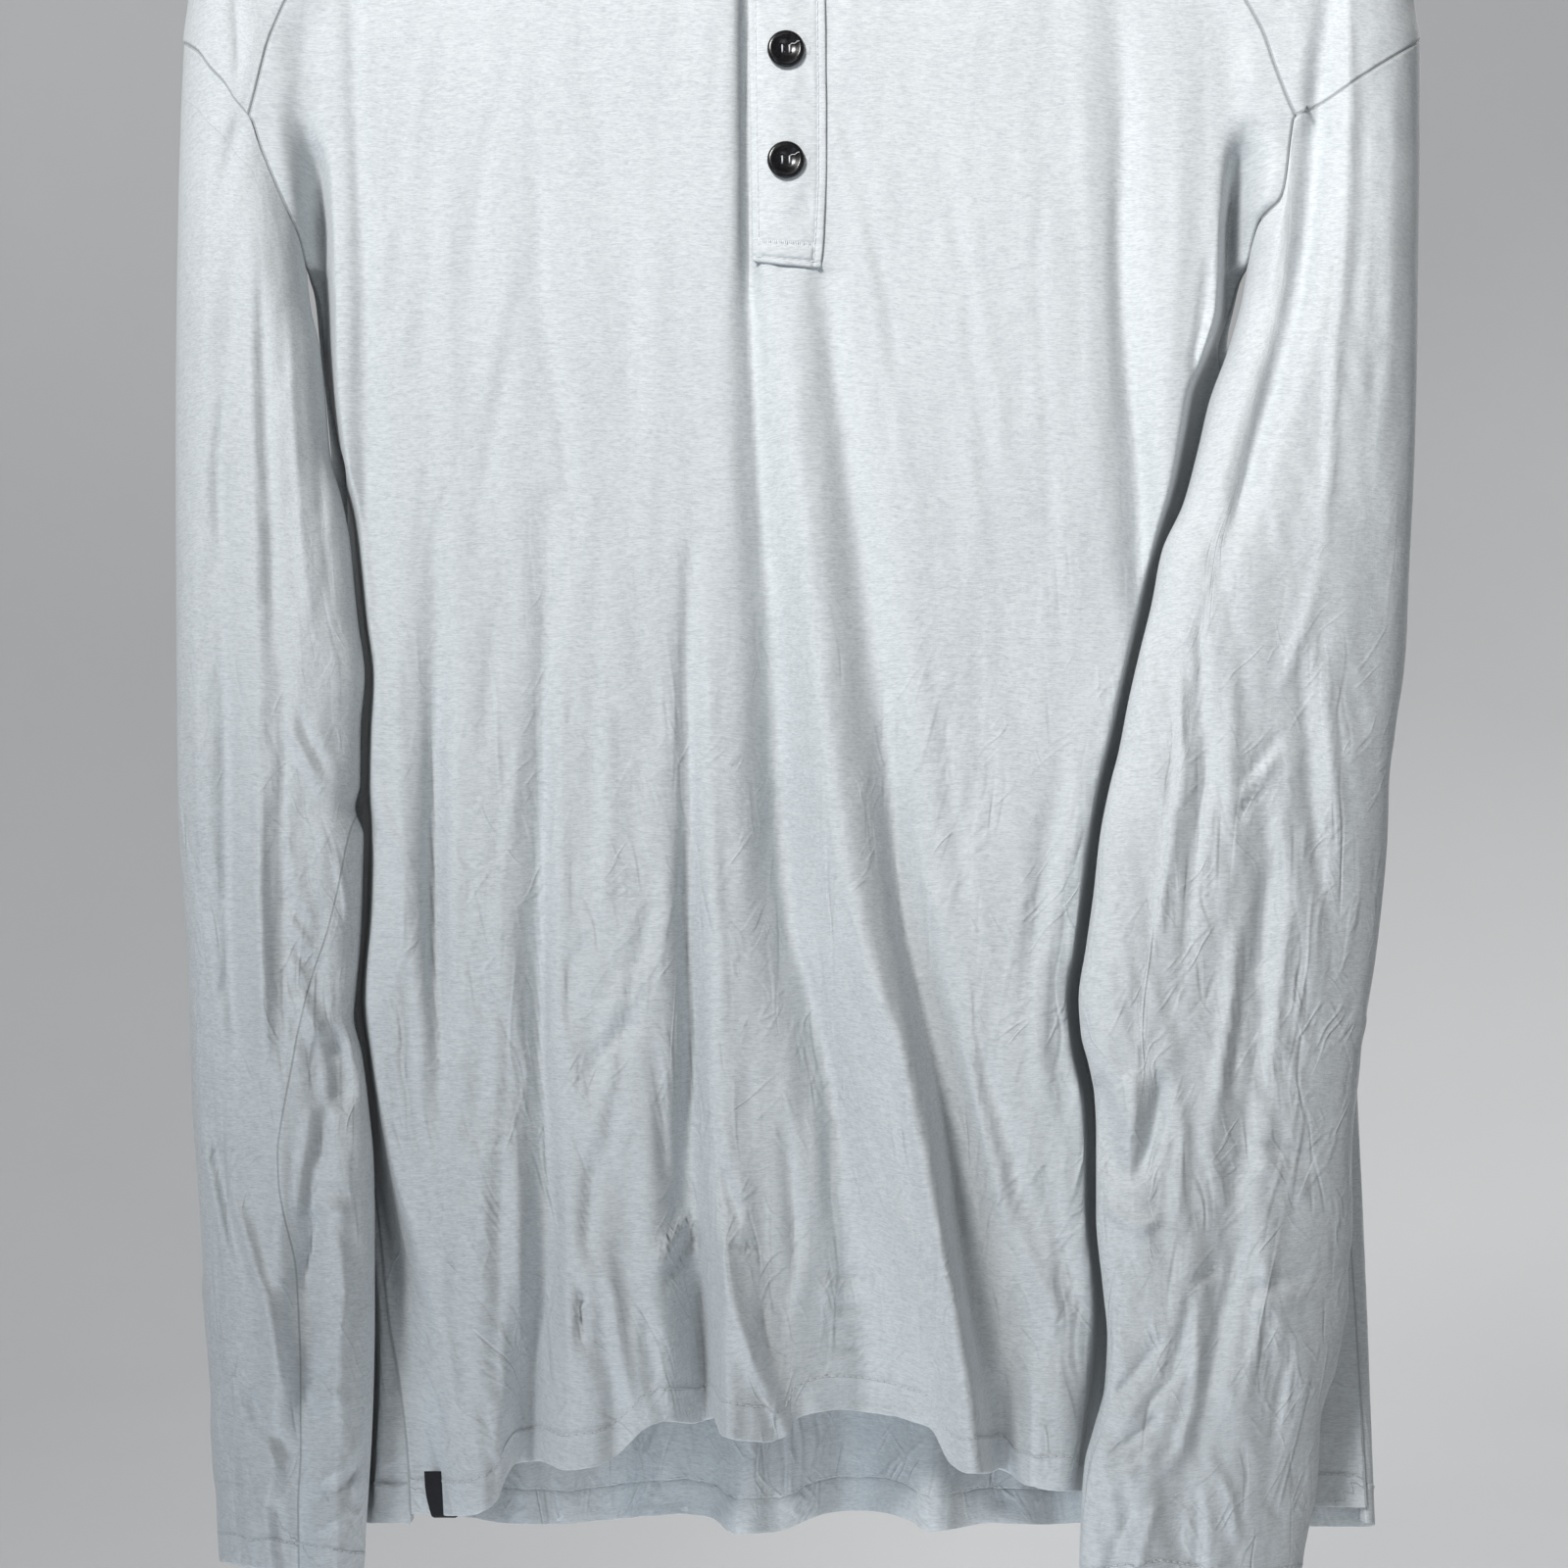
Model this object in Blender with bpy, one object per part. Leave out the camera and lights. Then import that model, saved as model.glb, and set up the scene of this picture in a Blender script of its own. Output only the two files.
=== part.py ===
"""A long-sleeved henley shirt hanging on a plain hanger: every cut piece is its own closed wall of cloth.

Lengths here are millimetres; the meshes are written in metres. X is to the right as one faces the shirt, -Y is
towards the viewer and +Z is up. The origin is where the hanger's hook sits on its rod. Heights in the tables are
measured from a level halfway down the sleeves, MID_DROP below the hook. The shirt's widths and heights are given
as they show on the plane FRONT_PLANE to an eye at that level, EYE_DISTANCE in front of the hanger, and true_place
carries each point out to its own depth.
"""

import math

import bpy
import numpy as np

MM = 0.001
MID_DROP = 540.0
EYE_DISTANCE = 900.0
FRONT_PLANE = -50.0
SPREAD_TOP = (291.0, 420.0)

# Driving sizes of the shirt.
BEHIND_SLEEVE = 3.5
CORNER_CLEARANCE = 1.14
CLOTH = 1.2
DOUBLE_CLOTH = 1.6
SEAM_GAP = 0.5
LAY_GAP = 0.35
NECKBAND_HEIGHT = 17.0
NECKBAND_GAP = 1.3
PLACKET_WIDTH = 27.5
PLACKET_CENTRE = 1.7
PLACKET_FOOT = 193.5
PLACKET_FORWARD = 2.6
UNDER_PLACKET_WIDTH = 24.0
UNDER_PLACKET_BACK = 7.5
PLACKET_COLUMNS = 3
PLACKET_ROWS = 9
SLIT_WIDTH = 16.0
BUTTON_DIAMETER = 14.0
BUTTON_THICKNESS = 2.6
BUTTON_SPACING = 41.1
LOWEST_BUTTON = 231.3
BUTTON_COUNT = 3
CUFF_LEVEL = {"left": -296.0, "right": -302.0}

# The hem tab is a folded strip that wraps the front hem near the left side seam.
TAB_WIDTH = 7.0
TAB_HEIGHT = 16.0
TAB_X = -129.0
TAB_CLOTH = 0.6
TAB_GAP = 0.9

# Sizes of the hanger.
HANGER_DEPTH = 10.0
HANGER_HEIGHT = 13.0
HOOK_WIRE = 3.6
HOOK_RADIUS = 19.0


def table(columns, rows):
    """Rows of numbers as named columns, in rising order of the first one."""
    values = np.array(sorted(rows), float)
    return {name: values[:, i] for i, name in enumerate(columns.split())}


def at(tab, column, where):
    """The column's value at the given heights, on a smooth curve that doesn't overshoot its rows."""
    keys, values = tab[next(iter(tab))], tab[column]
    step = np.diff(keys)
    slope = np.diff(values) / step
    tangent = np.zeros_like(values)
    same_way = slope[1:] * slope[:-1] > 0
    total = np.where(same_way, slope[1:] + slope[:-1], 1.0)
    tangent[1:-1] = np.where(same_way, 2 * slope[1:] * slope[:-1] / total, 0.0)
    tangent[0], tangent[-1] = slope[0], slope[-1]
    x = np.clip(np.asarray(where, float), keys[0], keys[-1])
    i = np.clip(np.searchsorted(keys, x) - 1, 0, len(step) - 1)
    t = (x - keys[i]) / step[i]
    return (
        (2 * t**3 - 3 * t**2 + 1) * values[i]
        + (t**3 - 2 * t**2 + t) * step[i] * tangent[i]
        + (3 * t**2 - 2 * t**3) * values[i + 1]
        + (t**3 - t**2) * step[i] * tangent[i + 1]
    )


def ease(t):
    """Runs smoothly from 0 to 1."""
    t = np.clip(t, 0.0, 1.0)
    return t * t * (3 - 2 * t)


# The front panel's side edges: the raglan seam down to the underarm, the short stretch under the arm, the side seam.
FRONT_EDGE = {
    "left": table("z x y", [
        (392, -74, -27), (370, -112, -30), (350, -139, -33), (330, -160, -35), (310, -175, -36),
        (290, -186, -38), (275, -192, -39.5), (258, -196.5, -41), (248, -199, -41.5), (245, -194, -39.5),
        (242, -190, -37), (239, -185.5, -30), (237, -182.3, -15), (230, -180, -8), (220, -178.6, -7),
        (200, -176, -7), (180, -172.5, -7), (160, -170.5, -6), (145, -168.5, -5), (130, -166, -3),
        (115, -162.5, 0), (100, -162, 2), (80, -166, 4), (50, -171, 4), (0, -172, 3), (-60, -166, 0),
        (-120, -158, -5), (-150, -152, -16), (-175, -149, -28), (-200, -146.5, -38), (-225, -142.5, -43),
        (-253, -139.5, -46), (-274, -138.5, -46),
    ]),
    "right": table("z x y", [
        (392, 74, -27), (370, 103, -30), (350, 125, -33), (330, 144, -35), (310, 160, -36),
        (290, 172.5, -37), (280, 177, -37.5), (268, 181, -38), (258, 185.5, -38), (248, 189, -38),
        (245, 184, -38.5), (242, 180, -36), (239, 176.5, -29), (237, 174, -15), (230, 172, -9),
        (220, 171, -8), (203, 170, -8), (190, 169, -8), (175, 165.5, -6), (160, 161, -3), (150, 163, 0),
        (125, 170, 2), (100, 178, 3), (50, 190, 2), (0, 197, 2), (-100, 205, 0), (-200, 212, -4),
        (-274, 216, -8),
    ]),
}
BACK_EDGE = {
    "left": table("z x y", [
        (430, -66, 14), (400, -100, 18), (370, -135, 21), (340, -163, 23), (310, -182, 25),
        (280, -193, 26), (262, -196.5, 26), (248, -199, 25.5), (245, -194, 24), (242, -190, 21),
        (239, -185.5, 12), (237, -182.3, -5),
    ]),
    "right": table("z x y", [
        (430, 66, 14), (400, 98, 18), (370, 130, 21), (340, 156, 23), (310, 173, 25), (280, 183.5, 25.5),
        (262, 187.5, 25), (248, 189, 24), (245, 184, 22), (242, 180, 19), (239, 176.5, 11), (237, 174, -6),
    ]),
}
UNDERARM_FRONT = 248.0
UNDERARM_SIDE = 237.0

# How far the front stands towards the viewer, and the back away from it.
FRONT_STAND = table("z y", [
    (-300, -58), (-200, -57), (-100, -55), (0, -52), (100, -48), (200, -44), (250, -41), (290, -39),
    (330, -35), (380, -29), (400, -26),
])
BACK_STAND = table("z y", [
    (-300, 16), (-150, 21), (-50, 25), (50, 28), (150, 30), (250, 28), (330, 24), (392, 18), (430, 14),
])

# Where the front rolls back into the gutter beside each sleeve, and half the roll's width.
GUTTER = {
    "left": table("z x half", [
        (230, -174, 5.5), (200, -171.5, 4.5), (170, -168.5, 4), (150, -166, 3), (130, -163, 3),
        (115, -159, 3), (100, -156, 4), (80, -154, 6), (60, -151, 7), (0, -150, 7), (-80, -150, 7),
        (-130, -147, 7), (-175, -140, 8), (-200, -136, 9), (-225, -131, 10), (-253, -127, 11), (-274, -126, 11.5),
    ]),
    "right": table("z x half", [
        (230, 163.5, 6), (200, 162, 6), (180, 160, 5), (165, 155, 5), (150, 153, 5), (130, 148, 5),
        (110, 144, 4), (95, 140, 4), (80, 134, 6), (60, 129, 6), (40, 124, 6), (20, 119, 6), (0, 114, 6),
        (-40, 108, 7), (-80, 102.5, 6), (-100, 104, 6), (-120, 108, 6), (-140, 112, 5), (-160, 114.5, 4),
        (-200, 117, 4), (-240, 115, 4), (-274, 112, 4),
    ]),
}

# The largest folds of the front: where each ridge (+) or valley (-) runs, its depth and its two slopes' widths.
FOLD_COLUMNS = "z x depth left right"
FRONT_FOLDS = [
    table(FOLD_COLUMNS, [  # the gutter left of the placket, which opens into the long slanting valley
        (300, -16, -4, 3, 3), (196, -16, -4, 3, 3), (170, -13, -5, 5, 5), (120, -9.5, -9, 7, 7),
        (60, -5, -14, 9, 9), (-20, -1, -18, 10, 11), (-60, 4, -14, 11, 11), (-110, 16, -12, 12, 10),
        (-170, 26, -9, 12, 11), (-230, 38, -2, 12, 12),
    ]),
    table(FOLD_COLUMNS, [  # the ridge from the placket's foot to the right-hand pleat
        (190, 4, 1, 9, 9), (150, 6, 3, 9, 9), (60, 13, 6, 9, 10), (-20, 22, 8, 9, 10), (-60, 31, 10, 10, 10),
        (-100, 45, 12, 12, 9), (-160, 56, 15, 13, 7), (-230, 70, 19, 13, 6), (-275, 74, 20, 12, 6),
    ]),
    table(FOLD_COLUMNS, [  # the valley right of that ridge
        (190, 14, -2, 5, 5), (110, 24, -6, 7, 8), (40, 35, -8, 8, 8), (-40, 44, -11, 6, 8),
        (-120, 60, -12, 5, 9), (-200, 72, -12, 5, 9), (-275, 81, -14, 4, 8),
    ]),
    table(FOLD_COLUMNS, [  # the valley beside the right-hand strip
        (300, 122, -2, 8, 8), (200, 126, -6, 7, 7), (130, 130, -10, 8, 7), (90, 133, -12, 8, 6),
        (60, 133, -6, 7, 6), (40, 130, 0, 6, 5),
    ]),
    table(FOLD_COLUMNS, [  # the valley beside the left-hand strip
        (300, -161, -1.5, 3, 3), (200, -157, -4, 3, 4), (140, -156, -9, 3, 5), (95, -156, -13, 4, 6),
        (60, -154, -4, 5, 6), (30, -152, 0, 5, 6),
    ]),
    table(FOLD_COLUMNS, [
        (110, -129, 0, 5, 5), (30, -129, -6, 5, 5), (-40, -130, -8, 5, 5), (-110, -128, -2, 5, 5),
        (-160, -128, 0, 5, 5),
    ]),
    table(FOLD_COLUMNS, [
        (110, -87, -1.5, 6, 6), (20, -90, -4, 7, 6), (-90, -91, -8, 8, 5), (-165, -88, -9, 9, 6),
        (-235, -95, -15, 6, 6), (-275, -96, -17, 5, 6),
    ]),
    table(FOLD_COLUMNS, [
        (90, -35, -1, 3, 3), (0, -36, -7, 5, 5), (-90, -34, -11, 6, 5), (-150, -34, -13, 9, 5),
        (-210, -30, -16, 9, 3.5), (-275, -30, -18, 9, 3.5),
    ]),
    table(FOLD_COLUMNS, [
        (-130, -24, 0, 6, 9), (-180, -18, 7, 7, 10), (-240, -12, 15, 10, 10), (-275, -12, 17, 10, 10),
    ]),
    table(FOLD_COLUMNS, [(-150, 22, 0, 14, 14), (-200, 26, -5, 15, 15), (-275, 30, -13, 17, 16)]),
    table(FOLD_COLUMNS, [(-110, -112, 0, 10, 9), (-180, -114, 3, 11, 10), (-275, -114, 5, 12, 9)]),
    table(FOLD_COLUMNS, [(-150, -74, 0, 8, 9), (-275, -74, 8, 8, 11)]),
    table(FOLD_COLUMNS, [(-180, 98, 0, 9, 10), (-275, 98, 7, 9, 10)]),
    table(FOLD_COLUMNS, [  # the valley beside the left underarm
        (295, -181, 0, 3, 3), (270, -180, -4, 3, 3), (245, -179, -9, 5, 5), (225, -178, -6, 4, 4),
        (205, -177, 0, 4, 4),
    ]),
    table(FOLD_COLUMNS, [  # the valley beside the right underarm
        (295, 168, 0, 3, 3), (270, 168, -4, 3, 3), (245, 167, -9, 5, 5), (225, 168, -6, 4, 4),
        (205, 169, 0, 4, 4),
    ]),
]
# The back's folds stand away from the viewer where their depth is positive.
BACK_FOLDS = [
    table(FOLD_COLUMNS, [
        (230, -120, 0, 9, 9), (60, -126, 4, 10, 9), (-100, -132, 8, 11, 10), (-300, -138, 11, 12, 11),
    ]),
    table(FOLD_COLUMNS, [(150, -86, 0, 8, 8), (0, -90, -4, 8, 8), (-300, -98, -9, 9, 9)]),
    table(FOLD_COLUMNS, [(280, -50, 0, 10, 10), (80, -55, 5, 11, 10), (-300, -62, 11, 13, 12)]),
    table(FOLD_COLUMNS, [(120, -22, 0, 8, 8), (-100, -18, -6, 9, 9), (-300, -14, -14, 11, 10)]),
    table(FOLD_COLUMNS, [(260, 16, 0, 9, 9), (20, 22, 4, 10, 10), (-300, 26, 10, 12, 11)]),
    table(FOLD_COLUMNS, [(180, 44, 0, 8, 8), (-60, 50, -5, 9, 9), (-300, 56, -12, 10, 10)]),
    table(FOLD_COLUMNS, [(240, 92, 0, 9, 9), (0, 98, 6, 11, 10), (-300, 104, 10, 13, 12)]),
    table(FOLD_COLUMNS, [(160, 134, 0, 8, 8), (-80, 142, -5, 9, 9), (-300, 150, -8, 10, 10)]),
]

FRONT_HEM = table("x z", [
    (-154, -273), (-133, -270), (-118, -271), (-110, -268), (-103, -256), (-98, -251), (-85, -253.5),
    (-71, -253), (-62, -248), (-52, -239), (-44, -236), (-27, -235), (-23, -241.5), (-6, -243.5), (2, -240.5),
    (5, -235), (22, -231.5), (37, -233), (54, -238.5), (62, -252), (76, -255), (80, -254), (90, -260),
    (110, -262), (216, -268),
])
BACK_HEM = table("x z", [
    (-200, -272), (-118, -271.5), (-90, -274), (-60, -272), (-26, -271.5), (-18, -278), (-5, -277),
    (16, -270), (39, -270), (54, -277), (76, -273.5), (94, -274.5), (206, -275),
])
NECKLINE_DROP = table("share z", [  # from one raglan seam to the other
    (0, 392), (0.12, 367), (0.28, 346), (0.5, 336), (0.72, 346), (0.88, 367), (1, 392),
])
BACK_NECKLINE = table("share z", [(0, 430), (0.25, 427.5), (0.5, 427), (0.75, 427.5), (1, 430)])

# Each sleeve's level sections as seen from the front: its two edges, its front and back, and how it leans.
SLEEVE = {
    "left": table("z inner outer front back lean", [
        (310, -183, -224, -41, 27, 0), (275, -183, -225, -42, 27, 0), (240, -183, -225.5, -43, 26, 0),
        (220, -181, -225.5, -46, 24, 0), (200, -178.5, -225.5, -49, 21, 0), (180, -175, -226, -51, 17, 0),
        (160, -173, -226, -53, 13, 0), (130, -169, -226, -56, 7, -0.03), (100, -162, -226, -58, 2, -0.05),
        (60, -159, -226, -61, -3, -0.08), (30, -156.5, -226, -63, -5, -0.1), (0, -159, -225.5, -64, -6, -0.1),
        (-60, -158, -222, -66, -7, -0.12), (-100, -157, -220, -67, -7, -0.16), (-140, -152, -217.5, -68, -8, -0.2),
        (-200, -152, -214, -69, -8, -0.24), (-240, -152, -212.5, -69, -8, -0.24),
        (-300, -156, -210, -67, -8, -0.24),
    ]),
    "right": table("z inner outer front back lean", [
        (310, 174, 235, -41, 27, 0), (275, 174, 236.5, -42, 27, 0), (240, 174, 236, -43, 26, 0),
        (220, 173.5, 236, -47, 23, 0), (203, 172.5, 236, -50, 20, 0), (190, 171.5, 236, -51, 17, 0),
        (175, 168, 235.5, -53, 12, 0.01), (160, 162, 235, -55, 7, 0.03), (125, 153, 234, -58, -3, 0.08),
        (85, 141, 232, -61, -11, 0.14), (60, 135, 230, -62, -14, 0.17), (30, 128, 228, -63, -16, 0.2),
        (0, 123, 224.5, -65, -19, 0.24), (-40, 116, 221.5, -66, -21, 0.28), (-85, 110, 217.5, -68, -24, 0.32),
        (-130, 116, 213, -69, -25, 0.34), (-200, 120, 206, -69, -26, 0.35), (-225, 119, 203.5, -69, -26, 0.35),
        (-250, 112, 199.5, -68, -27, 0.35), (-305, 110, 193.5, -66, -27, 0.35),
    ]),
}
SLEEVE_SQUARENESS = 2.5
# The seam between shoulder panel and sleeve: its height by place across the sleeve, -1 outside to 1 inside.
SLEEVE_SEAM = {
    "left": table("across z", [(-1, 275), (-0.48, 266), (-0.1, 257), (0.25, 248), (0.6, 242.5), (1, 237)]),
    "right": table("across z", [
        (-1, 276), (-0.55, 269), (-0.16, 262), (0.16, 255), (0.5, 248), (0.75, 242.5), (1, 237),
    ]),
}
# The points round a sleeve, from its outer edge to its inner one; the panel ends at the sixth of them.
RING_ACROSS = {
    "left": [-1, -0.94, -0.76, -0.45, -0.1, 0.25, 0.6, 0.9, 1],
    "right": [-1, -0.94, -0.75, -0.4, 0.05, 0.5, 0.75, 0.93, 1],
}
PANEL_HALF = 5
SLEEVE_FOLDS = {
    "left": [
        table(FOLD_COLUMNS, [
            (215, -205, 0, 4, 4), (130, -209, -3, 5, 5), (0, -208, -4, 6, 6), (-120, -201, -2, 6, 6),
        ]),
        table(FOLD_COLUMNS, [(100, -196, 1, 4, 4), (-60, -193, 4, 5, 4), (-125, -191, 0, 4, 4)]),
        table(FOLD_COLUMNS, [(-140, -206, 0, 4, 5), (-190, -194, 4, 5, 4), (-240, -183, 0, 4, 4)]),
    ],
    "right": [
        table(FOLD_COLUMNS, [
            (300, 202, -2, 5, 5), (245, 198, -7, 5, 6), (190, 192, -8, 5, 6), (120, 174, -5, 5, 6),
            (70, 160, 0, 5, 5),
        ]),
        table(FOLD_COLUMNS, [(40, 182, 0, 6, 6), (-60, 178, -4, 6, 6), (-200, 160, -4, 7, 7), (-300, 140, -2, 7, 7)]),
    ],
}

# The shoulder panel's crest lies over the hanger's arm and falls down the outside of the sleeve.
CREST = {
    "left": table("share x z y", [
        (0, -78, 436, 0), (0.2, -112, 421, 0), (0.4, -150, 402, 0), (0.55, -180, 385, 0), (0.68, -203, 368, -1),
        (0.8, -217, 345, -4), (0.9, -222.5, 314, -8), (1, -225, 275, -10.5),
    ]),
    "right": table("share x z y", [
        (0, 78, 436, 0), (0.2, 112, 421, 0), (0.4, 150, 402, 0), (0.55, 180, 385, 0), (0.68, 205, 368, -1),
        (0.8, 222, 345, -4), (0.9, 231, 314, -8), (1, 236.5, 276, -10.5),
    ]),
}
HANGER_TOP = table("x z", [(0, 447), (30, 444.5), (78, 431.5), (112, 417), (150, 398), (180, 381), (200, 366.5)])

# The levels of the meshes' rows, and the meshes' columns.
RAGLAN_ROWS = {
    "front": [392, 376, 356, 334, 310, 286, 265, 248],
    "back": [430, 409, 383, 355, 325, 294, 268, 248],
}
SIDE_ROWS = [242.5, 237, 224, 200, 165, 125, 85, 40, -10, -60, -105, -150, -190, -225, -252, -274]
FRONT_COLUMNS = (16, 2, 15)
BACK_COLUMNS = (5, 11, 5)
SLEEVE_ROWS = 13
CREST_SHARES = [0, 0.17, 0.34, 0.5, 0.64, 0.78, 0.9, 1]


def fold_height(folds, x, z):
    """How far the folds stand out at these places."""
    total = np.zeros(np.broadcast(x, z).shape)
    for fold in folds:
        offset = x - at(fold, "x", z)
        width = np.where(offset < 0, at(fold, "left", z), at(fold, "right", z))
        inside = (z <= fold["z"][-1]) & (z >= fold["z"][0] - 1)
        total = total + np.where(inside, at(fold, "depth", z) * np.exp(-((offset / width) ** 2)), 0.0)
    return total


def sleeve_section(side, across, front, z):
    """A point on a sleeve. across runs from 1 at its inner edge to -1 at its outer one; front is +1 on the face
    towards the viewer and -1 on the one away from it."""
    tab = SLEEVE[side]
    inner, outer = at(tab, "inner", z), at(tab, "outer", z)
    near, far = at(tab, "front", z), at(tab, "back", z)
    half = (inner - outer) / 2
    x = (inner + outer) / 2 + half * across
    bulge = np.clip(1 - np.abs(across) ** SLEEVE_SQUARENESS, 0, 1) ** (1 / SLEEVE_SQUARENESS)
    middle = (near + far) / 2 + at(tab, "lean", z) * half * across
    y = middle + front * (near - far) / 2 * bulge
    return x, y


def sleeve_back(side, x, z, widened=1.0):
    """The depth of a sleeve's rear face at these places, far forward where the sleeve isn't in the way."""
    tab = SLEEVE[side]
    inner, outer = at(tab, "inner", z), at(tab, "outer", z)
    across = (x - (inner + outer) / 2) / ((inner - outer) / 2) / widened
    _, y = sleeve_section(side, np.clip(across, -1, 1), -1, z)
    return np.where(np.abs(across) < 1, y, -1e3)


def front_depth(x, z, edge_z):
    """The front panel's depth. edge_z is the height of the same row at the panel's side edge."""
    y = at(FRONT_STAND, "y", z) - fold_height(FRONT_FOLDS, x, z)
    y = y + 6.0 * np.abs(x / 190.0) ** 3
    for side, outward in (("left", -1), ("right", 1)):
        edge_x = at(FRONT_EDGE[side], "x", edge_z)
        edge_y = at(FRONT_EDGE[side], "y", edge_z)
        below = edge_z < UNDERARM_SIDE
        middle = np.where(below, at(GUTTER[side], "x", edge_z), edge_x - outward * 9)
        half = np.where(below, at(GUTTER[side], "half", edge_z), 9)
        rolled = ease((outward * (x - middle) + half) / (2 * half))
        y = y * (1 - rolled) + edge_y * rolled
        behind = sleeve_back(side, x, z) + BEHIND_SLEEVE
        y = np.where((edge_z < 150) & (behind > y), behind, y)
    return y


def front_row(edge_z, places):
    """A row of the front panel at these shares of the way from the left edge to the right one."""
    left, right = (float(at(FRONT_EDGE[s], "x", edge_z)) for s in ("left", "right"))
    x = left + (right - left) * places
    top, bottom = RAGLAN_ROWS["front"][0], SIDE_ROWS[-1]
    to_neck = np.clip((edge_z - 200) / (top - 200), 0, 1) ** 2
    to_hem = np.clip((-60 - edge_z) / (-60 - bottom), 0, 1) ** 1.5
    z = edge_z + to_neck * (at(NECKLINE_DROP, "z", places) - top) + to_hem * (at(FRONT_HEM, "z", x) - bottom)
    return np.stack([x, front_depth(x, z, edge_z), z], axis=1)


def resample(points, count):
    """The same line with count + 1 points spaced evenly along it."""
    lengths = np.linalg.norm(np.diff(points, axis=0), axis=1)
    along = np.concatenate([[0], np.cumsum(lengths)])
    marks = np.linspace(0, along[-1], count + 1)
    return np.stack([np.interp(marks, along, points[:, k]) for k in range(3)], axis=1)


def front_grid():
    """The front panel's points, row by row from the neckline to the hem, with the slit's edges on columns."""
    rows = []
    slit = (PLACKET_CENTRE - SLIT_WIDTH / 2, PLACKET_CENTRE + SLIT_WIDTH / 2)
    for edge_z in RAGLAN_ROWS["front"] + SIDE_ROWS:
        left, right = (float(at(FRONT_EDGE[s], "x", edge_z)) for s in ("left", "right"))
        cuts = [0.0, *((c - left) / (right - left) for c in slit), 1.0]
        row = []
        for count, start, end in zip(FRONT_COLUMNS, cuts[:-1], cuts[1:]):
            dense = front_row(edge_z, np.linspace(start, end, 600))
            row.append(resample(dense, count)[: count + (end == 1.0)])
        rows.append(np.concatenate(row))
    return np.array(rows)


# How far out the back panel reaches on its way round each side.
BACK_REACH = {
    "left": table("z x", [
        (-274, -200), (-100, -201), (0, -195), (40, -187), (85, -176), (125, -168), (165, -171), (200, -175),
        (237, -180.5),
    ]),
    "right": table("z x", [
        (-274, 219), (-100, 213), (0, 206), (85, 190), (125, 180), (165, 164), (200, 168), (237, 171.5),
    ]),
}


def back_turn(side, edge_z, samples):
    """The back panel's way from the side seam round the body's side, as level points."""
    outward = -1 if side == "left" else 1
    turned = float(ease((UNDERARM_FRONT - edge_z) / (UNDERARM_FRONT - UNDERARM_SIDE)))
    back_y = float(at(BACK_STAND, "y", edge_z))
    if edge_z >= UNDERARM_SIDE:
        x, y = (float(at(BACK_EDGE[side], k, edge_z)) for k in "xy")
    else:
        x, y = (float(at(FRONT_EDGE[side], k, max(edge_z, SIDE_ROWS[-1]))) for k in "xy")
        x, y = x + outward * SEAM_GAP * 0.6, y + CLOTH + SEAM_GAP
    start = np.array([x, y])
    far = float(at(BACK_REACH[side], "x", edge_z)) if turned else x
    stop = np.array([far - outward * (12.0 + 12.0 * turned), back_y])
    control = np.array([far + outward * 3.0, y]) * turned + (start - [outward * 4, 0]) * (1 - turned)
    second = np.array([far + outward * 3.0, back_y]) * turned + (stop + [outward * 4, 0]) * (1 - turned)
    t = np.linspace(0, 1, samples)[:, None]
    return (1 - t) ** 3 * start + 3 * (1 - t) ** 2 * t * control + 3 * (1 - t) * t**2 * second + t**3 * stop


def back_row(edge_z, samples=240):
    """A row of the back panel, from the left side seam round the back to the right one, in three parts."""
    left, right = (back_turn(side, edge_z, samples) for side in ("left", "right"))
    x = np.linspace(left[-1][0], right[-1][0], samples)
    y = np.full(samples, float(at(BACK_STAND, "y", edge_z)))
    faded = ease((x - x[0]) / 30) * ease((x[-1] - x) / 30)
    y = y + faded * fold_height(BACK_FOLDS, x, np.full(samples, float(edge_z)))
    parts = [left, np.stack([x, y], 1), right[::-1]]
    top = RAGLAN_ROWS["back"][0]
    to_neck = np.clip((edge_z - 330) / (top - 330), 0, 1) ** 1.5
    done = []
    for part, flat in enumerate(parts):
        share = (part + np.linspace(0, 1, samples)) / 3
        z = edge_z + to_neck * (at(BACK_NECKLINE, "z", share) - top)
        to_hem = np.clip((-60 - edge_z) / (-60 - SIDE_ROWS[-1]), 0, 1)
        from_seam = ease(np.minimum(share, 1 - share) * 5)
        z = z + to_hem * from_seam * (at(BACK_HEM, "z", flat[:, 0]) - SIDE_ROWS[-1])
        y = flat[:, 1]
        for side in ("left", "right"):
            behind = sleeve_back(side, flat[:, 0], z, CORNER_CLEARANCE) + BEHIND_SLEEVE
            y = np.where((edge_z < 200) & (behind > y), behind, y)
        done.append(np.column_stack([flat[:, 0], y, z]))
    return done


def back_grid():
    """The back panel's points, row by row from the neckline to the hem."""
    rows = []
    for edge_z in RAGLAN_ROWS["back"] + SIDE_ROWS:
        parts = [resample(part, count) for part, count in zip(back_row(edge_z), BACK_COLUMNS)]
        rows.append(np.concatenate([parts[0], parts[1][1:], parts[2][1:]]))
    return np.array(rows)


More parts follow.
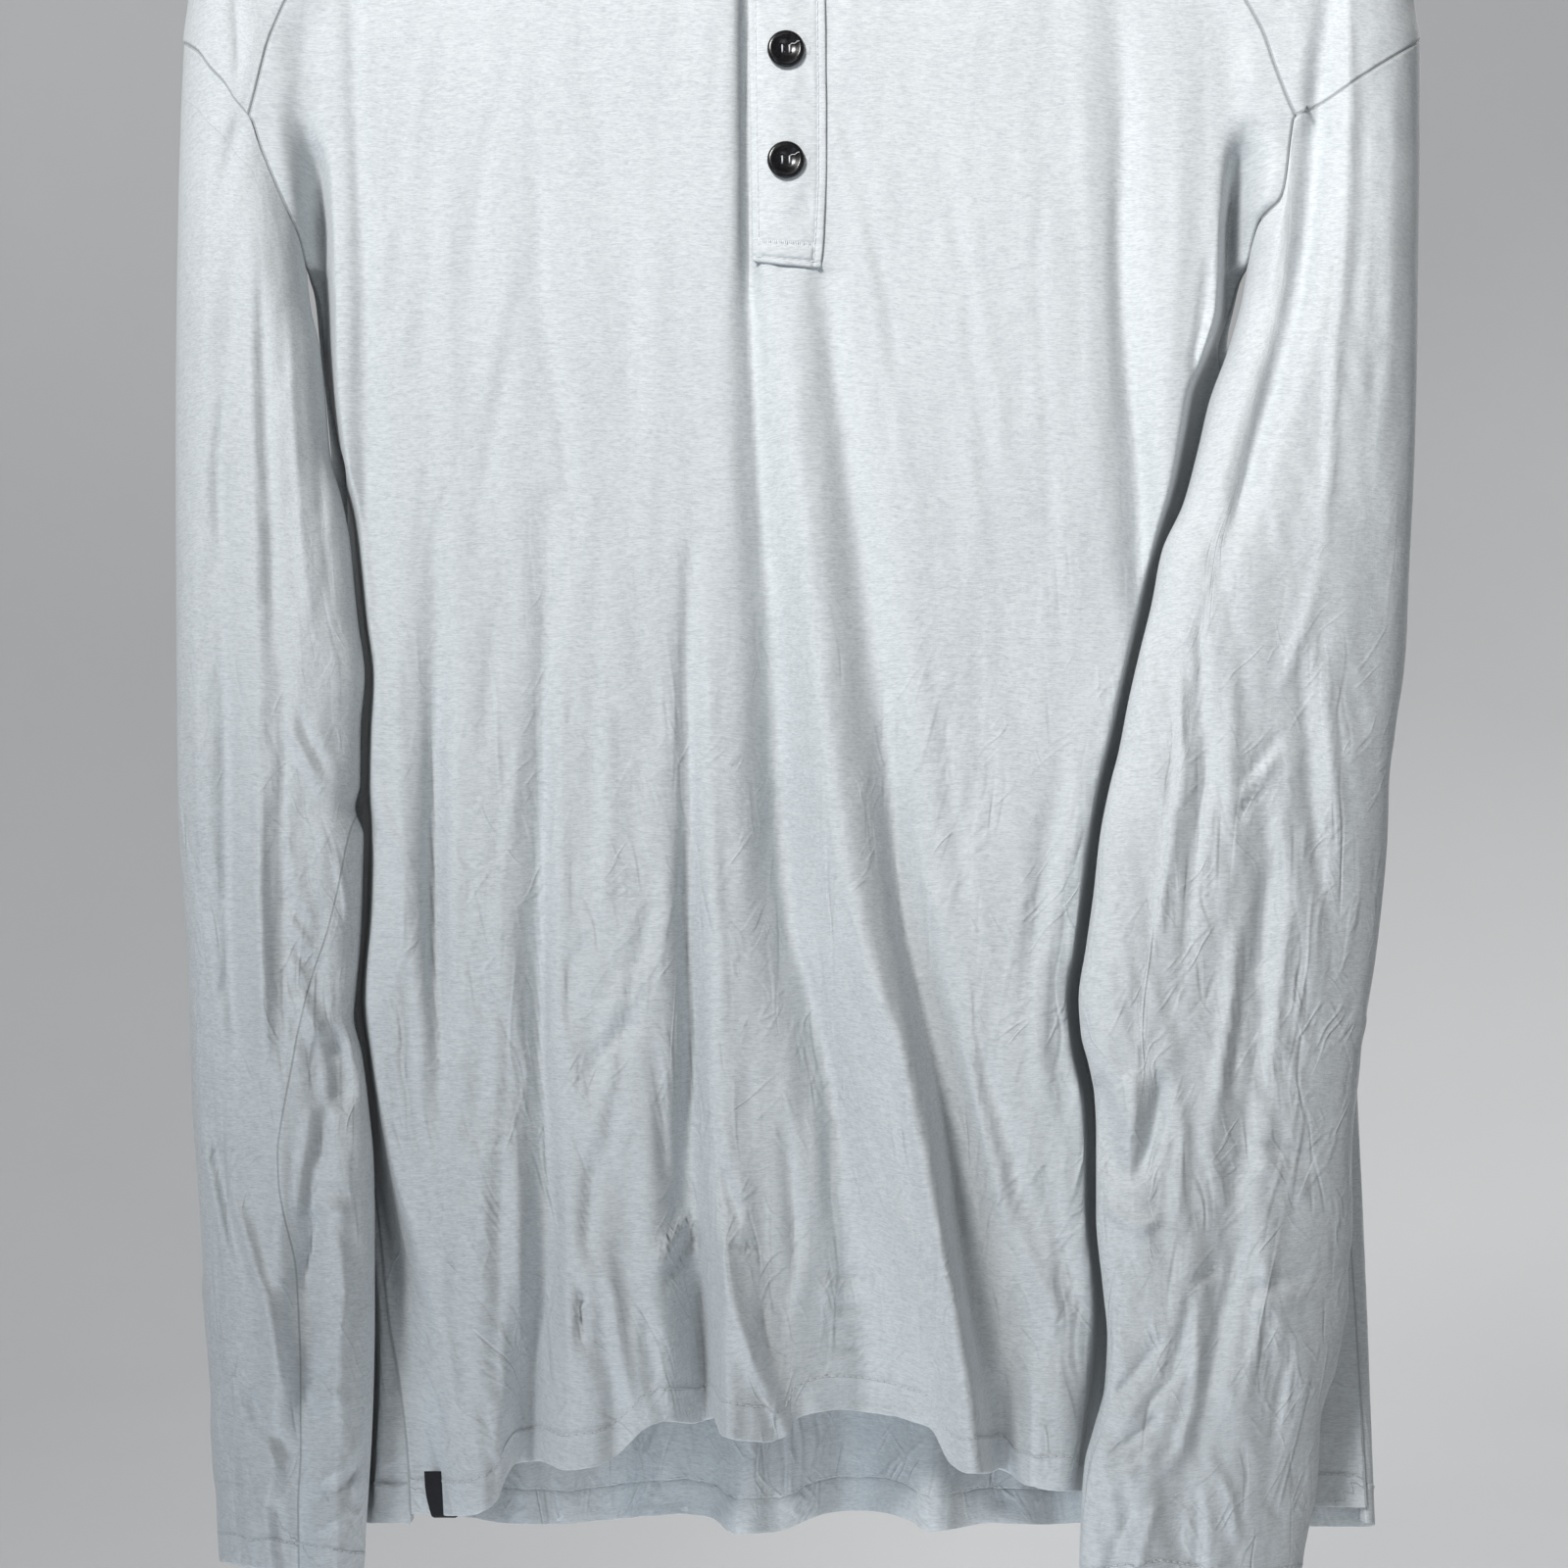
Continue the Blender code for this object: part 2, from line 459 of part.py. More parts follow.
def sleeve_grid(side):
    """A sleeve's points: rings from its upper seam down to the cuff."""
    half = np.array(RING_ACROSS[side], float)
    across = np.concatenate([half[::-1][:-1], half[:-1]])
    front = np.concatenate([np.ones(len(half) - 1), -np.ones(len(half) - 1)])
    top = at(SLEEVE_SEAM[side], "z", across) - SEAM_GAP * 1.6
    rows = []
    for t in np.linspace(0, 1, SLEEVE_ROWS + 1) ** 1.1:
        z = top + (CUFF_LEVEL[side] - top) * t
        x, y = sleeve_section(side, across, front, z)
        y = y - np.where(front > 0, fold_height(SLEEVE_FOLDS[side], x, z), 0) * (1 - np.abs(across) ** 4)
        rows.append(np.stack([x, y, z], axis=1))
    return np.array(rows)


def seam_line(tab, levels):
    """The points of a raglan seam at these levels."""
    z = np.array(levels, float)
    return np.stack([at(tab, "x", z), at(tab, "y", z), z], axis=-1)


def panel_grid(side):
    """A shoulder panel's points, from the neck to the sleeve seam and from the front seam to the back one."""
    outward = -1 if side == "left" else 1
    share = np.array(CREST_SHARES, float)
    front = seam_line(FRONT_EDGE[side], RAGLAN_ROWS["front"])
    back = seam_line(BACK_EDGE[side], RAGLAN_ROWS["back"])
    crest = np.stack([at(CREST[side], k, share) for k in "xyz"], axis=-1)
    quarter = np.linspace(0, math.pi / 2, PANEL_HALF + 1)
    out = np.sin(quarter) ** (2 / SLEEVE_SQUARENESS)
    along = 1 - np.cos(quarter) ** (2 / SLEEVE_SQUARENESS)
    across = np.array(RING_ACROSS[side][: PANEL_HALF + 1], float)
    across = np.concatenate([across[::-1], across[1:]])
    faces = np.where(np.arange(2 * PANEL_HALF + 1) <= PANEL_HALF, 1.0, -1.0)
    rows = []
    for k, t in enumerate(share):
        halves = []
        for edge in (front[k], back[k]):
            half = crest[k] + (edge - crest[k]) * along[:, None]
            half[:, 1] = crest[k][1] + (edge[1] - crest[k][1]) * out
            halves.append(half)
        row = np.concatenate([halves[0][::-1], halves[1][1:]])
        ring_z = at(SLEEVE_SEAM[side], "z", across) + (1 - t) * 330 + SEAM_GAP * 0.5
        ring_x, ring_y = sleeve_section(side, across, faces, ring_z)
        mix = float(ease((t - 0.7) / 0.3))
        rows.append(row * (1 - mix) + np.stack([ring_x, ring_y, ring_z], axis=1) * mix)
    grid = np.array(rows)
    for first, step, edge in ((0, 1, front), (-1, -1, back)):
        shift = edge + [outward * SEAM_GAP * 1.6, 0, 0] - grid[:, first]
        for n, weight in enumerate((1, 0.6, 0.25)):
            grid[:-1, first + step * n] += shift[:-1] * weight
        grid[-1, first, :2] = edge[-1, :2] + [outward * SEAM_GAP * 1.6, 0]
    grid[-1, :, 2] = at(SLEEVE_SEAM[side], "z", across) + SEAM_GAP
    return grid


def grid_faces(rows, columns, closed=False, skip=lambda r, c: False):
    """Four-sided faces between a grid's points."""
    wide = columns if closed else columns - 1
    faces = []
    for r in range(rows - 1):
        for c in range(wide):
            if not skip(r, c):
                d = (c + 1) % columns
                faces.append((r * columns + c, (r + 1) * columns + c, (r + 1) * columns + d, r * columns + d))
    return faces


def true_place(points):
    """The shirt's table points carried out to their own depth. The spread fades out towards the shoulders."""
    points = np.asarray(points, float).reshape(-1, 3).copy()
    spread = (EYE_DISTANCE + points[:, 1]) / (EYE_DISTANCE + FRONT_PLANE) - 1
    spread *= ease((SPREAD_TOP[1] - points[:, 2]) / (SPREAD_TOP[1] - SPREAD_TOP[0]))
    points[:, 0] *= 1 + spread
    points[:, 2] *= 1 + spread
    return points


def metres(points):
    """Millimetres as metres below the hook."""
    points = np.asarray(points, float).reshape(-1, 3).copy()
    points[:, 2] -= MID_DROP
    return (points * MM).tolist()


def add_object(name, points, faces, material, thickness=0.0, smooth=True):
    """An object from points. A thickness turns the sheet into a wall, grown on the side its faces hide."""
    mesh = bpy.data.meshes.new(name)
    mesh.from_pydata(metres(points), [], faces)
    mesh.update()
    obj = bpy.data.objects.new(name, mesh)
    bpy.context.scene.collection.objects.link(obj)
    mesh.materials.append(material)
    if smooth:
        mesh.shade_smooth()
    if thickness:
        wall = obj.modifiers.new("wall", "SOLIDIFY")
        wall.thickness = thickness * MM
        wall.offset = -1.0
        wall.use_even_offset = False
    return obj


def make_material(name, colour, roughness, metallic=0.0):
    """A plain finish."""
    material = bpy.data.materials.new(name)
    material.use_nodes = True
    shader = material.node_tree.nodes["Principled BSDF"]
    shader.inputs["Base Color"].default_value = (*colour, 1.0)
    shader.inputs["Roughness"].default_value = roughness
    shader.inputs["Metallic"].default_value = metallic
    return material


def add_front(jersey):
    """The front panel, slit down the middle behind the placket."""
    grid = front_grid()
    rows, columns = grid.shape[:2]
    first, last = FRONT_COLUMNS[0], FRONT_COLUMNS[0] + FRONT_COLUMNS[1]
    foot = sum(1 for z in grid[:, (first + last) // 2, 2] if z > PLACKET_FOOT + 6)

    def in_slit(r, c):
        return r < foot - 1 and first <= c < last

    add_object("front", true_place(grid), grid_faces(rows, columns, skip=in_slit), jersey, CLOTH)


def add_back(jersey):
    """The back panel, which wraps round both sides to the side seams."""
    grid = back_grid()[:, ::-1]
    rows, columns = grid.shape[:2]
    add_object("back", true_place(grid), grid_faces(rows, columns), jersey, CLOTH)


def add_sleeves(jersey):
    """Both sleeves below the dropped seam, each a closed tube open at its two ends."""
    for side in ("left", "right"):
        grid = sleeve_grid(side)
        if side == "left":
            grid = grid[:, ::-1]
        rows, columns = grid.shape[:2]
        add_object(f"sleeve_{side}", true_place(grid), grid_faces(rows, columns, closed=True), jersey, CLOTH)


def add_shoulders(jersey):
    """Both raglan shoulder panels, which lie over the hanger's arms."""
    for side in ("left", "right"):
        grid = panel_grid(side)
        if side == "left":
            grid = grid[:, ::-1]
        rows, columns = grid.shape[:2]
        add_object(f"shoulder_{side}", true_place(grid), grid_faces(rows, columns), jersey, CLOTH)


def neck_path():
    """The neckline from the placket's right edge round the back of the neck to its left edge."""
    front, back = front_grid()[0], back_grid()[0]
    right, left = panel_grid("right")[0], panel_grid("left")[0]
    edge_right = PLACKET_CENTRE + PLACKET_WIDTH / 2 + 0.5
    edge_left = PLACKET_CENTRE - PLACKET_WIDTH / 2 - 0.5
    ends = [np.array([[x, np.interp(x, front[:, 0], front[:, 1]), np.interp(x, front[:, 0], front[:, 2])]])
            for x in (edge_right, edge_left)]
    return np.concatenate([
        ends[0], front[front[:, 0] > edge_right + 2][:-1], right, back[::-1][1:-1], left[::-1],
        front[front[:, 0] < edge_left - 2][1:], ends[1],
    ])


def add_neckband(jersey):
    """The standing band sewn round the neckline, leaning in towards the neck."""
    path = neck_path()
    lift = np.column_stack([-0.75 * path[:, 0] / 78.0, -0.25 * path[:, 1] / 20.0, np.ones(len(path))])
    lift /= np.linalg.norm(lift, axis=1)[:, None]
    rows = [path + lift * h for h in (NECKBAND_HEIGHT, NECKBAND_HEIGHT / 2, NECKBAND_GAP)]
    grid = np.array(rows)[:, ::-1]
    add_object("neckband", true_place(grid), grid_faces(*grid.shape[:2]), jersey, DOUBLE_CLOTH)


def placket_level(z):
    """The depth of the front's foremost point across the placket at this level."""
    x = np.linspace(PLACKET_CENTRE - PLACKET_WIDTH / 2, PLACKET_CENTRE + PLACKET_WIDTH / 2, 9)
    return float(front_depth(x, np.full(9, min(z, 336.0)), 300.0).min())


def placket_grid(width, foot, head, forward):
    """A strip that lies parallel to the front panel, moved towards the viewer."""
    x = np.linspace(PLACKET_CENTRE - width / 2, PLACKET_CENTRE + width / 2, PLACKET_COLUMNS + 1)
    z = np.linspace(head, foot, PLACKET_ROWS + 1)
    across, height = np.meshgrid(x, z)
    level = np.array([placket_level(h) for h in z])[:, None] + np.zeros_like(across)
    return np.stack([across, level - forward, height], axis=2)


def add_placket(jersey):
    """The buttoned strip on the outside and the one behind it, either side of the front's slit."""
    head = 336 + NECKBAND_HEIGHT - 1
    top = placket_grid(PLACKET_WIDTH, PLACKET_FOOT, head, PLACKET_FORWARD)
    add_object("placket", true_place(top), grid_faces(*top.shape[:2]), jersey, DOUBLE_CLOTH)
    under = placket_grid(UNDER_PLACKET_WIDTH, PLACKET_FOOT + 2, head - 1, -UNDER_PLACKET_BACK)
    add_object("placket_under", true_place(under), grid_faces(*under.shape[:2]), jersey, DOUBLE_CLOTH)


def button_profile():
    """Half the outline of a dished button, from its back's middle round the rim to its front's middle."""
    r, t = BUTTON_DIAMETER / 2, BUTTON_THICKNESS
    return [(0, 0), (r * 0.72, 0), (r * 0.95, t * 0.3), (r, t * 0.62), (r * 0.93, t * 0.93), (r * 0.78, t),
            (r * 0.6, t * 0.8), (r * 0.5, t * 0.62), (0, t * 0.6)]


def add_buttons(horn):
    """Three round buttons down the placket, turned about their own middles and lying flat on the strip."""
    sides = 20
    profile = button_profile()
    strip = placket_grid(PLACKET_WIDTH, PLACKET_FOOT, 336 + NECKBAND_HEIGHT - 1, PLACKET_FORWARD)[::-1, 0]
    for n in range(BUTTON_COUNT):
        middle = LOWEST_BUTTON + n * BUTTON_SPACING
        low, high = (float(np.interp(middle + d, strip[:, 2], strip[:, 1])) for d in (-7, 7))
        tilt = math.atan2(high - low, 14.0)
        deepest = (np.interp(middle + np.array([-7, -3, 0, 3, 7]), strip[:, 2], strip[:, 1])
                   - (low + high) / 2 - np.array([-7, -3, 0, 3, 7]) * math.tan(tilt)).min()
        face = (low + high) / 2 + min(0.0, float(deepest)) - LAY_GAP

        def placed(r, t, turn):
            """A point r from the button's axis, t forward of its back and turned round the axis."""
            up = r * math.sin(turn)
            return (PLACKET_CENTRE - 1.0 + r * math.cos(turn),
                    face - t * math.cos(tilt) + up * math.sin(tilt),
                    middle + up * math.cos(tilt) + t * math.sin(tilt))

        points = [placed(0, 0, 0)]
        for r, t in profile[1:-1]:
            points += [placed(r, t, 2 * math.pi * k / sides) for k in range(sides)]
        points.append(placed(0, profile[-1][1], 0))
        rings = len(profile) - 2
        faces = [(0, 1 + (k + 1) % sides, 1 + k) for k in range(sides)]
        for ring in range(rings - 1):
            for k in range(sides):
                a, b = 1 + ring * sides + k, 1 + ring * sides + (k + 1) % sides
                faces.append((a, b, b + sides, a + sides))
        last = len(points) - 1
        faces += [(last, last - sides + k, last - sides + (k + 1) % sides) for k in range(sides)]
        add_object(f"button_{n + 1}", true_place(points), faces, horn)


def add_hem_tab(ribbon):
    """The small ribbon folded over the front hem near the left side seam, one leaf outside and one inside."""
    front = front_grid()[-3:, : FRONT_COLUMNS[0]]
    near = front[:, np.abs(front[0, :, 0] - TAB_X) < TAB_WIDTH / 2 + 12]
    span = np.linspace(TAB_X - TAB_WIDTH / 2 - 1.5, TAB_X + TAB_WIDTH / 2 + 1.5, 7)
    depths = np.array([[np.interp(x, row[:, 0], row[:, 1]) for x in span] for row in near])
    outside, inside = depths.min() - TAB_GAP, depths.max() + CLOTH + TAB_GAP + TAB_CLOTH
    hem = float(np.interp(TAB_X, near[-1][:, 0], near[-1][:, 2]))
    low = hem - 1.5 - TAB_CLOTH
    profile = [(outside, hem + TAB_HEIGHT), (outside, hem + TAB_HEIGHT / 2), (outside, hem - 0.5),
               (outside * 0.75 + inside * 0.25, low), (outside * 0.25 + inside * 0.75, low), (inside, hem - 0.5),
               (inside, hem + TAB_HEIGHT / 2), (inside, hem + TAB_HEIGHT - 1)]
    grid = np.array([[(x, y, z) for x in (TAB_X - TAB_WIDTH / 2, TAB_X + TAB_WIDTH / 2)] for y, z in profile])
    add_object("hem_tab", true_place(grid), grid_faces(*grid.shape[:2]), ribbon, TAB_CLOTH)


def add_hanger(wood, steel):
    """A plain one-piece hanger with a round-ended bar, and its bent wire hook."""
    xs = np.linspace(-200, 200, 27)
    top = at(HANGER_TOP, "z", np.abs(xs))
    turn = np.linspace(0, 2 * math.pi, 10, endpoint=False)
    points, faces = [], []
    for x, z in zip(xs, top):
        slim = math.sqrt(max(0.0, 1 - (abs(x) / 200) ** 10)) * 0.85 + 0.15
        for a in turn:
            rise = HANGER_HEIGHT / 2 * (slim * math.sin(a) - 1)
            points.append((x, HANGER_DEPTH / 2 * slim * math.cos(a), z + rise))
    sides = len(turn)
    for ring in range(len(xs) - 1):
        for k in range(sides):
            a, b = ring * sides + k, ring * sides + (k + 1) % sides
            faces.append((a, b, b + sides, a + sides))
    faces.append(tuple(range(sides))[::-1])
    faces.append(tuple(range(len(points) - sides, len(points))))
    add_object("hanger", points, faces, wood)

    centre = MID_DROP - HOOK_RADIUS + HOOK_WIRE / 2
    start = math.radians(-38)
    meet = np.array([HOOK_RADIUS * math.cos(start), centre + HOOK_RADIUS * math.sin(start)])
    corners = [np.array([0.0, 476.0]), np.array([0.0, 493.0]),
               meet - 13.0 * np.array([-math.sin(start), math.cos(start)]), meet]
    path = [(0.0, 0.0, 447 + LAY_GAP + 0.2), (0.0, 0.0, 462.0)]
    for t in np.linspace(0, 1, 7)[:-1]:
        x, z = sum(c * w for c, w in zip(corners, ((1 - t) ** 3, 3 * (1 - t) ** 2 * t, 3 * (1 - t) * t**2, t**3)))
        path.append((x, 0.0, z))
    for turn_to in np.linspace(-38, 200, 18):
        a = math.radians(turn_to)
        path.append((HOOK_RADIUS * math.cos(a), 0.0, centre + HOOK_RADIUS * math.sin(a)))
    curve = bpy.data.curves.new("hook", "CURVE")
    curve.dimensions = "3D"
    curve.bevel_depth = HOOK_WIRE / 2 * MM
    curve.bevel_resolution = 2
    curve.use_fill_caps = True
    spline = curve.splines.new("POLY")
    spline.points.add(len(path) - 1)
    for point, (x, y, z) in zip(spline.points, metres(path)):
        point.co = (x, y, z, 1.0)
    curve.materials.append(steel)
    bpy.context.scene.collection.objects.link(bpy.data.objects.new("hook", curve))


def main():
    """Builds the shirt and its hanger in an emptied scene."""
    for obj in list(bpy.data.objects):
        bpy.data.objects.remove(obj)
    jersey = make_material("heather_jersey", (0.68, 0.71, 0.73), 0.85)
    horn = make_material("black_button", (0.015, 0.015, 0.017), 0.25)
    ribbon = make_material("black_ribbon", (0.012, 0.012, 0.014), 0.7)
    wood = make_material("hanger_wood", (0.45, 0.28, 0.15), 0.45)
    steel = make_material("hook_steel", (0.6, 0.6, 0.62), 0.3, 1.0)
    add_front(jersey)
    add_back(jersey)
    add_shoulders(jersey)
    add_sleeves(jersey)
    add_neckband(jersey)
    add_placket(jersey)
    add_buttons(horn)
    add_hem_tab(ribbon)
    add_hanger(wood, steel)


main()
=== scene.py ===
"""A long-sleeved henley in heather jersey, hanging open on a plain wooden hanger.

Every piece is cut, turned and seamed as a maker would do it. Sizes are millimetres. X is to the right as
one faces the shirt, -Y is towards the viewer and +Z is up, with the origin where the hanger's hook sits on
its rod. Heights in the tables are measured from a level MID_DROP below the hook. The shirt's widths and
heights are given as they show on the plane FRONT_PLANE to an eye at that level, EYE_DISTANCE in front of
the hanger; true_place carries each point out to its own depth.
"""

import logging
import math
from collections.abc import Callable, Sequence
from dataclasses import dataclass, field
from enum import Enum
from typing import ClassVar

import bmesh
import bpy
import numpy as np
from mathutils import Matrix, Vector


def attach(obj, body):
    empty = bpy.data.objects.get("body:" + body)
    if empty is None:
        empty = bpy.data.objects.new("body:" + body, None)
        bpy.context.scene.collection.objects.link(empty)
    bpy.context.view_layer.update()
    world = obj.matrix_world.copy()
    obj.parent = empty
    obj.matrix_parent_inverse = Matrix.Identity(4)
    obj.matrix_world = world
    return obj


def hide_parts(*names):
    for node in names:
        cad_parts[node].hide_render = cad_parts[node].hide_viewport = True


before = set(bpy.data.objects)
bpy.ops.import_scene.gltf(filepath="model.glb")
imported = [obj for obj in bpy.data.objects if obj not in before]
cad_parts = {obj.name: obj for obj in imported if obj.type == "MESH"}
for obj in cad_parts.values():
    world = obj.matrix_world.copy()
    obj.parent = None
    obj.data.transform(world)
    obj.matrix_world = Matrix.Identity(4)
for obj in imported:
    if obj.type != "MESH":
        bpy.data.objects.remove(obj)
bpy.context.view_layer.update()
LOG = logging.getLogger("henley")

MM = 0.001
MID_DROP = 540.0
EYE_DISTANCE = 900.0
FRONT_PLANE = -50.0
SPREAD_TOP = (291.0, 420.0)
JERSEY_THICKNESS = 0.75
SQUARENESS = 2.5
FAR_AWAY = 99.0
# What the body keeps from a sleeve that hangs before it, and the width that is turned in at the neckline.
SLEEVE_CLEARANCE = 3.5
NECK_ALLOWANCE = 4.0
# How far from a seam the small folds die away, and how deep a sleeve's own folds run on round its edges.
SEAM_CALM = 9.0
FACE_TURN = 14.0
# The height below which the rows bend to the line of their hem.
HEM_BEND = -60.0

Array = np.ndarray
Table = dict[str, np.ndarray]
Triple = tuple[float, float, float]


def table(columns: str, rows: Sequence[Sequence[float]]) -> Table:
    """Rows of numbers as named columns.

    Args:
        columns: The columns' names, with spaces between.
        rows: The rows, in any order.

    Returns:
        Each column by its name, in rising order of the first one.
    """
    values = np.array(sorted(rows), float)
    return {name: values[:, i] for i, name in enumerate(columns.split())}


def at(tab: Table, column: str, where: Array | float) -> Array:
    """A column's value between its rows, on a smooth curve that doesn't overshoot them.

    Args:
        tab: The table.
        column: The column's name.
        where: Values of the table's first column.

    Returns:
        The column's values there.
    """
    keys, values = tab[next(iter(tab))], tab[column]
    step = np.diff(keys)
    slope = np.diff(values) / step
    tangent = np.zeros_like(values)
    same_way = slope[1:] * slope[:-1] > 0
    total = np.where(same_way, slope[1:] + slope[:-1], 1.0)
    tangent[1:-1] = np.where(same_way, 2 * slope[1:] * slope[:-1] / total, 0.0)
    tangent[0], tangent[-1] = slope[0], slope[-1]
    x = np.clip(np.asarray(where, float), keys[0], keys[-1])
    i = np.clip(np.searchsorted(keys, x) - 1, 0, len(step) - 1)
    t = (x - keys[i]) / step[i]
    return (
        (2 * t**3 - 3 * t**2 + 1) * values[i]
        + (t**3 - 2 * t**2 + t) * step[i] * tangent[i]
        + (3 * t**2 - 2 * t**3) * values[i + 1]
        + (t**3 - t**2) * step[i] * tangent[i + 1]
    )


def ease(t: Array | float) -> Array:
    """Runs smoothly from 0 to 1."""
    t = np.clip(t, 0.0, 1.0)
    return t * t * (3 - 2 * t)


def unit(vectors: Array) -> Array:
    """The same directions with a length of one."""
    return vectors / np.maximum(np.linalg.norm(vectors, axis=-1, keepdims=True), 1e-9)


def resample(points: Array, count: int) -> Array:
    """A line with count + 1 points spaced evenly along it.

    Args:
        points: The line's points, one a row.
        count: The number of steps.

    Returns:
        The new points.
    """
    lengths = np.linalg.norm(np.diff(points, axis=0), axis=1)
    along = np.concatenate([[0], np.cumsum(lengths)])
    marks = np.linspace(0, along[-1], count + 1)
    return np.stack([np.interp(marks, along, points[:, k]) for k in range(points.shape[1])], axis=1)


def smoothed(values: Array, width: int, **padding: str) -> Array:
    """Numbers along a line, smoothed over an odd width; padding says how the line goes on past its ends."""
    kernel = np.hanning(width) / np.hanning(width).sum()
    return np.convolve(np.pad(values, width // 2, **padding), kernel, mode="valid")


def true_place(points: Array) -> Array:
    """Points of the tables carried out to their own depth; the spread fades out towards the shoulders."""
    points = np.array(points, float)
    spread = (EYE_DISTANCE + points[..., 1]) / (EYE_DISTANCE + FRONT_PLANE) - 1
    spread = spread * ease((SPREAD_TOP[1] - points[..., 2]) / (SPREAD_TOP[1] - SPREAD_TOP[0]))
    points[..., 0] *= 1 + spread
    points[..., 2] *= 1 + spread
    return points


class Side(Enum):
    """The two sides of the shirt as one faces it."""

    LEFT = -1
    RIGHT = 1


class Edge(Enum):
    """The edges of a sheet's grid."""

    TOP = "top"
    BOTTOM = "bottom"
    FIRST = "first"
    LAST = "last"


@dataclass(frozen=True)
class Crease:
    """A fold along a line on the cloth, which stands out where height is positive and sinks where it is not.

    left and right are the widths of its two slopes, seen as one follows the line downwards; line holds x, z,
    x, z and so on. crisp is 2 for a rounded fold and nearer to 1 for a pressed one, and swell is how strong
    the fold is along its way.
    """

    height: float
    left: float
    right: float
    line: tuple[float, ...]
    crisp: float = 1.5
    swell: tuple[float, ...] = (0.0, 1.0, 1.0, 0.0)
    step: float = 3.0
    reach: float = 3.2

    def way(self) -> Array:
        """The line again, smooth and with points about a step apart."""
        given = np.array(self.line, float).reshape(-1, 2)
        along = np.concatenate([[0], np.cumsum(np.linalg.norm(np.diff(given, axis=0), axis=1))])
        tab = {"s": along, "x": given[:, 0], "z": given[:, 1]}
        marks = np.linspace(0, along[-1], max(2, int(along[-1] / self.step) + 1))
        return np.stack([at(tab, "x", marks), at(tab, "z", marks)], axis=1)

    def nearest(self, x: Array, z: Array) -> tuple[Array, Array]:
        """How far places lie from the line.

        Args:
            x: Their widths.
            z: Their heights.

        Returns:
            The signed distances, positive on the right, and the shares of the way along the line.
        """
        way = self.way()
        start, run = way[:-1], np.diff(way, axis=0)
        length = np.linalg.norm(run, axis=1)
        before = np.concatenate([[0], np.cumsum(length)])
        spot = np.stack([x, z], axis=-1)[:, None, :] - start
        share = np.clip((spot * run).sum(-1) / length**2, 0, 1)
        apart = spot - share[..., None] * run
        k = np.argmin((apart**2).sum(-1), axis=1)
        rows = np.arange(len(x))
        away = np.linalg.norm(apart[rows, k], axis=1)
        side = spot[rows, k, 1] * run[k, 0] - spot[rows, k, 0] * run[k, 1]
        return np.where(side < 0, -away, away), (before[k] + share[rows, k] * length[k]) / before[-1]

    def rise(self, x: Array, z: Array) -> Array:
        """How far the fold stands out at these places."""
        total = np.zeros(np.shape(x))
        given = np.array(self.line, float).reshape(-1, 2)
        margin = self.reach * max(self.left, self.right)
        (x0, z0), (x1, z1) = given.min(0) - margin, given.max(0) + margin
        near = (x > x0) & (x < x1) & (z > z0) & (z < z1)
        if near.any():
            away, share = self.nearest(x[near], z[near])
            width = np.where(away < 0, self.left, self.right)
            strength = np.interp(share, np.linspace(0, 1, len(self.swell)), self.swell)
            strength = strength * strength * (3 - 2 * strength) if max(self.swell) <= 1 else strength
            total[near] = self.height * strength * np.exp(-(np.abs(away) / width) ** self.crisp)
        return total


@dataclass(frozen=True)
class Ripple:
    """Small uneven waves all over a cloth, the same ones each time for a seed."""

    seed: int
    height: float
    wide: tuple[float, float]
    tall: tuple[float, float]
    waves: int = 26

    def rise(self, x: Array, z: Array) -> Array:
        """How far the waves stand out at these places."""
        random = np.random.default_rng(self.seed)
        total = np.zeros(np.shape(x))
        for _ in range(self.waves):
            across, down = random.uniform(*self.wide), random.uniform(*self.tall) * random.choice([-1, 1])
            total += np.cos(2 * math.pi * (x / across + z / down) + random.uniform(0, 2 * math.pi))
        return self.height * total / math.sqrt(self.waves / 2)


@dataclass(frozen=True)
class Crinkle:
    """Fine crisp creases all over a cloth: long uneven lines that wander, fork and end."""

    seed: int
    height: float
    wide: float
    tall: float
    slant: float = 0.0
    line: float = 0.32
    cells: int = 64

    def _noise(self, u: Array, v: Array, seed: int) -> Array:
        """Smooth noise from -1 to 1 on a lattice of random values."""
        lattice = np.random.default_rng(seed).uniform(-1, 1, (self.cells, self.cells))
        i, j = np.floor(u).astype(int), np.floor(v).astype(int)
        a, b = ease(u - i), ease(v - j)
        i, j = i % self.cells, j % self.cells
        k, m = (i + 1) % self.cells, (j + 1) % self.cells
        low = lattice[i, j] * (1 - a) + lattice[k, j] * a
        return low * (1 - b) + (lattice[i, m] * (1 - a) + lattice[k, m] * a) * b

    def rise(self, x: Array, z: Array) -> Array:
        """How far the creases stand out at these places."""
        x, z = x + self.slant * z, z + 0.0
        x = x + self.wide * 0.8 * self._noise(x / self.wide / 2.3, z / self.tall / 0.9, self.seed + 5)
        field_one = self._noise(x / self.wide + 7.3, z / self.tall + 3.1, self.seed)
        field_two = self._noise(x / self.wide / 1.7 + 1.9, z / self.tall / 1.6 + 5.7, self.seed + 1)
        strong = ease(0.5 + 0.9 * self._noise(x / self.wide / 2.2, z / self.tall / 1.4, self.seed + 2))
        ridge = np.exp(-(np.abs(field_one) / self.line) ** 1.3) - 0.45
        hollow = np.exp(-(np.abs(field_two) / self.line / 0.8) ** 1.3) - 0.4
        return self.height * strong * (ridge - 0.9 * hollow)


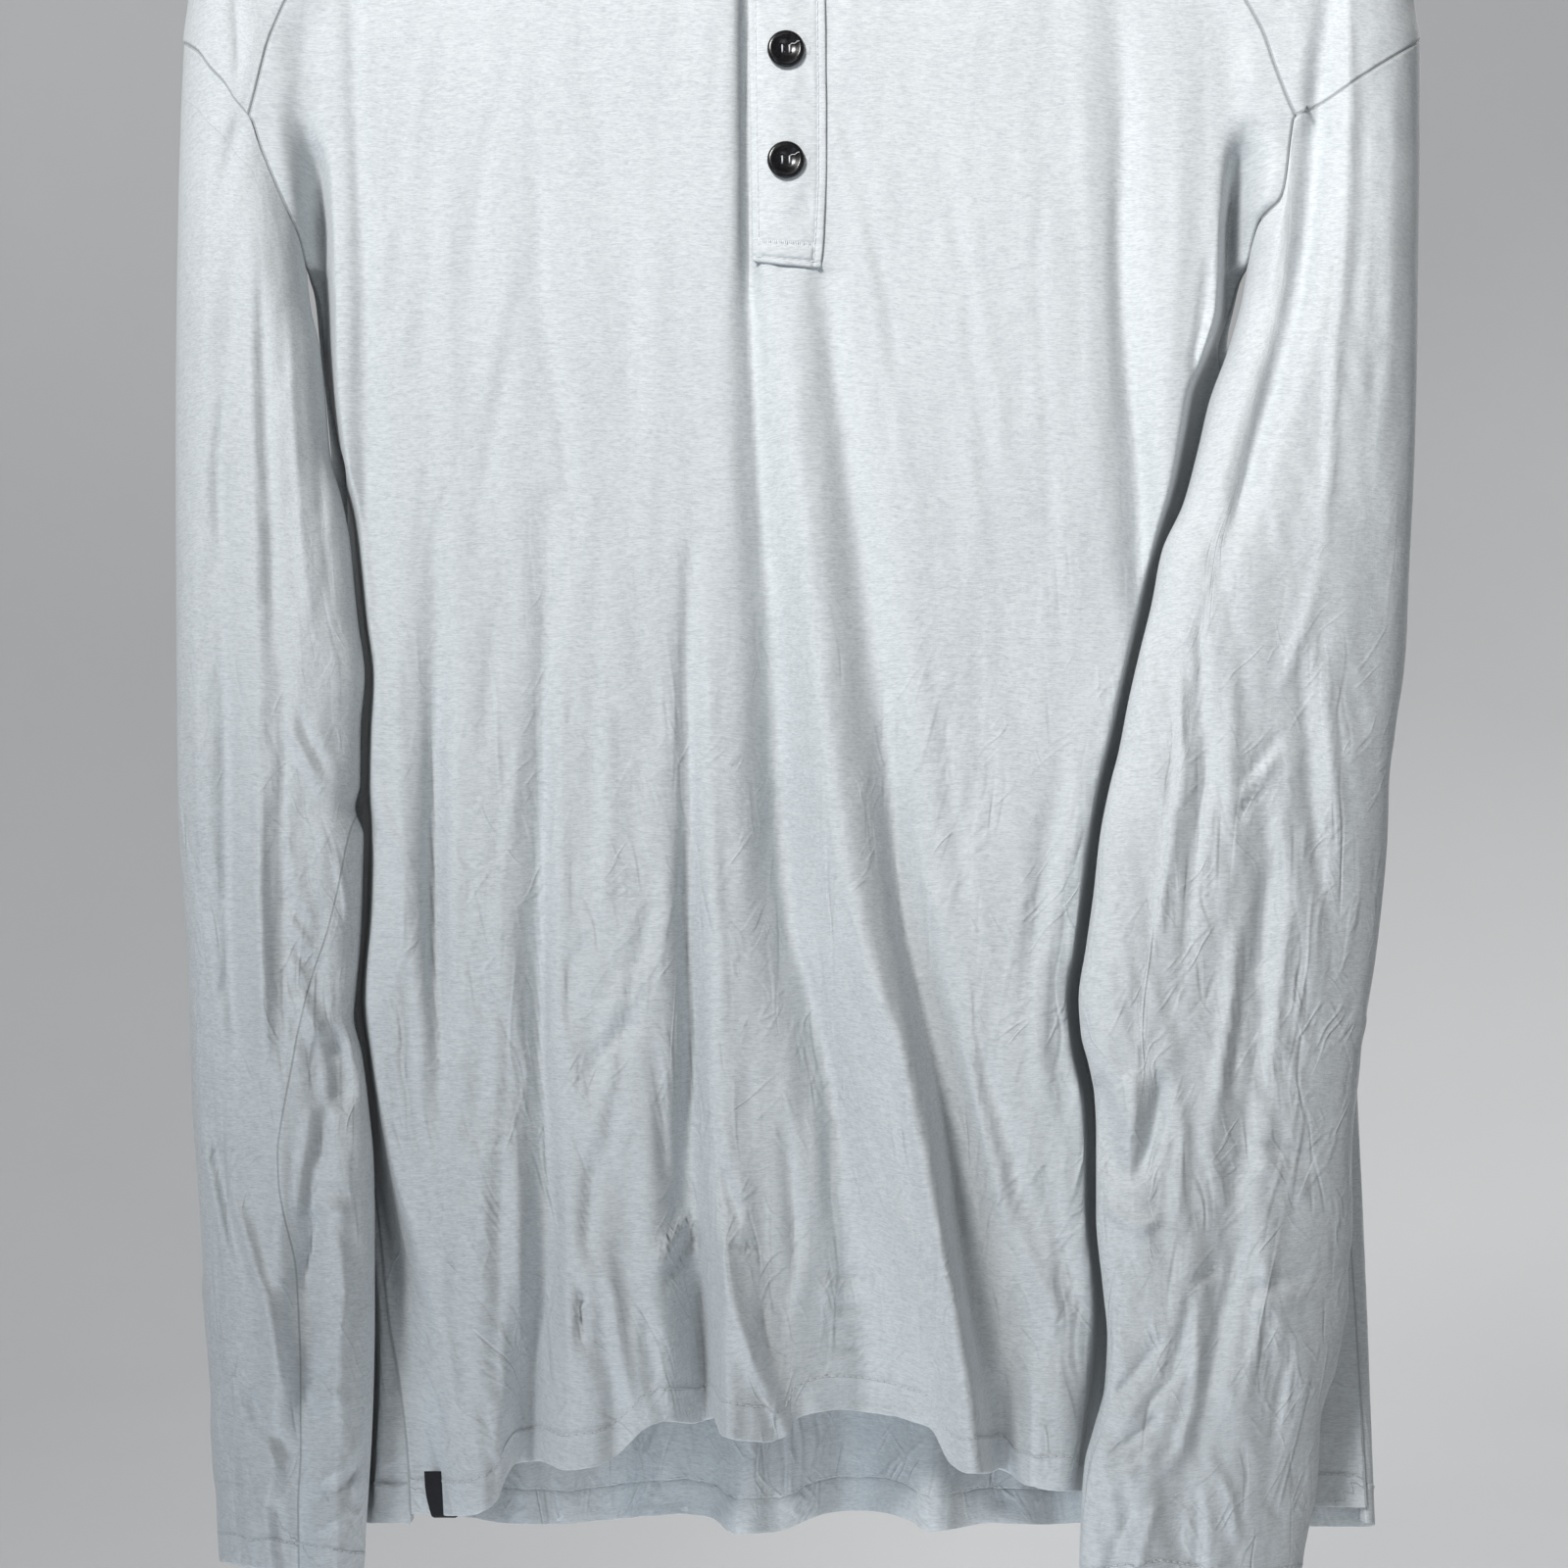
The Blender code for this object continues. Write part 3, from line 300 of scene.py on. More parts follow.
@dataclass(frozen=True)
class Relief:
    """All the folds of one face of a piece; growth says how they strengthen from a height to another."""

    creases: tuple[Crease, ...]
    ripples: tuple[Ripple | Crinkle, ...] = ()
    growth: tuple[float, ...] = (300.0, 1.0, -300.0, 1.0)
    limit: float = 8.5

    def rise(self, x: Array, z: Array) -> Array:
        """How far the face stands out at these places."""
        total = np.zeros(np.shape(x))
        for part in (*self.creases, *self.ripples):
            total = total + part.rise(x, z)
        heights, sizes = np.array(self.growth).reshape(-1, 2)[::-1].T
        total = total * np.interp(z, heights, sizes)
        return self.limit * np.tanh(total / self.limit)


@dataclass
class Cloth:
    """A sheet of cloth as a grid of points in true millimetres, with each point's place on the flat cut.

    place holds the distance across, the distance down and the distance from a drawn seam.
    """

    points: Array
    place: Array
    around: bool = False
    # A turned hem's free edge is sewn down to this share of its roll's radius.
    TUCK: ClassVar[float] = 0.5

    @classmethod
    def cut(cls, folded: Array, flat: Array, around: bool = False, seam: Array | None = None) -> "Cloth":
        """A sheet from its folded grid, with its cut taken from the grid without the folds, both as drawn."""
        sheet = cls.laid(true_place(folded), around, seam)
        sheet.place = cls.laid(true_place(flat), around, seam).place
        return sheet

    @classmethod
    def laid(cls, points: Array, around: bool = False, seam: Array | None = None) -> "Cloth":
        """A sheet from its grid of points.

        Args:
            points: The grid, row by row downwards, in true millimetres.
            around: Whether the last column joins the first.
            seam: The distance of each point from a drawn seam.

        Returns:
            The sheet. Its cut runs level across the grid and straight down.
        """
        across = np.linalg.norm(np.diff(points, axis=1), axis=2)
        across = np.concatenate([np.zeros((len(points), 1)), np.cumsum(across, axis=1)], axis=1)
        across -= across[:, [points.shape[1] // 2]]
        down = points[..., 2].max() - points[..., 2]
        if seam is None:
            seam = np.full(points.shape[:2], FAR_AWAY)
        return cls(points, np.stack([across, down, seam], axis=2), around)

    def normals(self) -> Array:
        """The directions out of the cloth's face."""
        p = self.points
        down = np.gradient(p, axis=0)
        if self.around:
            across = (np.roll(p, -1, axis=1) - np.roll(p, 1, axis=1)) / 2
        else:
            across = np.gradient(p, axis=1)
        return unit(np.cross(down, across))

    def from_sides(self) -> Array:
        """How far each point lies from the nearer side edge, along the cut."""
        across = self.place[..., 0]
        return np.minimum(np.abs(across - across[:, :1]), np.abs(across - across[:, -1:]))

    def _edge_last(self, grid: Array, edge: Edge) -> Array:
        """The grid turned so that this edge is its last row."""
        if edge in (Edge.FIRST, Edge.LAST):
            grid = grid.transpose(1, 0, 2)
        return grid[::-1] if edge in (Edge.TOP, Edge.FIRST) else grid

    def _edge_back(self, grid: Array, edge: Edge) -> Array:
        """Undoes _edge_last."""
        grid = grid[::-1] if edge in (Edge.TOP, Edge.FIRST) else grid
        return grid.transpose(1, 0, 2) if edge in (Edge.FIRST, Edge.LAST) else grid

    def inset(self, edge: Edge, distance: float) -> tuple[Array, Array]:
        """A line on the cloth that keeps a distance from one of its edges.

        Args:
            edge: The edge.
            distance: How far the line is from it.

        Returns:
            The line's points and the directions out of the cloth there.
        """
        points, normals = self._edge_last(self.points, edge), self._edge_last(self.normals(), edge)
        back = points[::-1]
        steps = np.linalg.norm(np.diff(back, axis=0), axis=2)
        along = np.concatenate([np.zeros((1, back.shape[1])), np.cumsum(steps, axis=0)])
        line, out = np.empty_like(points[0]), np.empty_like(points[0])
        for c in range(back.shape[1]):
            for k in range(3):
                line[c, k] = np.interp(distance, along[:, c], back[:, c, k])
                out[c, k] = np.interp(distance, along[:, c], normals[::-1][:, c, k])
        return line, unit(out)

    def marked(self, edge: Edge, distance: float) -> "Cloth":
        """The cloth with a stitched line marked on it, where the finish sinks a groove and paints its shade.

        Args:
            edge: The edge that the line runs beside.
            distance: How far the line is from it.

        Returns:
            The new sheet.
        """
        points, place = self._edge_last(self.points, edge), self._edge_last(self.place, edge).copy()
        steps = np.linalg.norm(np.diff(points[::-1], axis=0), axis=2)
        along = np.concatenate([np.zeros((1, points.shape[1])), np.cumsum(steps, axis=0)])[::-1]
        apart = np.clip(along - distance, -20, 20)
        nearer = np.abs(apart) < np.abs(place[..., 2])
        place[..., 2] = np.where(nearer, apart, place[..., 2])
        return Cloth(self.points, self._edge_back(place, edge), self.around)

    def _grown(self, rows: list[Array], lengths: list[float], edge: Edge) -> "Cloth":
        """The cloth with rows added past an edge."""
        points, place = self._edge_last(self.points, edge), self._edge_last(self.place, edge)
        added = []
        outward = unit(place[-1, :, :2] - place[-2, :, :2])
        for length in lengths:
            row = place[-1].copy()
            row[:, :2] += outward * length
            added.append(row)
        points = np.concatenate([points, np.array(rows)])
        place = np.concatenate([place, np.array(added)])
        return Cloth(self._edge_back(points, edge), self._edge_back(place, edge), self.around)

    def _rolled(self, edge: Edge, radius: float, degrees: Sequence[int]) -> tuple[list[Array], list[float]]:
        """Rows that roll inwards past an edge, and how far past it each one lies on the cut."""
        points, normals = self._edge_last(self.points, edge), self._edge_last(self.normals(), edge)
        rim, out = points[-1], normals[-1]
        away = points[-1] - points[-2]
        away = unit(away - (away * out).sum(-1, keepdims=True) * out)
        turns = np.radians(degrees)
        rows = [rim + away * radius * math.sin(turn) - out * radius * (1 - math.cos(turn)) for turn in turns]
        return rows, [radius * turn for turn in turns]

    def seamed(self, edge: Edge, radius: float = 0.5, allowance: float = 5.0) -> "Cloth":
        """The cloth with its edge turned in as a seam allowance.

        Args:
            edge: The edge.
            radius: The radius of the turn.
            allowance: How far the turned part stands inwards.

        Returns:
            The new sheet.
        """
        rows, lengths = self._rolled(edge, radius, (30, 60, 90))
        out = self._edge_last(self.normals(), edge)[-1]
        for share in (0.4, 1.0):
            rows.append(rows[2] - out * allowance * share)
            lengths.append(radius * math.pi / 2 + allowance * share)
        return self._grown(rows, lengths, edge)

    def hemmed(self, edge: Edge, depth: float, radius: float = 0.8, steps: int = 6) -> "Cloth":
        """The cloth with its edge turned up against its own inner side.

        Args:
            edge: The edge.
            depth: How far up the turned part reaches.
            radius: The radius of the fold.
            steps: The number of rows of the turned part.

        Returns:
            The new sheet.
        """
        rows, lengths = self._rolled(edge, radius, (30, 60, 90, 120, 150, 180))
        for distance in np.linspace(0, depth, steps + 1)[1:]:
            line, face = self.inset(edge, distance)
            rows.append(line - face * radius * (2.0 if distance < depth else self.TUCK))
            lengths.append(radius * math.pi + distance)
        grown = self._grown(rows, lengths, edge)
        place = grown._edge_last(grown.place, edge)
        place[-steps:, :, 2] += np.linspace(0, depth, steps + 1)[1:, None]
        return grown

    def mesh(self, name: str, skip: Callable[[int, int], bool] | None = None) -> bpy.types.Mesh:
        """The sheet as a mesh that carries each point's place on the flat cut.

        Args:
            name: The mesh's name.
            skip: Tells which faces to leave out, by row and column.

        Returns:
            The mesh, in metres.
        """
        rows, columns = self.points.shape[:2]
        wide = columns if self.around else columns - 1
        r, c = np.meshgrid(np.arange(rows - 1), np.arange(wide), indexing="ij")
        r, c = r.ravel(), c.ravel()
        if skip is not None:
            keep = np.array([not skip(i, j) for i, j in zip(r, c)])
            r, c = r[keep], c[keep]
        d = (c + 1) % columns
        above, below = r * columns, (r + 1) * columns
        faces = np.stack([above + c, below + c, below + d, above + d], axis=1)
        mesh = bpy.data.meshes.new(name)
        mesh.from_pydata(metres(self.points), [], faces.tolist())
        mesh.shade_smooth()
        cut = mesh.attributes.new("cut_place", "FLOAT_VECTOR", "POINT")
        cut.data.foreach_set("vector", self.place.reshape(-1).astype(np.float32))
        return mesh

    def area(self) -> float:
        """The sheet's area in square metres."""
        p = np.concatenate([self.points, self.points[:, :1]], axis=1) if self.around else self.points
        first, second = p[1:, 1:] - p[:-1, :-1], p[1:, :-1] - p[:-1, 1:]
        return float(np.linalg.norm(np.cross(first, second), axis=2).sum() / 2 * MM**2)


def metres(points: Array) -> list[list[float]]:
    """Points in millimetres as metres below the hook."""
    points = np.array(points, float).reshape(-1, 3)
    points[:, 2] -= MID_DROP
    return (points * MM).tolist()


def in_scene(name: str, data: bpy.types.ID) -> bpy.types.Object:
    """A new object in the scene with this data."""
    thing = bpy.data.objects.new(name, data)
    bpy.context.scene.collection.objects.link(thing)
    return thing


def ring_faces(rings: int, sides: int, start: int = 0) -> list[tuple[int, ...]]:
    """The faces between rings of points that follow one another from a first point."""
    faces = []
    for base in range(start, start + (rings - 1) * sides, sides):
        for k in range(sides):
            a, b = base + k, base + (k + 1) % sides
            faces.append((a, b, b + sides, a + sides))
    return faces


def rod_faces(rings: int, sides: int, start: int = 0) -> list[tuple[int, ...]]:
    """The faces of a rod of rings, with both of its ends closed."""
    last = start + (rings - 1) * sides
    ends = [tuple(range(start, start + sides))[::-1], tuple(range(last, last + sides))]
    return ring_faces(rings, sides, start) + ends


def shown(name: str, mesh: bpy.types.Mesh, material: bpy.types.Material, node: str) -> bpy.types.Object:
    """Puts a mesh in the scene as the piece that stands for a CAD node.

    Args:
        name: The piece's name.
        mesh: Its mesh.
        material: Its finish.
        node: The CAD node that it replaces, or nothing.

    Returns:
        The piece.
    """
    piece = in_scene(name, mesh)
    mesh.materials.append(material)
    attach(piece, "root")
    if node:
        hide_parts(node)
    return piece


def thickened(piece: bpy.types.Object, thickness: float) -> None:
    """Makes a sheet a wall, grown on the side that its faces hide."""
    wall = piece.modifiers.new("cloth_thickness", "SOLIDIFY")
    wall.thickness = thickness * MM
    wall.offset = -1.0
    wall.use_even_offset = False


# The pattern: where the shirt's seams and edges run, shared by the pieces that meet there.
JUNCTION = 248.0
UNDERARM = 190.0
HEM_LEVEL = -274.0
NECK_TOP = {"front": 392.0, "back": 430.0}
SEAM_GAP = 0.5

RAGLAN_FRONT = {
    Side.LEFT: table("z x y", [
        (392, -74, -27), (370, -112, -30), (350, -139, -33), (330, -160, -35), (310, -175, -36),
        (291, -184.5, -38), (282.5, -188.4, -39), (275, -191.3, -40), (266, -193.7, -41),
        (257, -195.9, -41.8), (248, -198.3, -42.3),
    ]),
    Side.RIGHT: table("z x y", [
        (392, 74, -27), (370, 103, -30), (350, 125, -33), (330, 144, -35), (310, 159, -36), (291, 170.8, -37),
        (279, 177.4, -37.6), (267, 181.6, -38.6), (254, 186.6, -39.8), (248, 189.3, -40.1),
    ]),
}
RAGLAN_BACK = {
    Side.LEFT: table("z x y", [
        (430, -66, 14), (400, -100, 18), (370, -135, 21), (340, -163, 23), (310, -182, 25),
        (280, -193, 26), (262, -196.5, 26), (248, -198.3, 25.7),
    ]),
    Side.RIGHT: table("z x y", [
        (430, 66, 14), (400, 98, 18), (370, 130, 21), (340, 156, 23), (310, 173, 25), (280, 183.5, 25),
        (262, 187.5, 24.3), (248, 189.3, 23.7),
    ]),
}
SIDE_SEAM = {
    Side.LEFT: table("z x y", [
        (190, -176.5, -13), (186, -175, -9), (180, -172.5, -7), (160, -170.5, -6), (145, -168.5, -5),
        (130, -166, -3), (115, -162.5, 0), (100, -162, 2), (80, -166, 4), (50, -171, 4), (0, -172, 3),
        (-60, -166, 0), (-120, -158, -5), (-150, -152, -16), (-175, -149, -28), (-200, -146.5, -38),
        (-225, -142.5, -43), (-253, -139.5, -46), (-274, -138.5, -46),
    ]),
    Side.RIGHT: table("z x y", [
        (190, 171, -13), (186, 168.5, -9), (175, 165.5, -6), (160, 161, -3), (150, 163, 0),
        (125, 170, 2), (100, 178, 3), (50, 190, 2), (0, 197, 2), (-100, 205, 0), (-200, 212, -4),
        (-274, 216, -8),
    ]),
}
# The seam at a sleeve's top: its height by place across the sleeve, -1 outside to 1 inside.
SLEEVE_SEAM = {
    Side.LEFT: table("across z", [
        (-1, 275), (-0.75, 272), (-0.48, 265.5), (-0.22, 260.5), (0, 254), (0.25, 248), (0.42, 238),
        (0.58, 228), (0.7, 220), (0.8, 213), (0.93, 202), (1, 190),
    ]),
    Side.RIGHT: table("across z", [
        (-1, 276), (-0.93, 274.5), (-0.5, 266.5), (-0.12, 259), (0.3, 250.5), (0.5, 248), (0.535, 242),
        (0.61, 222), (0.66, 217), (0.77, 213.5), (0.9, 208.5), (0.97, 200), (1, 190),
    ]),
}
SLEEVE_OUTER = {
    Side.LEFT: table("z x", [
        (310, -220.5), (291, -221), (275, -222.5), (240, -224), (180, -225.3), (120, -225.7), (60, -225.5),
        (0, -225), (-40, -223), (-60, -221.5), (-80, -220.6), (-100, -220), (-120, -219.3), (-140, -218.2),
        (-160, -216.9), (-180, -215.6), (-200, -214.5), (-220, -213.2), (-240, -212), (-260, -211),
        (-280, -210.2), (-300, -208.5),
    ]),
    Side.RIGHT: table("z x", [
        (310, 235), (291, 234.5), (275, 236), (240, 236), (200, 235.5), (160, 235), (120, 234), (80, 232),
        (40, 229), (0, 225), (-40, 221.2), (-80, 217.8), (-100, 215.6), (-120, 213.4), (-140, 211.9),
        (-160, 210.3), (-180, 208.1), (-200, 206.3), (-220, 203.5), (-229, 201.6), (-240, 199.2), (-259, 196),
        (-280, 194.1), (-305, 193),
    ]),
}
SLEEVE_INNER = {
    Side.LEFT: table("z x", [
        (310, -183), (240, -183), (220, -181), (205, -178.5), (190, -177), (179, -175.9), (160, -172),
        (142, -170), (123, -168.4), (104, -163.7), (90, -161), (80, -160), (60, -158), (40, -155.5),
        (20, -157), (0, -157.2), (-9, -159.1), (-19, -155.9), (-40, -156.3), (-60, -157.2), (-80, -159.1),
        (-86, -159.6), (-100, -156.6), (-120, -154), (-140, -152.2), (-160, -151.8), (-200, -151.8),
        (-224, -152.2), (-242, -152.9), (-261, -154), (-280, -155.2), (-300, -156),
    ]),
    Side.RIGHT: table("z x", [
        (310, 174), (240, 174), (216, 173.6), (205, 173), (190, 171.5), (179, 169.6), (160, 164.3),
        (142, 157.8), (123, 153.3), (104, 148.1), (86, 140.1), (67, 136.4), (48, 131.7), (30, 127.6),
        (11, 123.9), (0, 121), (-20, 117.1), (-40, 114.9), (-60, 112.1), (-80, 109.3), (-93, 110.2),
        (-104, 113), (-116, 115.2), (-130, 115.8), (-160, 115.8), (-186, 118.2), (-205, 119.9), (-223, 119),
        (-239, 114.9), (-252, 111.5), (-270, 110.2), (-290, 109.6), (-305, 109.6),
    ]),
}
SLEEVE_DEPTH = {
    Side.LEFT: table("z front back lean", [
        (310, -41, 27, 0), (240, -43, 26, 0), (220, -46, 24, 0), (200, -49, 21, 0), (180, -51, 17, 0),
        (160, -53, 13, 0), (130, -56, 7, -0.03), (100, -58, 2, -0.05), (60, -61, -3, -0.08),
        (30, -63, -5, -0.1), (-60, -66, -7, -0.12), (-100, -67, -7, -0.16), (-140, -68, -8, -0.2),
        (-200, -69, -8, -0.24), (-240, -69, -8, -0.24), (-300, -67, -8, -0.24),
    ]),
    Side.RIGHT: table("z front back lean", [
        (310, -41, 27, 0), (240, -43, 26, 0), (220, -47, 23, 0), (203, -50, 20, 0), (190, -51, 17, 0),
        (175, -53, 12, 0.01), (160, -55, 7, 0.03), (125, -58, -3, 0.08), (85, -61, -11, 0.14),
        (60, -62, -14, 0.17), (30, -63, -16, 0.2), (0, -65, -19, 0.24), (-40, -66, -21, 0.28),
        (-85, -68, -24, 0.32), (-130, -69, -25, 0.34), (-200, -69, -26, 0.35), (-225, -69, -26, 0.35),
        (-250, -68, -27, 0.35), (-305, -66, -27, 0.35),
    ]),
}
CUFF_EDGE = {
    Side.LEFT: table("across z", [(-1, -288), (0, -292), (1, -296)]),
    Side.RIGHT: table("across z", [(-1, -300), (-0.4, -303), (0.3, -299), (1, -303)]),
}
FRONT_HEM = table("x z", [
    (-154, -273), (-133, -270), (-124.7, -271), (-118, -271), (-110.8, -269), (-106, -265), (-103, -257),
    (-99, -251.5), (-91, -250.6), (-87, -252), (-82, -254), (-71, -253), (-63.5, -249.6), (-56, -242.7),
    (-51.5, -238.5), (-44, -236), (-33, -236.6), (-26.5, -234.5), (-23.5, -241.2), (-15.5, -243),
    (-6, -243.6), (1.6, -241.4), (3.8, -235.5), (10.6, -233), (22, -231.5), (36.7, -233), (47, -236),
    (54, -238.6), (61.7, -252), (68, -255.3), (77.4, -254.8), (80, -253.4), (89, -259.5), (99, -261.6),
    (110, -262), (150, -266), (216, -268),
])
BACK_HEM = table("x z", [
    (-200, -270), (-149, -270.8), (-138, -269.6), (-118, -271.4), (-104, -273.7), (-90, -274.2),
    (-60, -272), (-36, -270.4), (-26, -272), (-18.6, -277.8), (-5, -277.2), (5.4, -273.6), (15.8, -270),
    (26, -269), (38.8, -270), (47, -273), (54.4, -277), (63.8, -275.6), (76, -273.6), (94, -274.3),
    (110, -273.6), (150, -274), (206, -275),
])
NECKLINE_DROP = table("share z", [
    (0, 392), (0.12, 367), (0.28, 346), (0.5, 336), (0.72, 346), (0.88, 367), (1, 392),
])
BACK_NECKLINE = table("share z", [(0, 430), (0.25, 427.5), (0.5, 427), (0.75, 427.5), (1, 430)])
FRONT_STAND = table("z y", [
    (-300, -58), (-200, -57), (-100, -55), (0, -52), (100, -48), (200, -44), (250, -41), (290, -39),
    (330, -35), (380, -29), (400, -26),
])
BACK_STAND = table("z y", [
    (-300, 16), (-150, 21), (-50, 25), (50, 28), (150, 30), (250, 28), (330, 24), (392, 18), (430, 14),
])
# Where the front rolls back beside each sleeve, half the roll's width, and the hollow's floor above the
# underarm.
GUTTER = {
    Side.LEFT: table("z x half floor", [
        (275, -182.3, 9, -40), (262, -180, 8, -40.5), (250, -176, 6, -37), (240, -173, 4.5, -32),
        (228, -170.5, 3, -24), (216, -169.5, 2.4, -17), (205, -168.8, 2.2, -13), (190, -168.5, 2.2, -12.5),
        (170, -168, 2.2, -8), (150, -167.5, 2.2, 0), (132, -166, 2.4, 0), (115, -163.6, 2.6, 0),
        (100, -160, 2.6, 0), (80, -157.8, 2.5, 0), (60, -155.8, 2.4, 0), (40, -153.5, 2.4, 0),
        (20, -154.6, 2.4, 0), (0, -155, 2.4, 0), (-19, -153.9, 2.4, 0), (-40, -154.2, 2.4, 0),
        (-80, -156.8, 2.4, 0), (-100, -154.4, 2.4, 0), (-120, -151.8, 2.6, 0), (-140, -149, 4, 0),
        (-175, -141, 7, 0), (-200, -136, 9, 0), (-225, -131, 10, 0), (-253, -127, 11, 0),
        (-274, -126, 11.5, 0),
    ]),
    Side.RIGHT: table("z x half floor", [
        (275, 169.7, 9, -38), (262, 169, 8, -39), (250, 168, 6, -38.5), (240, 166.5, 4.5, -34),
        (230, 165, 3, -26), (218, 164, 2.4, -18), (205, 163, 2.2, -13), (190, 162.6, 2.2, -12.5),
        (176, 162, 2.4, -9), (166, 160, 3, 0), (155, 156, 3, 0), (145, 152, 3.5, 0), (130, 149.5, 3.4, 0),
        (110, 145.5, 3, 0), (95, 141, 3, 0), (80, 137, 2.8, 0), (60, 132.4, 2.8, 0), (40, 127.6, 2.8, 0),
        (20, 123.4, 2.8, 0), (0, 118.6, 2.8, 0), (-20, 115, 2.8, 0), (-40, 112.4, 2.8, 0),
        (-60, 109.8, 2.8, 0), (-80, 107, 2.8, 0), (-100, 108.8, 2.8, 0), (-120, 112.6, 2.8, 0),
        (-140, 113.6, 2.8, 0), (-160, 113.8, 2.8, 0), (-200, 117, 3, 0), (-240, 113.5, 3, 0),
        (-274, 110, 3, 0),
    ]),
}
# Where the front comes forward again to the armhole seam, above the underarm.
LIP = {
    Side.LEFT: table("z x half", [
        (275, -188, 4), (262, -186.5, 5), (250, -184, 6), (240, -181.5, 6.5), (228, -179, 7),
        (216, -177, 6.5), (205, -175.5, 5.5), (190, -173.2, 3.5),
    ]),
    Side.RIGHT: table("z x half", [
        (275, 175, 4), (262, 176, 5.5), (250, 177.5, 7), (240, 176.5, 8), (228, 175, 8.5), (218, 173, 8),
        (208, 169.5, 5.5), (198, 168, 4.5), (190, 166.5, 3.5),
    ]),
}
BACK_REACH = {
    Side.LEFT: table("z x", [
        (-274, -200), (-100, -201), (0, -195), (40, -187), (85, -176), (125, -168), (165, -171), (190, -174),
        (215, -181), (248, -190),
    ]),
    Side.RIGHT: table("z x", [
        (-274, 219), (-100, 213), (0, 206), (85, 190), (125, 180), (165, 164), (190, 168), (215, 174),
        (248, 181),
    ]),
}
CREST = {
    Side.LEFT: table("share x z y", [
        (0, -78, 436, 0), (0.2, -112, 421, 0), (0.4, -150, 402, 0), (0.55, -180, 385, 0),
        (0.68, -201, 368, -1), (0.8, -214.5, 345, -4), (0.9, -219.5, 314, -8), (1, -222.5, 275, -10.5),
    ]),
    Side.RIGHT: table("share x z y", [
        (0, 78, 436, 0), (0.2, 112, 421, 0), (0.4, 150, 402, 0), (0.55, 180, 385, 0), (0.68, 205, 368, -1),
        (0.8, 222, 345, -4), (0.9, 231, 314, -8), (1, 236, 276, -10.5),
    ]),
}
PANEL_END = {Side.LEFT: 0.25, Side.RIGHT: 0.5}

FOLD = "z x depth left right"
# The broad folds of the front: where each ridge or valley runs, its depth and its two slopes' widths.
FRONT_FOLDS = [
    table(FOLD, [  # the gutter left of the placket, which opens into the long slanting valley
        (300, -13.4, -8, 3.2, 3.5), (200, -13.2, -8, 3.2, 3.5), (170, -12, -7, 5, 5), (120, -9.5, -9, 7, 7),
        (60, -5, -14, 9, 9), (-20, -1, -18, 10, 11), (-60, 4, -14, 11, 11), (-110, 16, -12, 12, 10),
        (-170, 26, -9, 12, 11), (-230, 38, -2, 12, 12),
    ]),
    table(FOLD, [  # the ridge from the placket's foot to the right-hand pleat
        (190, 4, 1, 9, 9), (150, 6, 3, 9, 9), (60, 13, 6, 9, 10), (-20, 22, 8, 9, 10), (-60, 31, 10, 10, 10),
        (-100, 45, 12, 12, 9), (-160, 56, 15, 13, 7), (-230, 70, 19, 13, 6), (-275, 74, 20, 12, 6),
    ]),
    table(FOLD, [  # the valley right of that ridge
        (190, 14, -2, 5, 5), (110, 24, -6, 7, 8), (40, 35, -8, 8, 8), (-40, 44, -11, 6, 8),
        (-120, 60, -12, 5, 9), (-200, 72, -12, 5, 9), (-275, 81, -14, 4, 8),
    ]),
    table(FOLD, [  # the valley beside the right-hand strip
        (300, 122, -2, 8, 8), (200, 126, -6, 7, 7), (130, 130, -10, 8, 7), (90, 133, -12, 8, 6),
        (60, 133, -6, 7, 6), (40, 130, 0, 6, 5),
    ]),
    table(FOLD, [  # the valley beside the left-hand strip
        (300, -161, -1.5, 3, 3), (200, -157, -2.5, 3, 5), (140, -156, -4.5, 4, 7), (95, -154, -6, 5, 8),
        (60, -150, -3, 5, 7), (30, -148, 0, 5, 7),
    ]),
    table(FOLD, [
        (110, -129, 0, 5, 5), (30, -129, -6, 5, 5), (-40, -130, -8, 5, 5), (-110, -128, -2, 5, 5),
        (-160, -128, 0, 5, 5),
    ]),
    table(FOLD, [
        (110, -87, -1.5, 6, 6), (20, -90, -4, 7, 6), (-90, -91, -8, 8, 5), (-165, -88, -9, 9, 6),
        (-235, -95, -15, 6, 6), (-275, -96, -17, 5, 6),
    ]),
    table(FOLD, [
        (90, -35, -1, 3, 3), (0, -36, -7, 5, 5), (-90, -34, -11, 6, 5), (-150, -34, -13, 9, 5),
        (-210, -30, -16, 9, 3.5), (-275, -30, -18, 9, 3.5),
    ]),
    table(FOLD, [  # the pleat in the middle of the hem
        (-120, -22, 0, 3.5, 10), (-180, -20.5, 8, 4, 12), (-240, -20, 15, 4.5, 15), (-275, -20, 17, 5, 16),
    ]),
    table(FOLD, [(-150, 22, 0, 14, 14), (-200, 26, -5, 15, 15), (-275, 30, -13, 17, 16)]),
    table(FOLD, [(-110, -112, 0, 10, 9), (-180, -114, 3, 11, 10), (-275, -114, 5, 12, 9)]),
    table(FOLD, [(-150, -74, 0, 8, 9), (-275, -74, 8, 8, 11)]),
    table(FOLD, [(-180, 98, 0, 9, 10), (-275, 98, 7, 9, 10)]),
]
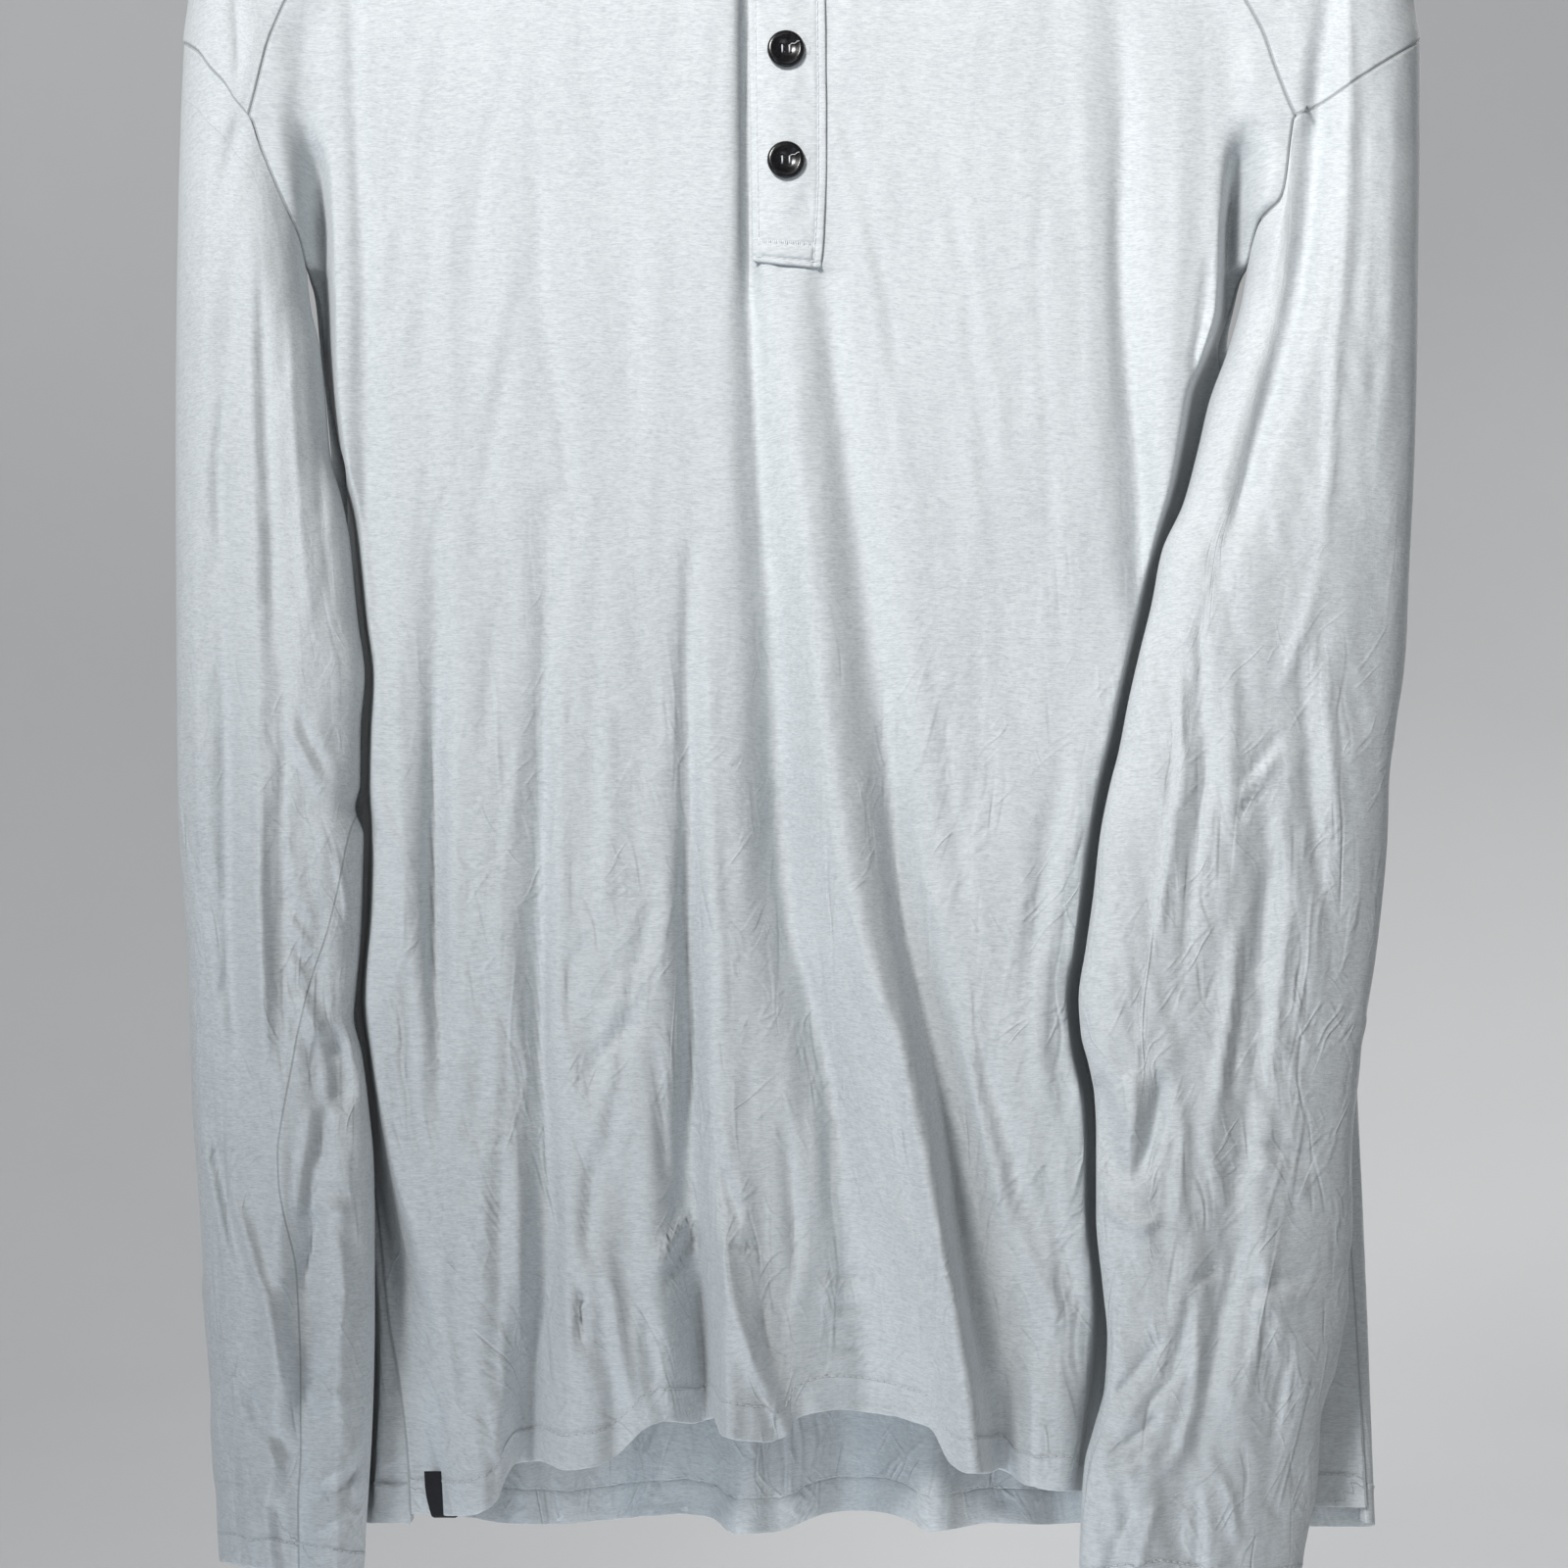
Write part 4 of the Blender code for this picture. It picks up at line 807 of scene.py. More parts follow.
# The back's folds stand away from the viewer where their depth is positive.
BACK_FOLDS = [
    table(FOLD, [
        (230, -120, 0, 9, 9), (60, -126, 4, 10, 9), (-100, -132, 8, 11, 10), (-300, -138, 11, 12, 11),
    ]),
    table(FOLD, [(150, -86, 0, 8, 8), (0, -90, -4, 8, 8), (-300, -98, -9, 9, 9)]),
    table(FOLD, [(280, -50, 0, 10, 10), (80, -55, 5, 11, 10), (-300, -62, 11, 13, 12)]),
    table(FOLD, [(120, -22, 0, 8, 8), (-100, -18, -6, 9, 9), (-300, -14, -14, 11, 10)]),
    table(FOLD, [(260, 16, 0, 9, 9), (20, 22, 4, 10, 10), (-300, 26, 10, 12, 11)]),
    table(FOLD, [(180, 44, 0, 8, 8), (-60, 50, -5, 9, 9), (-300, 56, -12, 10, 10)]),
    table(FOLD, [(240, 92, 0, 9, 9), (0, 98, 6, 11, 10), (-300, 104, 10, 13, 12)]),
    table(FOLD, [(160, 134, 0, 8, 8), (-80, 142, -5, 9, 9), (-300, 150, -8, 10, 10)]),
]
SLEEVE_FOLDS = {
    Side.LEFT: [
        table(FOLD, [(215, -205, 0, 4, 4), (130, -209, -3, 5, 5), (0, -208, -4, 6, 6),
              (-120, -201, -2, 6, 6)]),
        table(FOLD, [(100, -196, 1, 4, 4), (-60, -193, 4, 5, 4), (-125, -191, 0, 4, 4)]),
        table(FOLD, [(-140, -206, 0, 4, 5), (-190, -194, 4, 5, 4), (-240, -183, 0, 4, 4)]),
        table(FOLD, [(-30, -174, 0, 4, 4), (-110, -174, -4, 5, 4), (-200, -177, -6, 5, 5),
              (-300, -180, -5, 5, 5)]),
        table(FOLD, [(-60, -186, 0, 4, 5), (-130, -187, 3, 4, 4), (-230, -190, 6, 5, 4),
              (-300, -192, 5, 5, 5)]),
        table(FOLD, [(-120, -163, 0, 3, 4), (-190, -165, 4, 4, 4), (-260, -166, 5, 4, 4),
              (-300, -166, 4, 4, 4)]),
    ],
    Side.RIGHT: [
        table(FOLD, [
            (300, 202, -2, 5, 5), (245, 198, -7, 5, 6), (190, 192, -8, 5, 6), (120, 174, -5, 5, 6),
            (70, 160, 0, 5, 5),
        ]),
        table(FOLD, [(40, 182, 0, 6, 6), (-60, 178, -4, 6, 6), (-200, 160, -4, 7, 7), (-300, 140, -2, 7, 7)]),
    ],
}


def fold_height(folds: Sequence[Table], x: Array, z: Array) -> Array:
    """How far broad folds stand out.

    Args:
        folds: The folds' tables.
        x: Widths.
        z: Heights.

    Returns:
        The height of all the folds together at those places.
    """
    total = np.zeros(np.broadcast(x, z).shape)
    for fold in folds:
        offset = x - at(fold, "x", z)
        width = np.where(offset < 0, at(fold, "left", z), at(fold, "right", z))
        inside = (z <= fold["z"][-1]) & (z >= fold["z"][0] - 1)
        total = total + np.where(inside, at(fold, "depth", z) * np.exp(-((offset / width) ** 2)), 0.0)
    return total


def sleeve_section(side: Side, across: Array, face: Array | float, z: Array) -> tuple[Array, Array]:
    """Points on a sleeve.

    Args:
        side: Which sleeve.
        across: From 1 at its inner edge to -1 at its outer one.
        face: 1 on the face towards the viewer, -1 on the one away from it.
        z: Their heights.

    Returns:
        Their widths and depths.
    """
    inner, outer = at(SLEEVE_INNER[side], "x", z), at(SLEEVE_OUTER[side], "x", z)
    near, far = at(SLEEVE_DEPTH[side], "front", z), at(SLEEVE_DEPTH[side], "back", z)
    half = (inner - outer) / 2
    x = (inner + outer) / 2 + half * across
    bulge = np.clip(1 - np.abs(across) ** SQUARENESS, 0, 1) ** (1 / SQUARENESS)
    middle = (near + far) / 2 + at(SLEEVE_DEPTH[side], "lean", z) * half * across
    return x, middle + face * (near - far) / 2 * bulge


def seam_across(side: Side, z: Array | float) -> Array:
    """The place across a sleeve where its upper seam has this height, from the junction to the underarm."""
    tab = SLEEVE_SEAM[side]
    across = np.linspace(PANEL_END[side], 1, 200)
    return np.interp(-np.asarray(z, float), -at(tab, "z", across), across)


def side_edge(side: Side, z: float, face: int) -> tuple[float, float]:
    """The side edge of the front or the back.

    Args:
        side: Which side.
        z: The height.
        face: 1 for the front panel, -1 for the back one.

    Returns:
        The edge's width and depth.
    """
    if z >= JUNCTION:
        tab = (RAGLAN_FRONT if face > 0 else RAGLAN_BACK)[side]
        return float(at(tab, "x", z)), float(at(tab, "y", z))
    if z >= UNDERARM:
        x, y = sleeve_section(side, seam_across(side, z), face, np.float64(z))
        return float(x) - side.value * SEAM_GAP, float(y)
    tab = SIDE_SEAM[side]
    x, y = float(at(tab, "x", z)), float(at(tab, "y", z))
    if face < 0:
        x, y = x + side.value * SEAM_GAP * 0.6, y + JERSEY_THICKNESS + SEAM_GAP
    return x, y


def sleeve_back(side: Side, x: Array, z: Array, widened: float = 1.0) -> Array:
    """The depth of a sleeve's rear face at these places, far forward where the sleeve isn't in the way."""
    inner, outer = at(SLEEVE_INNER[side], "x", z), at(SLEEVE_OUTER[side], "x", z)
    across = (x - (inner + outer) / 2) / ((inner - outer) / 2) / widened
    _, y = sleeve_section(side, np.clip(across, -1, 1), -1, z)
    return np.where(np.abs(across) < 1, y, -1e3)


def levels(*stretches: tuple[float, float, int]) -> Array:
    """The heights of a sheet's rows, from stretches of a first height, a last one and a number of steps."""
    parts = [np.linspace(first, last, steps, endpoint=False) for first, last, steps in stretches]
    return np.concatenate([*parts, [stretches[-1][1]]])


@dataclass
class FrontPanel:
    """The front of the body, from one raglan and side seam to the other, slit for the placket."""

    rows: Array = field(default_factory=lambda: levels((392, 252, 34), (252, 186, 33), (186, -274, 136)))
    columns: tuple[int, int, int] = (104, 8, 98)
    slit_width: float = 16.0
    placket_centre: float = 1.7
    placket_foot: float = 193.5
    hem_depth: float = 13.0
    hem_stitch: float = 12.0
    neck_bend: float = 200.0
    gutter_top: float = 275.0
    seam_roll: float = 9.0
    sleeve_apart: float = 150.0
    side_fall: float = 6.0
    half_width: float = 190.0
    relief: Relief = field(default_factory=lambda: Relief(FRONT_CREASES, FRONT_RIPPLES, FRONT_GROWTH))

    def depth(self, x: Array, z: Array, level: float) -> Array:
        """The panel's depth before its small folds.

        Args:
            x: Widths.
            z: Heights.
            level: The height of the same row at the panel's side edge.

        Returns:
            The depths.
        """
        fullness = np.interp(z, (-200, -118, -27, 63, 130, 200), (1.3, 1.25, 1.05, 0.8, 0.78, 0.9))
        y = at(FRONT_STAND, "y", z) - fold_height(FRONT_FOLDS, x, z) * fullness
        y = y + self.side_fall * np.abs(x / self.half_width) ** 3
        for side in Side:
            edge_x, edge_y = side_edge(side, level, 1)
            outward = side.value
            if level >= self.gutter_top:
                middle, half, floor = edge_x - outward * self.seam_roll, self.seam_roll, edge_y
            else:
                middle, half = (float(at(GUTTER[side], k, level)) for k in ("x", "half"))
                floor = float(at(GUTTER[side], "floor", level)) if level >= UNDERARM else edge_y
            rolled = ease((outward * (x - middle) + half) / (2 * half))
            y = y * (1 - rolled) + floor * rolled
            if UNDERARM <= level < self.gutter_top:
                middle, half = (float(at(LIP[side], k, level)) for k in ("x", "half"))
                lifted = ease((outward * (x - middle) + half) / (2 * half))
                y = y * (1 - lifted) + edge_y * lifted
            if level < self.sleeve_apart:
                y = np.maximum(y, sleeve_back(side, x, z) + SLEEVE_CLEARANCE)
        return y

    def cuts(self, level: float) -> list[tuple[int, float, float]]:
        """The parts of a row left of the slit, across it and right of it: their columns and their ends."""
        left, right = (side_edge(side, level, 1)[0] for side in Side)
        slit = (self.placket_centre - self.slit_width / 2, self.placket_centre + self.slit_width / 2)
        ends = [0.0, *((c - left) / (right - left) for c in slit), 1.0]
        return list(zip(self.columns, ends[:-1], ends[1:]))

    def surface(self, x: Array, z: Array) -> Array:
        """The depth of the panel's face near its middle, with its small folds."""
        return self.depth(x, z, 300.0) - self.relief.rise(x, z)

    def row(self, level: float, places: Array) -> Array:
        """A row of the panel at these shares of the way from its left edge to its right one."""
        left, right = (side_edge(side, level, 1)[0] for side in Side)
        x = left + (right - left) * places
        top = NECK_TOP["front"]
        to_neck = np.clip((level - self.neck_bend) / (top - self.neck_bend), 0, 1) ** 2
        to_hem = np.clip((HEM_BEND - level) / (HEM_BEND - HEM_LEVEL), 0, 1) ** 1.5
        z = level + to_neck * (at(NECKLINE_DROP, "z", places) - top)
        z = z + to_hem * (at(FRONT_HEM, "z", x) - HEM_LEVEL)
        return np.stack([x, self.depth(x, z, level), z], axis=1)

    def grid(self) -> Array:
        """The panel's points, row by row from the neckline to the hem, with the slit's edges on columns."""
        spaced = []
        for level in self.rows:
            shares = []
            for count, start, end in self.cuts(level):
                places = np.linspace(start, end, 500)
                dense = np.column_stack([self.row(level, places), places])
                steps = np.linalg.norm(np.diff(dense[:, :3], axis=0), axis=1)
                along = np.concatenate([[0], np.cumsum(steps)])
                marks = np.interp(np.linspace(0, along[-1], count + 1), along, places)
                shares.append((marks[: count + (end == 1.0)] - start) / (end - start))
            spaced.append(np.concatenate(shares))
        # Neighbouring rows share their columns out alike, so that the cloth's grain runs on.
        spaced = np.apply_along_axis(smoothed, 0, np.array(spaced), 19, mode="edge")
        rows = []
        for level, shares in zip(self.rows, spaced):
            places, done = [], 0
            for count, start, end in self.cuts(level):
                used = count + (end == 1.0)
                places.append(start + (end - start) * shares[done : done + used])
                done += used
            rows.append(self.row(level, np.concatenate(places)))
        return np.array(rows)

    def with_folds(self, grid: Array) -> Array:
        """The grid with its small folds, which die away towards the seams."""
        x, z = grid[..., 0], grid[..., 2]
        away = np.minimum(grid[:, -1:, 0] - x, x - grid[:, :1, 0])
        calm = ease(away / SEAM_CALM)
        grid = grid.copy()
        grid[..., 1] -= self.relief.rise(x, z) * calm
        return grid

    def cloth(self) -> Cloth:
        """The panel as a sheet, before its seams and hem are turned."""
        base = self.grid()
        return Cloth.cut(self.with_folds(base), base)

    def build(self, jersey: bpy.types.Material, thread: "Thread") -> bpy.types.Object:
        """Makes the piece and sews its hem."""
        sheet = self.cloth().marked(Edge.BOTTOM, self.hem_stitch)
        sheet = sheet.marked(Edge.FIRST, 0.0).marked(Edge.LAST, 0.0)
        flat = sheet.area()
        thread.sew(*sheet.inset(Edge.BOTTOM, self.hem_stitch))
        slit = range(self.columns[0], self.columns[0] + self.columns[1])
        foot = int(np.sum(sheet.points[:, self.columns[0], 2] > self.placket_foot + 6))
        turned = sheet.seamed(Edge.FIRST).seamed(Edge.LAST).seamed(Edge.TOP, allowance=NECK_ALLOWANCE)
        turned = turned.hemmed(Edge.BOTTOM, self.hem_depth)
        extra = turned.points.shape[1] - sheet.points.shape[1]
        first, top = extra // 2, 5

        def in_slit(r: int, c: int) -> bool:
            """Whether a face lies in the slit behind the placket."""
            return r < foot + top - 1 and c - first in slit

        piece = shown("front_jersey", turned.mesh("front_jersey", in_slit), jersey, "front")
        thickened(piece, JERSEY_THICKNESS)
        return piece


@dataclass
class BackPanel:
    """The back of the body, which wraps round both sides to the side seams."""

    rows: Array = field(default_factory=lambda: levels((430, 252, 62), (252, 186, 30), (186, -274, 132)))
    columns: tuple[int, int, int] = (44, 96, 44)
    hem_depth: float = 15.0
    hem_stitch: float = 14.0
    hem_radius: float = 0.5
    neck_bend: float = 330.0
    sleeve_apart: float = 175.0
    fold_strength: float = 1.35
    fold_fade: float = 30.0
    relief: Relief = field(default_factory=lambda: Relief(BACK_CREASES, BACK_RIPPLES, BACK_GROWTH))

    def turn(self, side: Side, level: float, samples: int) -> Array:
        """The panel's way from a side seam round the body's side, as level points.

        Args:
            side: Which side.
            level: The row's height.
            samples: The number of points.

        Returns:
            The points' widths and depths.
        """
        outward = side.value
        turned = float(ease((JUNCTION - level) / (JUNCTION - UNDERARM)))
        back_y = float(at(BACK_STAND, "y", level))
        x, y = side_edge(side, level, -1)
        start = np.array([x, y])
        far = x + (float(at(BACK_REACH[side], "x", level)) - x) * turned
        stop = np.array([far - outward * (12.0 + 12.0 * turned), back_y])
        near = np.array([far + outward * 3.0, y]) * turned + (start - [outward * 4, 0]) * (1 - turned)
        late = np.array([far + outward * 3.0, back_y]) * turned + (stop + [outward * 4, 0]) * (1 - turned)
        t = np.linspace(0, 1, samples)[:, None]
        return (1 - t) ** 3 * start + 3 * (1 - t) ** 2 * t * near + 3 * (1 - t) * t**2 * late + t**3 * stop

    def row(self, level: float, samples: int = 300) -> list[Array]:
        """A row of the panel from the left seam round the back to the right one, in three parts."""
        left, right = (self.turn(side, level, samples) for side in Side)
        x = np.linspace(left[-1][0], right[-1][0], samples)
        y = np.full(samples, float(at(BACK_STAND, "y", level)))
        faded = ease((x - x[0]) / self.fold_fade) * ease((x[-1] - x) / self.fold_fade)
        y = y + self.fold_strength * faded * fold_height(BACK_FOLDS, x, np.full(samples, float(level)))
        top = NECK_TOP["back"]
        to_neck = np.clip((level - self.neck_bend) / (top - self.neck_bend), 0, 1) ** 1.5
        to_hem = np.clip((HEM_BEND - level) / (HEM_BEND - HEM_LEVEL), 0, 1)
        done = []
        for part, flat in enumerate([left, np.stack([x, y], 1), right[::-1]]):
            share = (part + np.linspace(0, 1, samples)) / 3
            z = level + to_neck * (at(BACK_NECKLINE, "z", share) - top)
            from_seam = ease(np.minimum(share, 1 - share) * 5)
            z = z + to_hem * from_seam * (at(BACK_HEM, "z", flat[:, 0]) - HEM_LEVEL)
            y = flat[:, 1]
            for side in Side:
                if level < self.sleeve_apart:
                    y = np.maximum(y, sleeve_back(side, flat[:, 0], z, 1.07) + SLEEVE_CLEARANCE)
            done.append(np.column_stack([flat[:, 0], y, z]))
        return done

    def grid(self) -> Array:
        """The panel's points, row by row from the neckline to the hem."""
        rows = []
        for level in self.rows:
            parts = [resample(part, count) for part, count in zip(self.row(level), self.columns)]
            rows.append(np.concatenate([parts[0], parts[1][1:], parts[2][1:]]))
        return np.array(rows)[:, ::-1]

    def with_folds(self, grid: Array) -> Array:
        """The grid with its small folds, which stand out along the panel's own directions."""
        sheet = Cloth.laid(grid)
        x, z = grid[..., 0], grid[..., 2]
        out = sheet.normals()
        facing = np.clip(out[..., 1], 0, 1)
        calm = ease(sheet.from_sides() / 10.0)
        return grid + out * (self.relief.rise(x, z) * calm * facing)[..., None]

    def build(self, jersey: bpy.types.Material, thread: "Thread") -> bpy.types.Object:
        """Makes the piece and sews its hem, which shows on both of its faces."""
        base = self.grid()
        sheet = Cloth.cut(self.with_folds(base), base)
        flat = sheet.area()
        line, out = sheet.inset(Edge.BOTTOM, self.hem_stitch)
        thread.sew(line, out)
        thread.sew(line - out * 1.2 * self.hem_radius, -out)
        turned = sheet.seamed(Edge.FIRST).seamed(Edge.LAST).seamed(Edge.TOP, allowance=NECK_ALLOWANCE)
        turned = turned.hemmed(Edge.BOTTOM, self.hem_depth, self.hem_radius)
        piece = shown("back_jersey", turned.mesh("back_jersey"), jersey, "back")
        thickened(piece, JERSEY_THICKNESS)
        return piece


@dataclass
class SidePiece:
    """A piece that is made once for each side."""

    side: Side

    @property
    def name(self) -> str:
        """The side as a word."""
        return self.side.name.lower()


@dataclass
class SleeveTube(SidePiece):
    """A sleeve below its dropped seam, a tube open at both ends."""

    around: int = 136
    rows: int = 236
    cuff_depth: float = 11.5
    cuff_stitch: float = 10.5

    def grid(self) -> Array:
        """The sleeve's points: rings from its upper seam down to the cuff."""
        turn = np.linspace(0, 2 * math.pi, 361)
        across = np.sign(np.cos(turn)) * np.abs(np.cos(turn)) ** (2 / SQUARENESS)
        face = np.where(np.sin(turn) >= 0, 1.0, -1.0)
        top = at(SLEEVE_SEAM[self.side], "z", across) - SEAM_GAP
        low = at(CUFF_EDGE[self.side], "z", across)
        rows = []
        for t in np.linspace(0, 1, self.rows + 1):
            z = top + (low - top) * t
            x, y = sleeve_section(self.side, across, face, z)
            rows.append(resample(np.stack([x, y, z, across, face], axis=1), self.around)[:-1])
        return np.array(rows)

    def with_folds(self, grid: Array) -> Array:
        """The grid with its folds on both faces."""
        x, y, z, across = (grid[..., k] for k in range(4))
        ends = np.where(grid[..., 4] > 0, *(side_edge(self.side, JUNCTION, face)[0] for face in (1, -1)))
        joined = 1 - ease(self.side.value * (x - ends) / SEAM_CALM)
        calm = 1 - joined * (1 - ease((at(SLEEVE_SEAM[self.side], "z", across) - z) / SEAM_CALM))
        broad = fold_height(SLEEVE_FOLDS[self.side], x, z) * (1 - np.abs(across) ** 4)
        middle = (at(SLEEVE_DEPTH[self.side], "front", z) + at(SLEEVE_DEPTH[self.side], "back", z)) / 2
        facing = ease((middle - y) / FACE_TURN)
        behind = ease((y - middle) / FACE_TURN)
        out = Cloth.laid(grid[..., :3], around=True).normals() * self.side.value
        points = grid[..., :3].copy()
        points[..., 1] -= (broad + SLEEVE_RELIEF[self.side].rise(x, z)) * facing * calm
        return points + out * (SLEEVE_REAR[self.side].rise(x, z) * behind * calm)[..., None]

    def build(self, jersey: bpy.types.Material, thread: "Thread") -> bpy.types.Object:
        """Makes the piece and sews its cuff."""
        grid = self.grid()
        points = self.with_folds(grid)
        seam = np.full(points.shape[:2], FAR_AWAY)
        if self.side is Side.LEFT:
            front = grid[..., 4] > 0
            seam[front] = np.clip(UNDERARM_SEAM.nearest(grid[..., 0][front], grid[..., 2][front])[0], -20, 20)
            points, seam, grid = points[:, ::-1], seam[:, ::-1], grid[:, ::-1]
        sheet = Cloth.cut(points, grid[..., :3], True, seam)
        sheet = sheet.marked(Edge.BOTTOM, self.cuff_stitch).marked(Edge.TOP, 0.0)
        flat = sheet.area()
        line, out = sheet.inset(Edge.BOTTOM, self.cuff_stitch)
        thread.sew(np.concatenate([line, line[:1]]), np.concatenate([out, out[:1]]))
        turned = sheet.seamed(Edge.TOP).hemmed(Edge.BOTTOM, self.cuff_depth)
        name = f"sleeve_{self.name}_jersey"
        piece = shown(name, turned.mesh(name), jersey, f"sleeve_{self.name}")
        thickened(piece, JERSEY_THICKNESS)
        return piece


@dataclass
class ShoulderPanel(SidePiece):
    """A raglan shoulder panel, which lies over the hanger's arm from the neck to the sleeve's seam."""

    rows: int = 96
    half_columns: int = 44
    front_levels: tuple[float, ...] = (392, 376, 356, 334, 310, 286, 265, 248)
    back_levels: tuple[float, ...] = (430, 409, 383, 355, 325, 294, 268, 248)
    crest_shares: tuple[float, ...] = (0, 0.17, 0.34, 0.5, 0.64, 0.78, 0.9, 1)

    def grid(self) -> Array:
        """The panel's points, from the neck to the sleeve seam and from the front seam to the back one."""
        side, outward = self.side, self.side.value
        steps = np.arange(len(self.crest_shares), dtype=float)
        known = {"step": steps, "front": np.array(self.front_levels), "back": np.array(self.back_levels),
                 "share": np.array(self.crest_shares)}
        step = np.linspace(0, steps[-1], self.rows + 1)
        share = at(known, "share", step)
        quarter = np.linspace(0, math.pi / 2, self.half_columns + 1)
        out = np.sin(quarter) ** (2 / SQUARENESS)
        along = 1 - np.cos(quarter) ** (2 / SQUARENESS)
        end = PANEL_END[side]
        # Across the sleeve's ring the panel's columns run from its end round the outer edge.
        slant = math.acos((1 + end) / 2)
        half = -np.cos(np.linspace(0, math.pi - slant, self.half_columns + 1))
        half = -1 + (half + 1) / (half[-1] + 1) * (end + 1)
        across = np.concatenate([half[::-1], half[1:]])
        faces = np.where(np.arange(2 * self.half_columns + 1) <= self.half_columns, 1.0, -1.0)
        rows, edges = [], []
        for k, t in zip(step, share):
            crest = np.array([float(at(CREST[side], n, t)) for n in "xyz"])
            halves = []
            for tab, face in ((RAGLAN_FRONT[side], "front"), (RAGLAN_BACK[side], "back")):
                z = float(at(known, face, k))
                edge = np.array([float(at(tab, "x", z)), float(at(tab, "y", z)), z])
                part = crest + (edge - crest) * along[:, None]
                part[:, 1] = crest[1] + (edge[1] - crest[1]) * out
                halves.append(part)
                edges.append(edge + [outward * SEAM_GAP * 1.6, 0, 0])
            row = np.concatenate([halves[0][::-1], halves[1][1:]])
            ring_z = at(SLEEVE_SEAM[side], "z", across) + (1 - t) * 330 + SEAM_GAP * 0.5
            ring_x, ring_y = sleeve_section(side, across, faces, ring_z)
            mix = float(ease((t - 0.7) / 0.3))
            rows.append(row * (1 - mix) + np.stack([ring_x, ring_y, ring_z], axis=1) * mix)
        grid = np.array(rows)
        wanted = np.array(edges).reshape(-1, 2, 3)
        pull = np.interp(1 - quarter / (math.pi / 2), [0, 0.2, 0.4, 0.6], [1, 0.6, 0.25, 0])[None, ::-1, None]
        width = self.half_columns + 1
        grid[:, :width] += (wanted[:, :1] - grid[:, :1]) * pull
        grid[:, -width:] += (wanted[:, 1:] - grid[:, -1:]) * pull[:, ::-1]
        grid[-1, :, 2] = at(SLEEVE_SEAM[side], "z", across) + SEAM_GAP
        return grid

    def with_folds(self, grid: Array) -> Array:
        """The grid with its folds, which run on into the sleeve's."""
        x, y, z = (grid[..., k] for k in range(3))
        facing = ease((-8 - y) / FACE_TURN) * ease((330 - z) / 40.0)
        sheet = Cloth.laid(grid)
        calm = ease(sheet.from_sides() / SEAM_CALM)
        points = grid.copy()
        folded = fold_height(SLEEVE_FOLDS[self.side], x, z) + SLEEVE_RELIEF[self.side].rise(x, z)
        points[..., 1] -= folded * facing * calm
        out = sheet.normals() * (1 if self.side is Side.RIGHT else -1)
        soft = SHOULDER_RIPPLE.rise(x + 7 * self.side.value, z) * calm * ease((sheet.place[..., 1]) / 20)
        return points + out * (soft * (1 - facing))[..., None]

    def build(self, jersey: bpy.types.Material) -> bpy.types.Object:
        """Makes the piece."""
        base = self.grid()
        points = self.with_folds(base)
        if self.side is Side.LEFT:
            points, base = points[:, ::-1], base[:, ::-1]
        sheet = Cloth.cut(points, base)
        for edge in (Edge.FIRST, Edge.LAST, Edge.BOTTOM):
            sheet = sheet.marked(edge, 0.0)
        flat = sheet.area()
        turned = sheet.seamed(Edge.FIRST).seamed(Edge.LAST).seamed(Edge.TOP, allowance=NECK_ALLOWANCE)
        turned = turned.seamed(Edge.BOTTOM)
        name = f"shoulder_{self.name}_jersey"
        piece = shown(name, turned.mesh(name), jersey, f"shoulder_{self.name}")
        thickened(piece, JERSEY_THICKNESS)
        return piece


# How the small folds strengthen towards the hems: heights and sizes.
FRONT_GROWTH = (300, 0.6, 190, 0.7, 90, 0.9, 20, 1.3, -60, 2.3, -130, 3.4, -200, 4.4, -280, 4.7)
BACK_GROWTH = (400, 0.5, 180, 0.9, 60, 1.6, -100, 2.3, -280, 2.5)
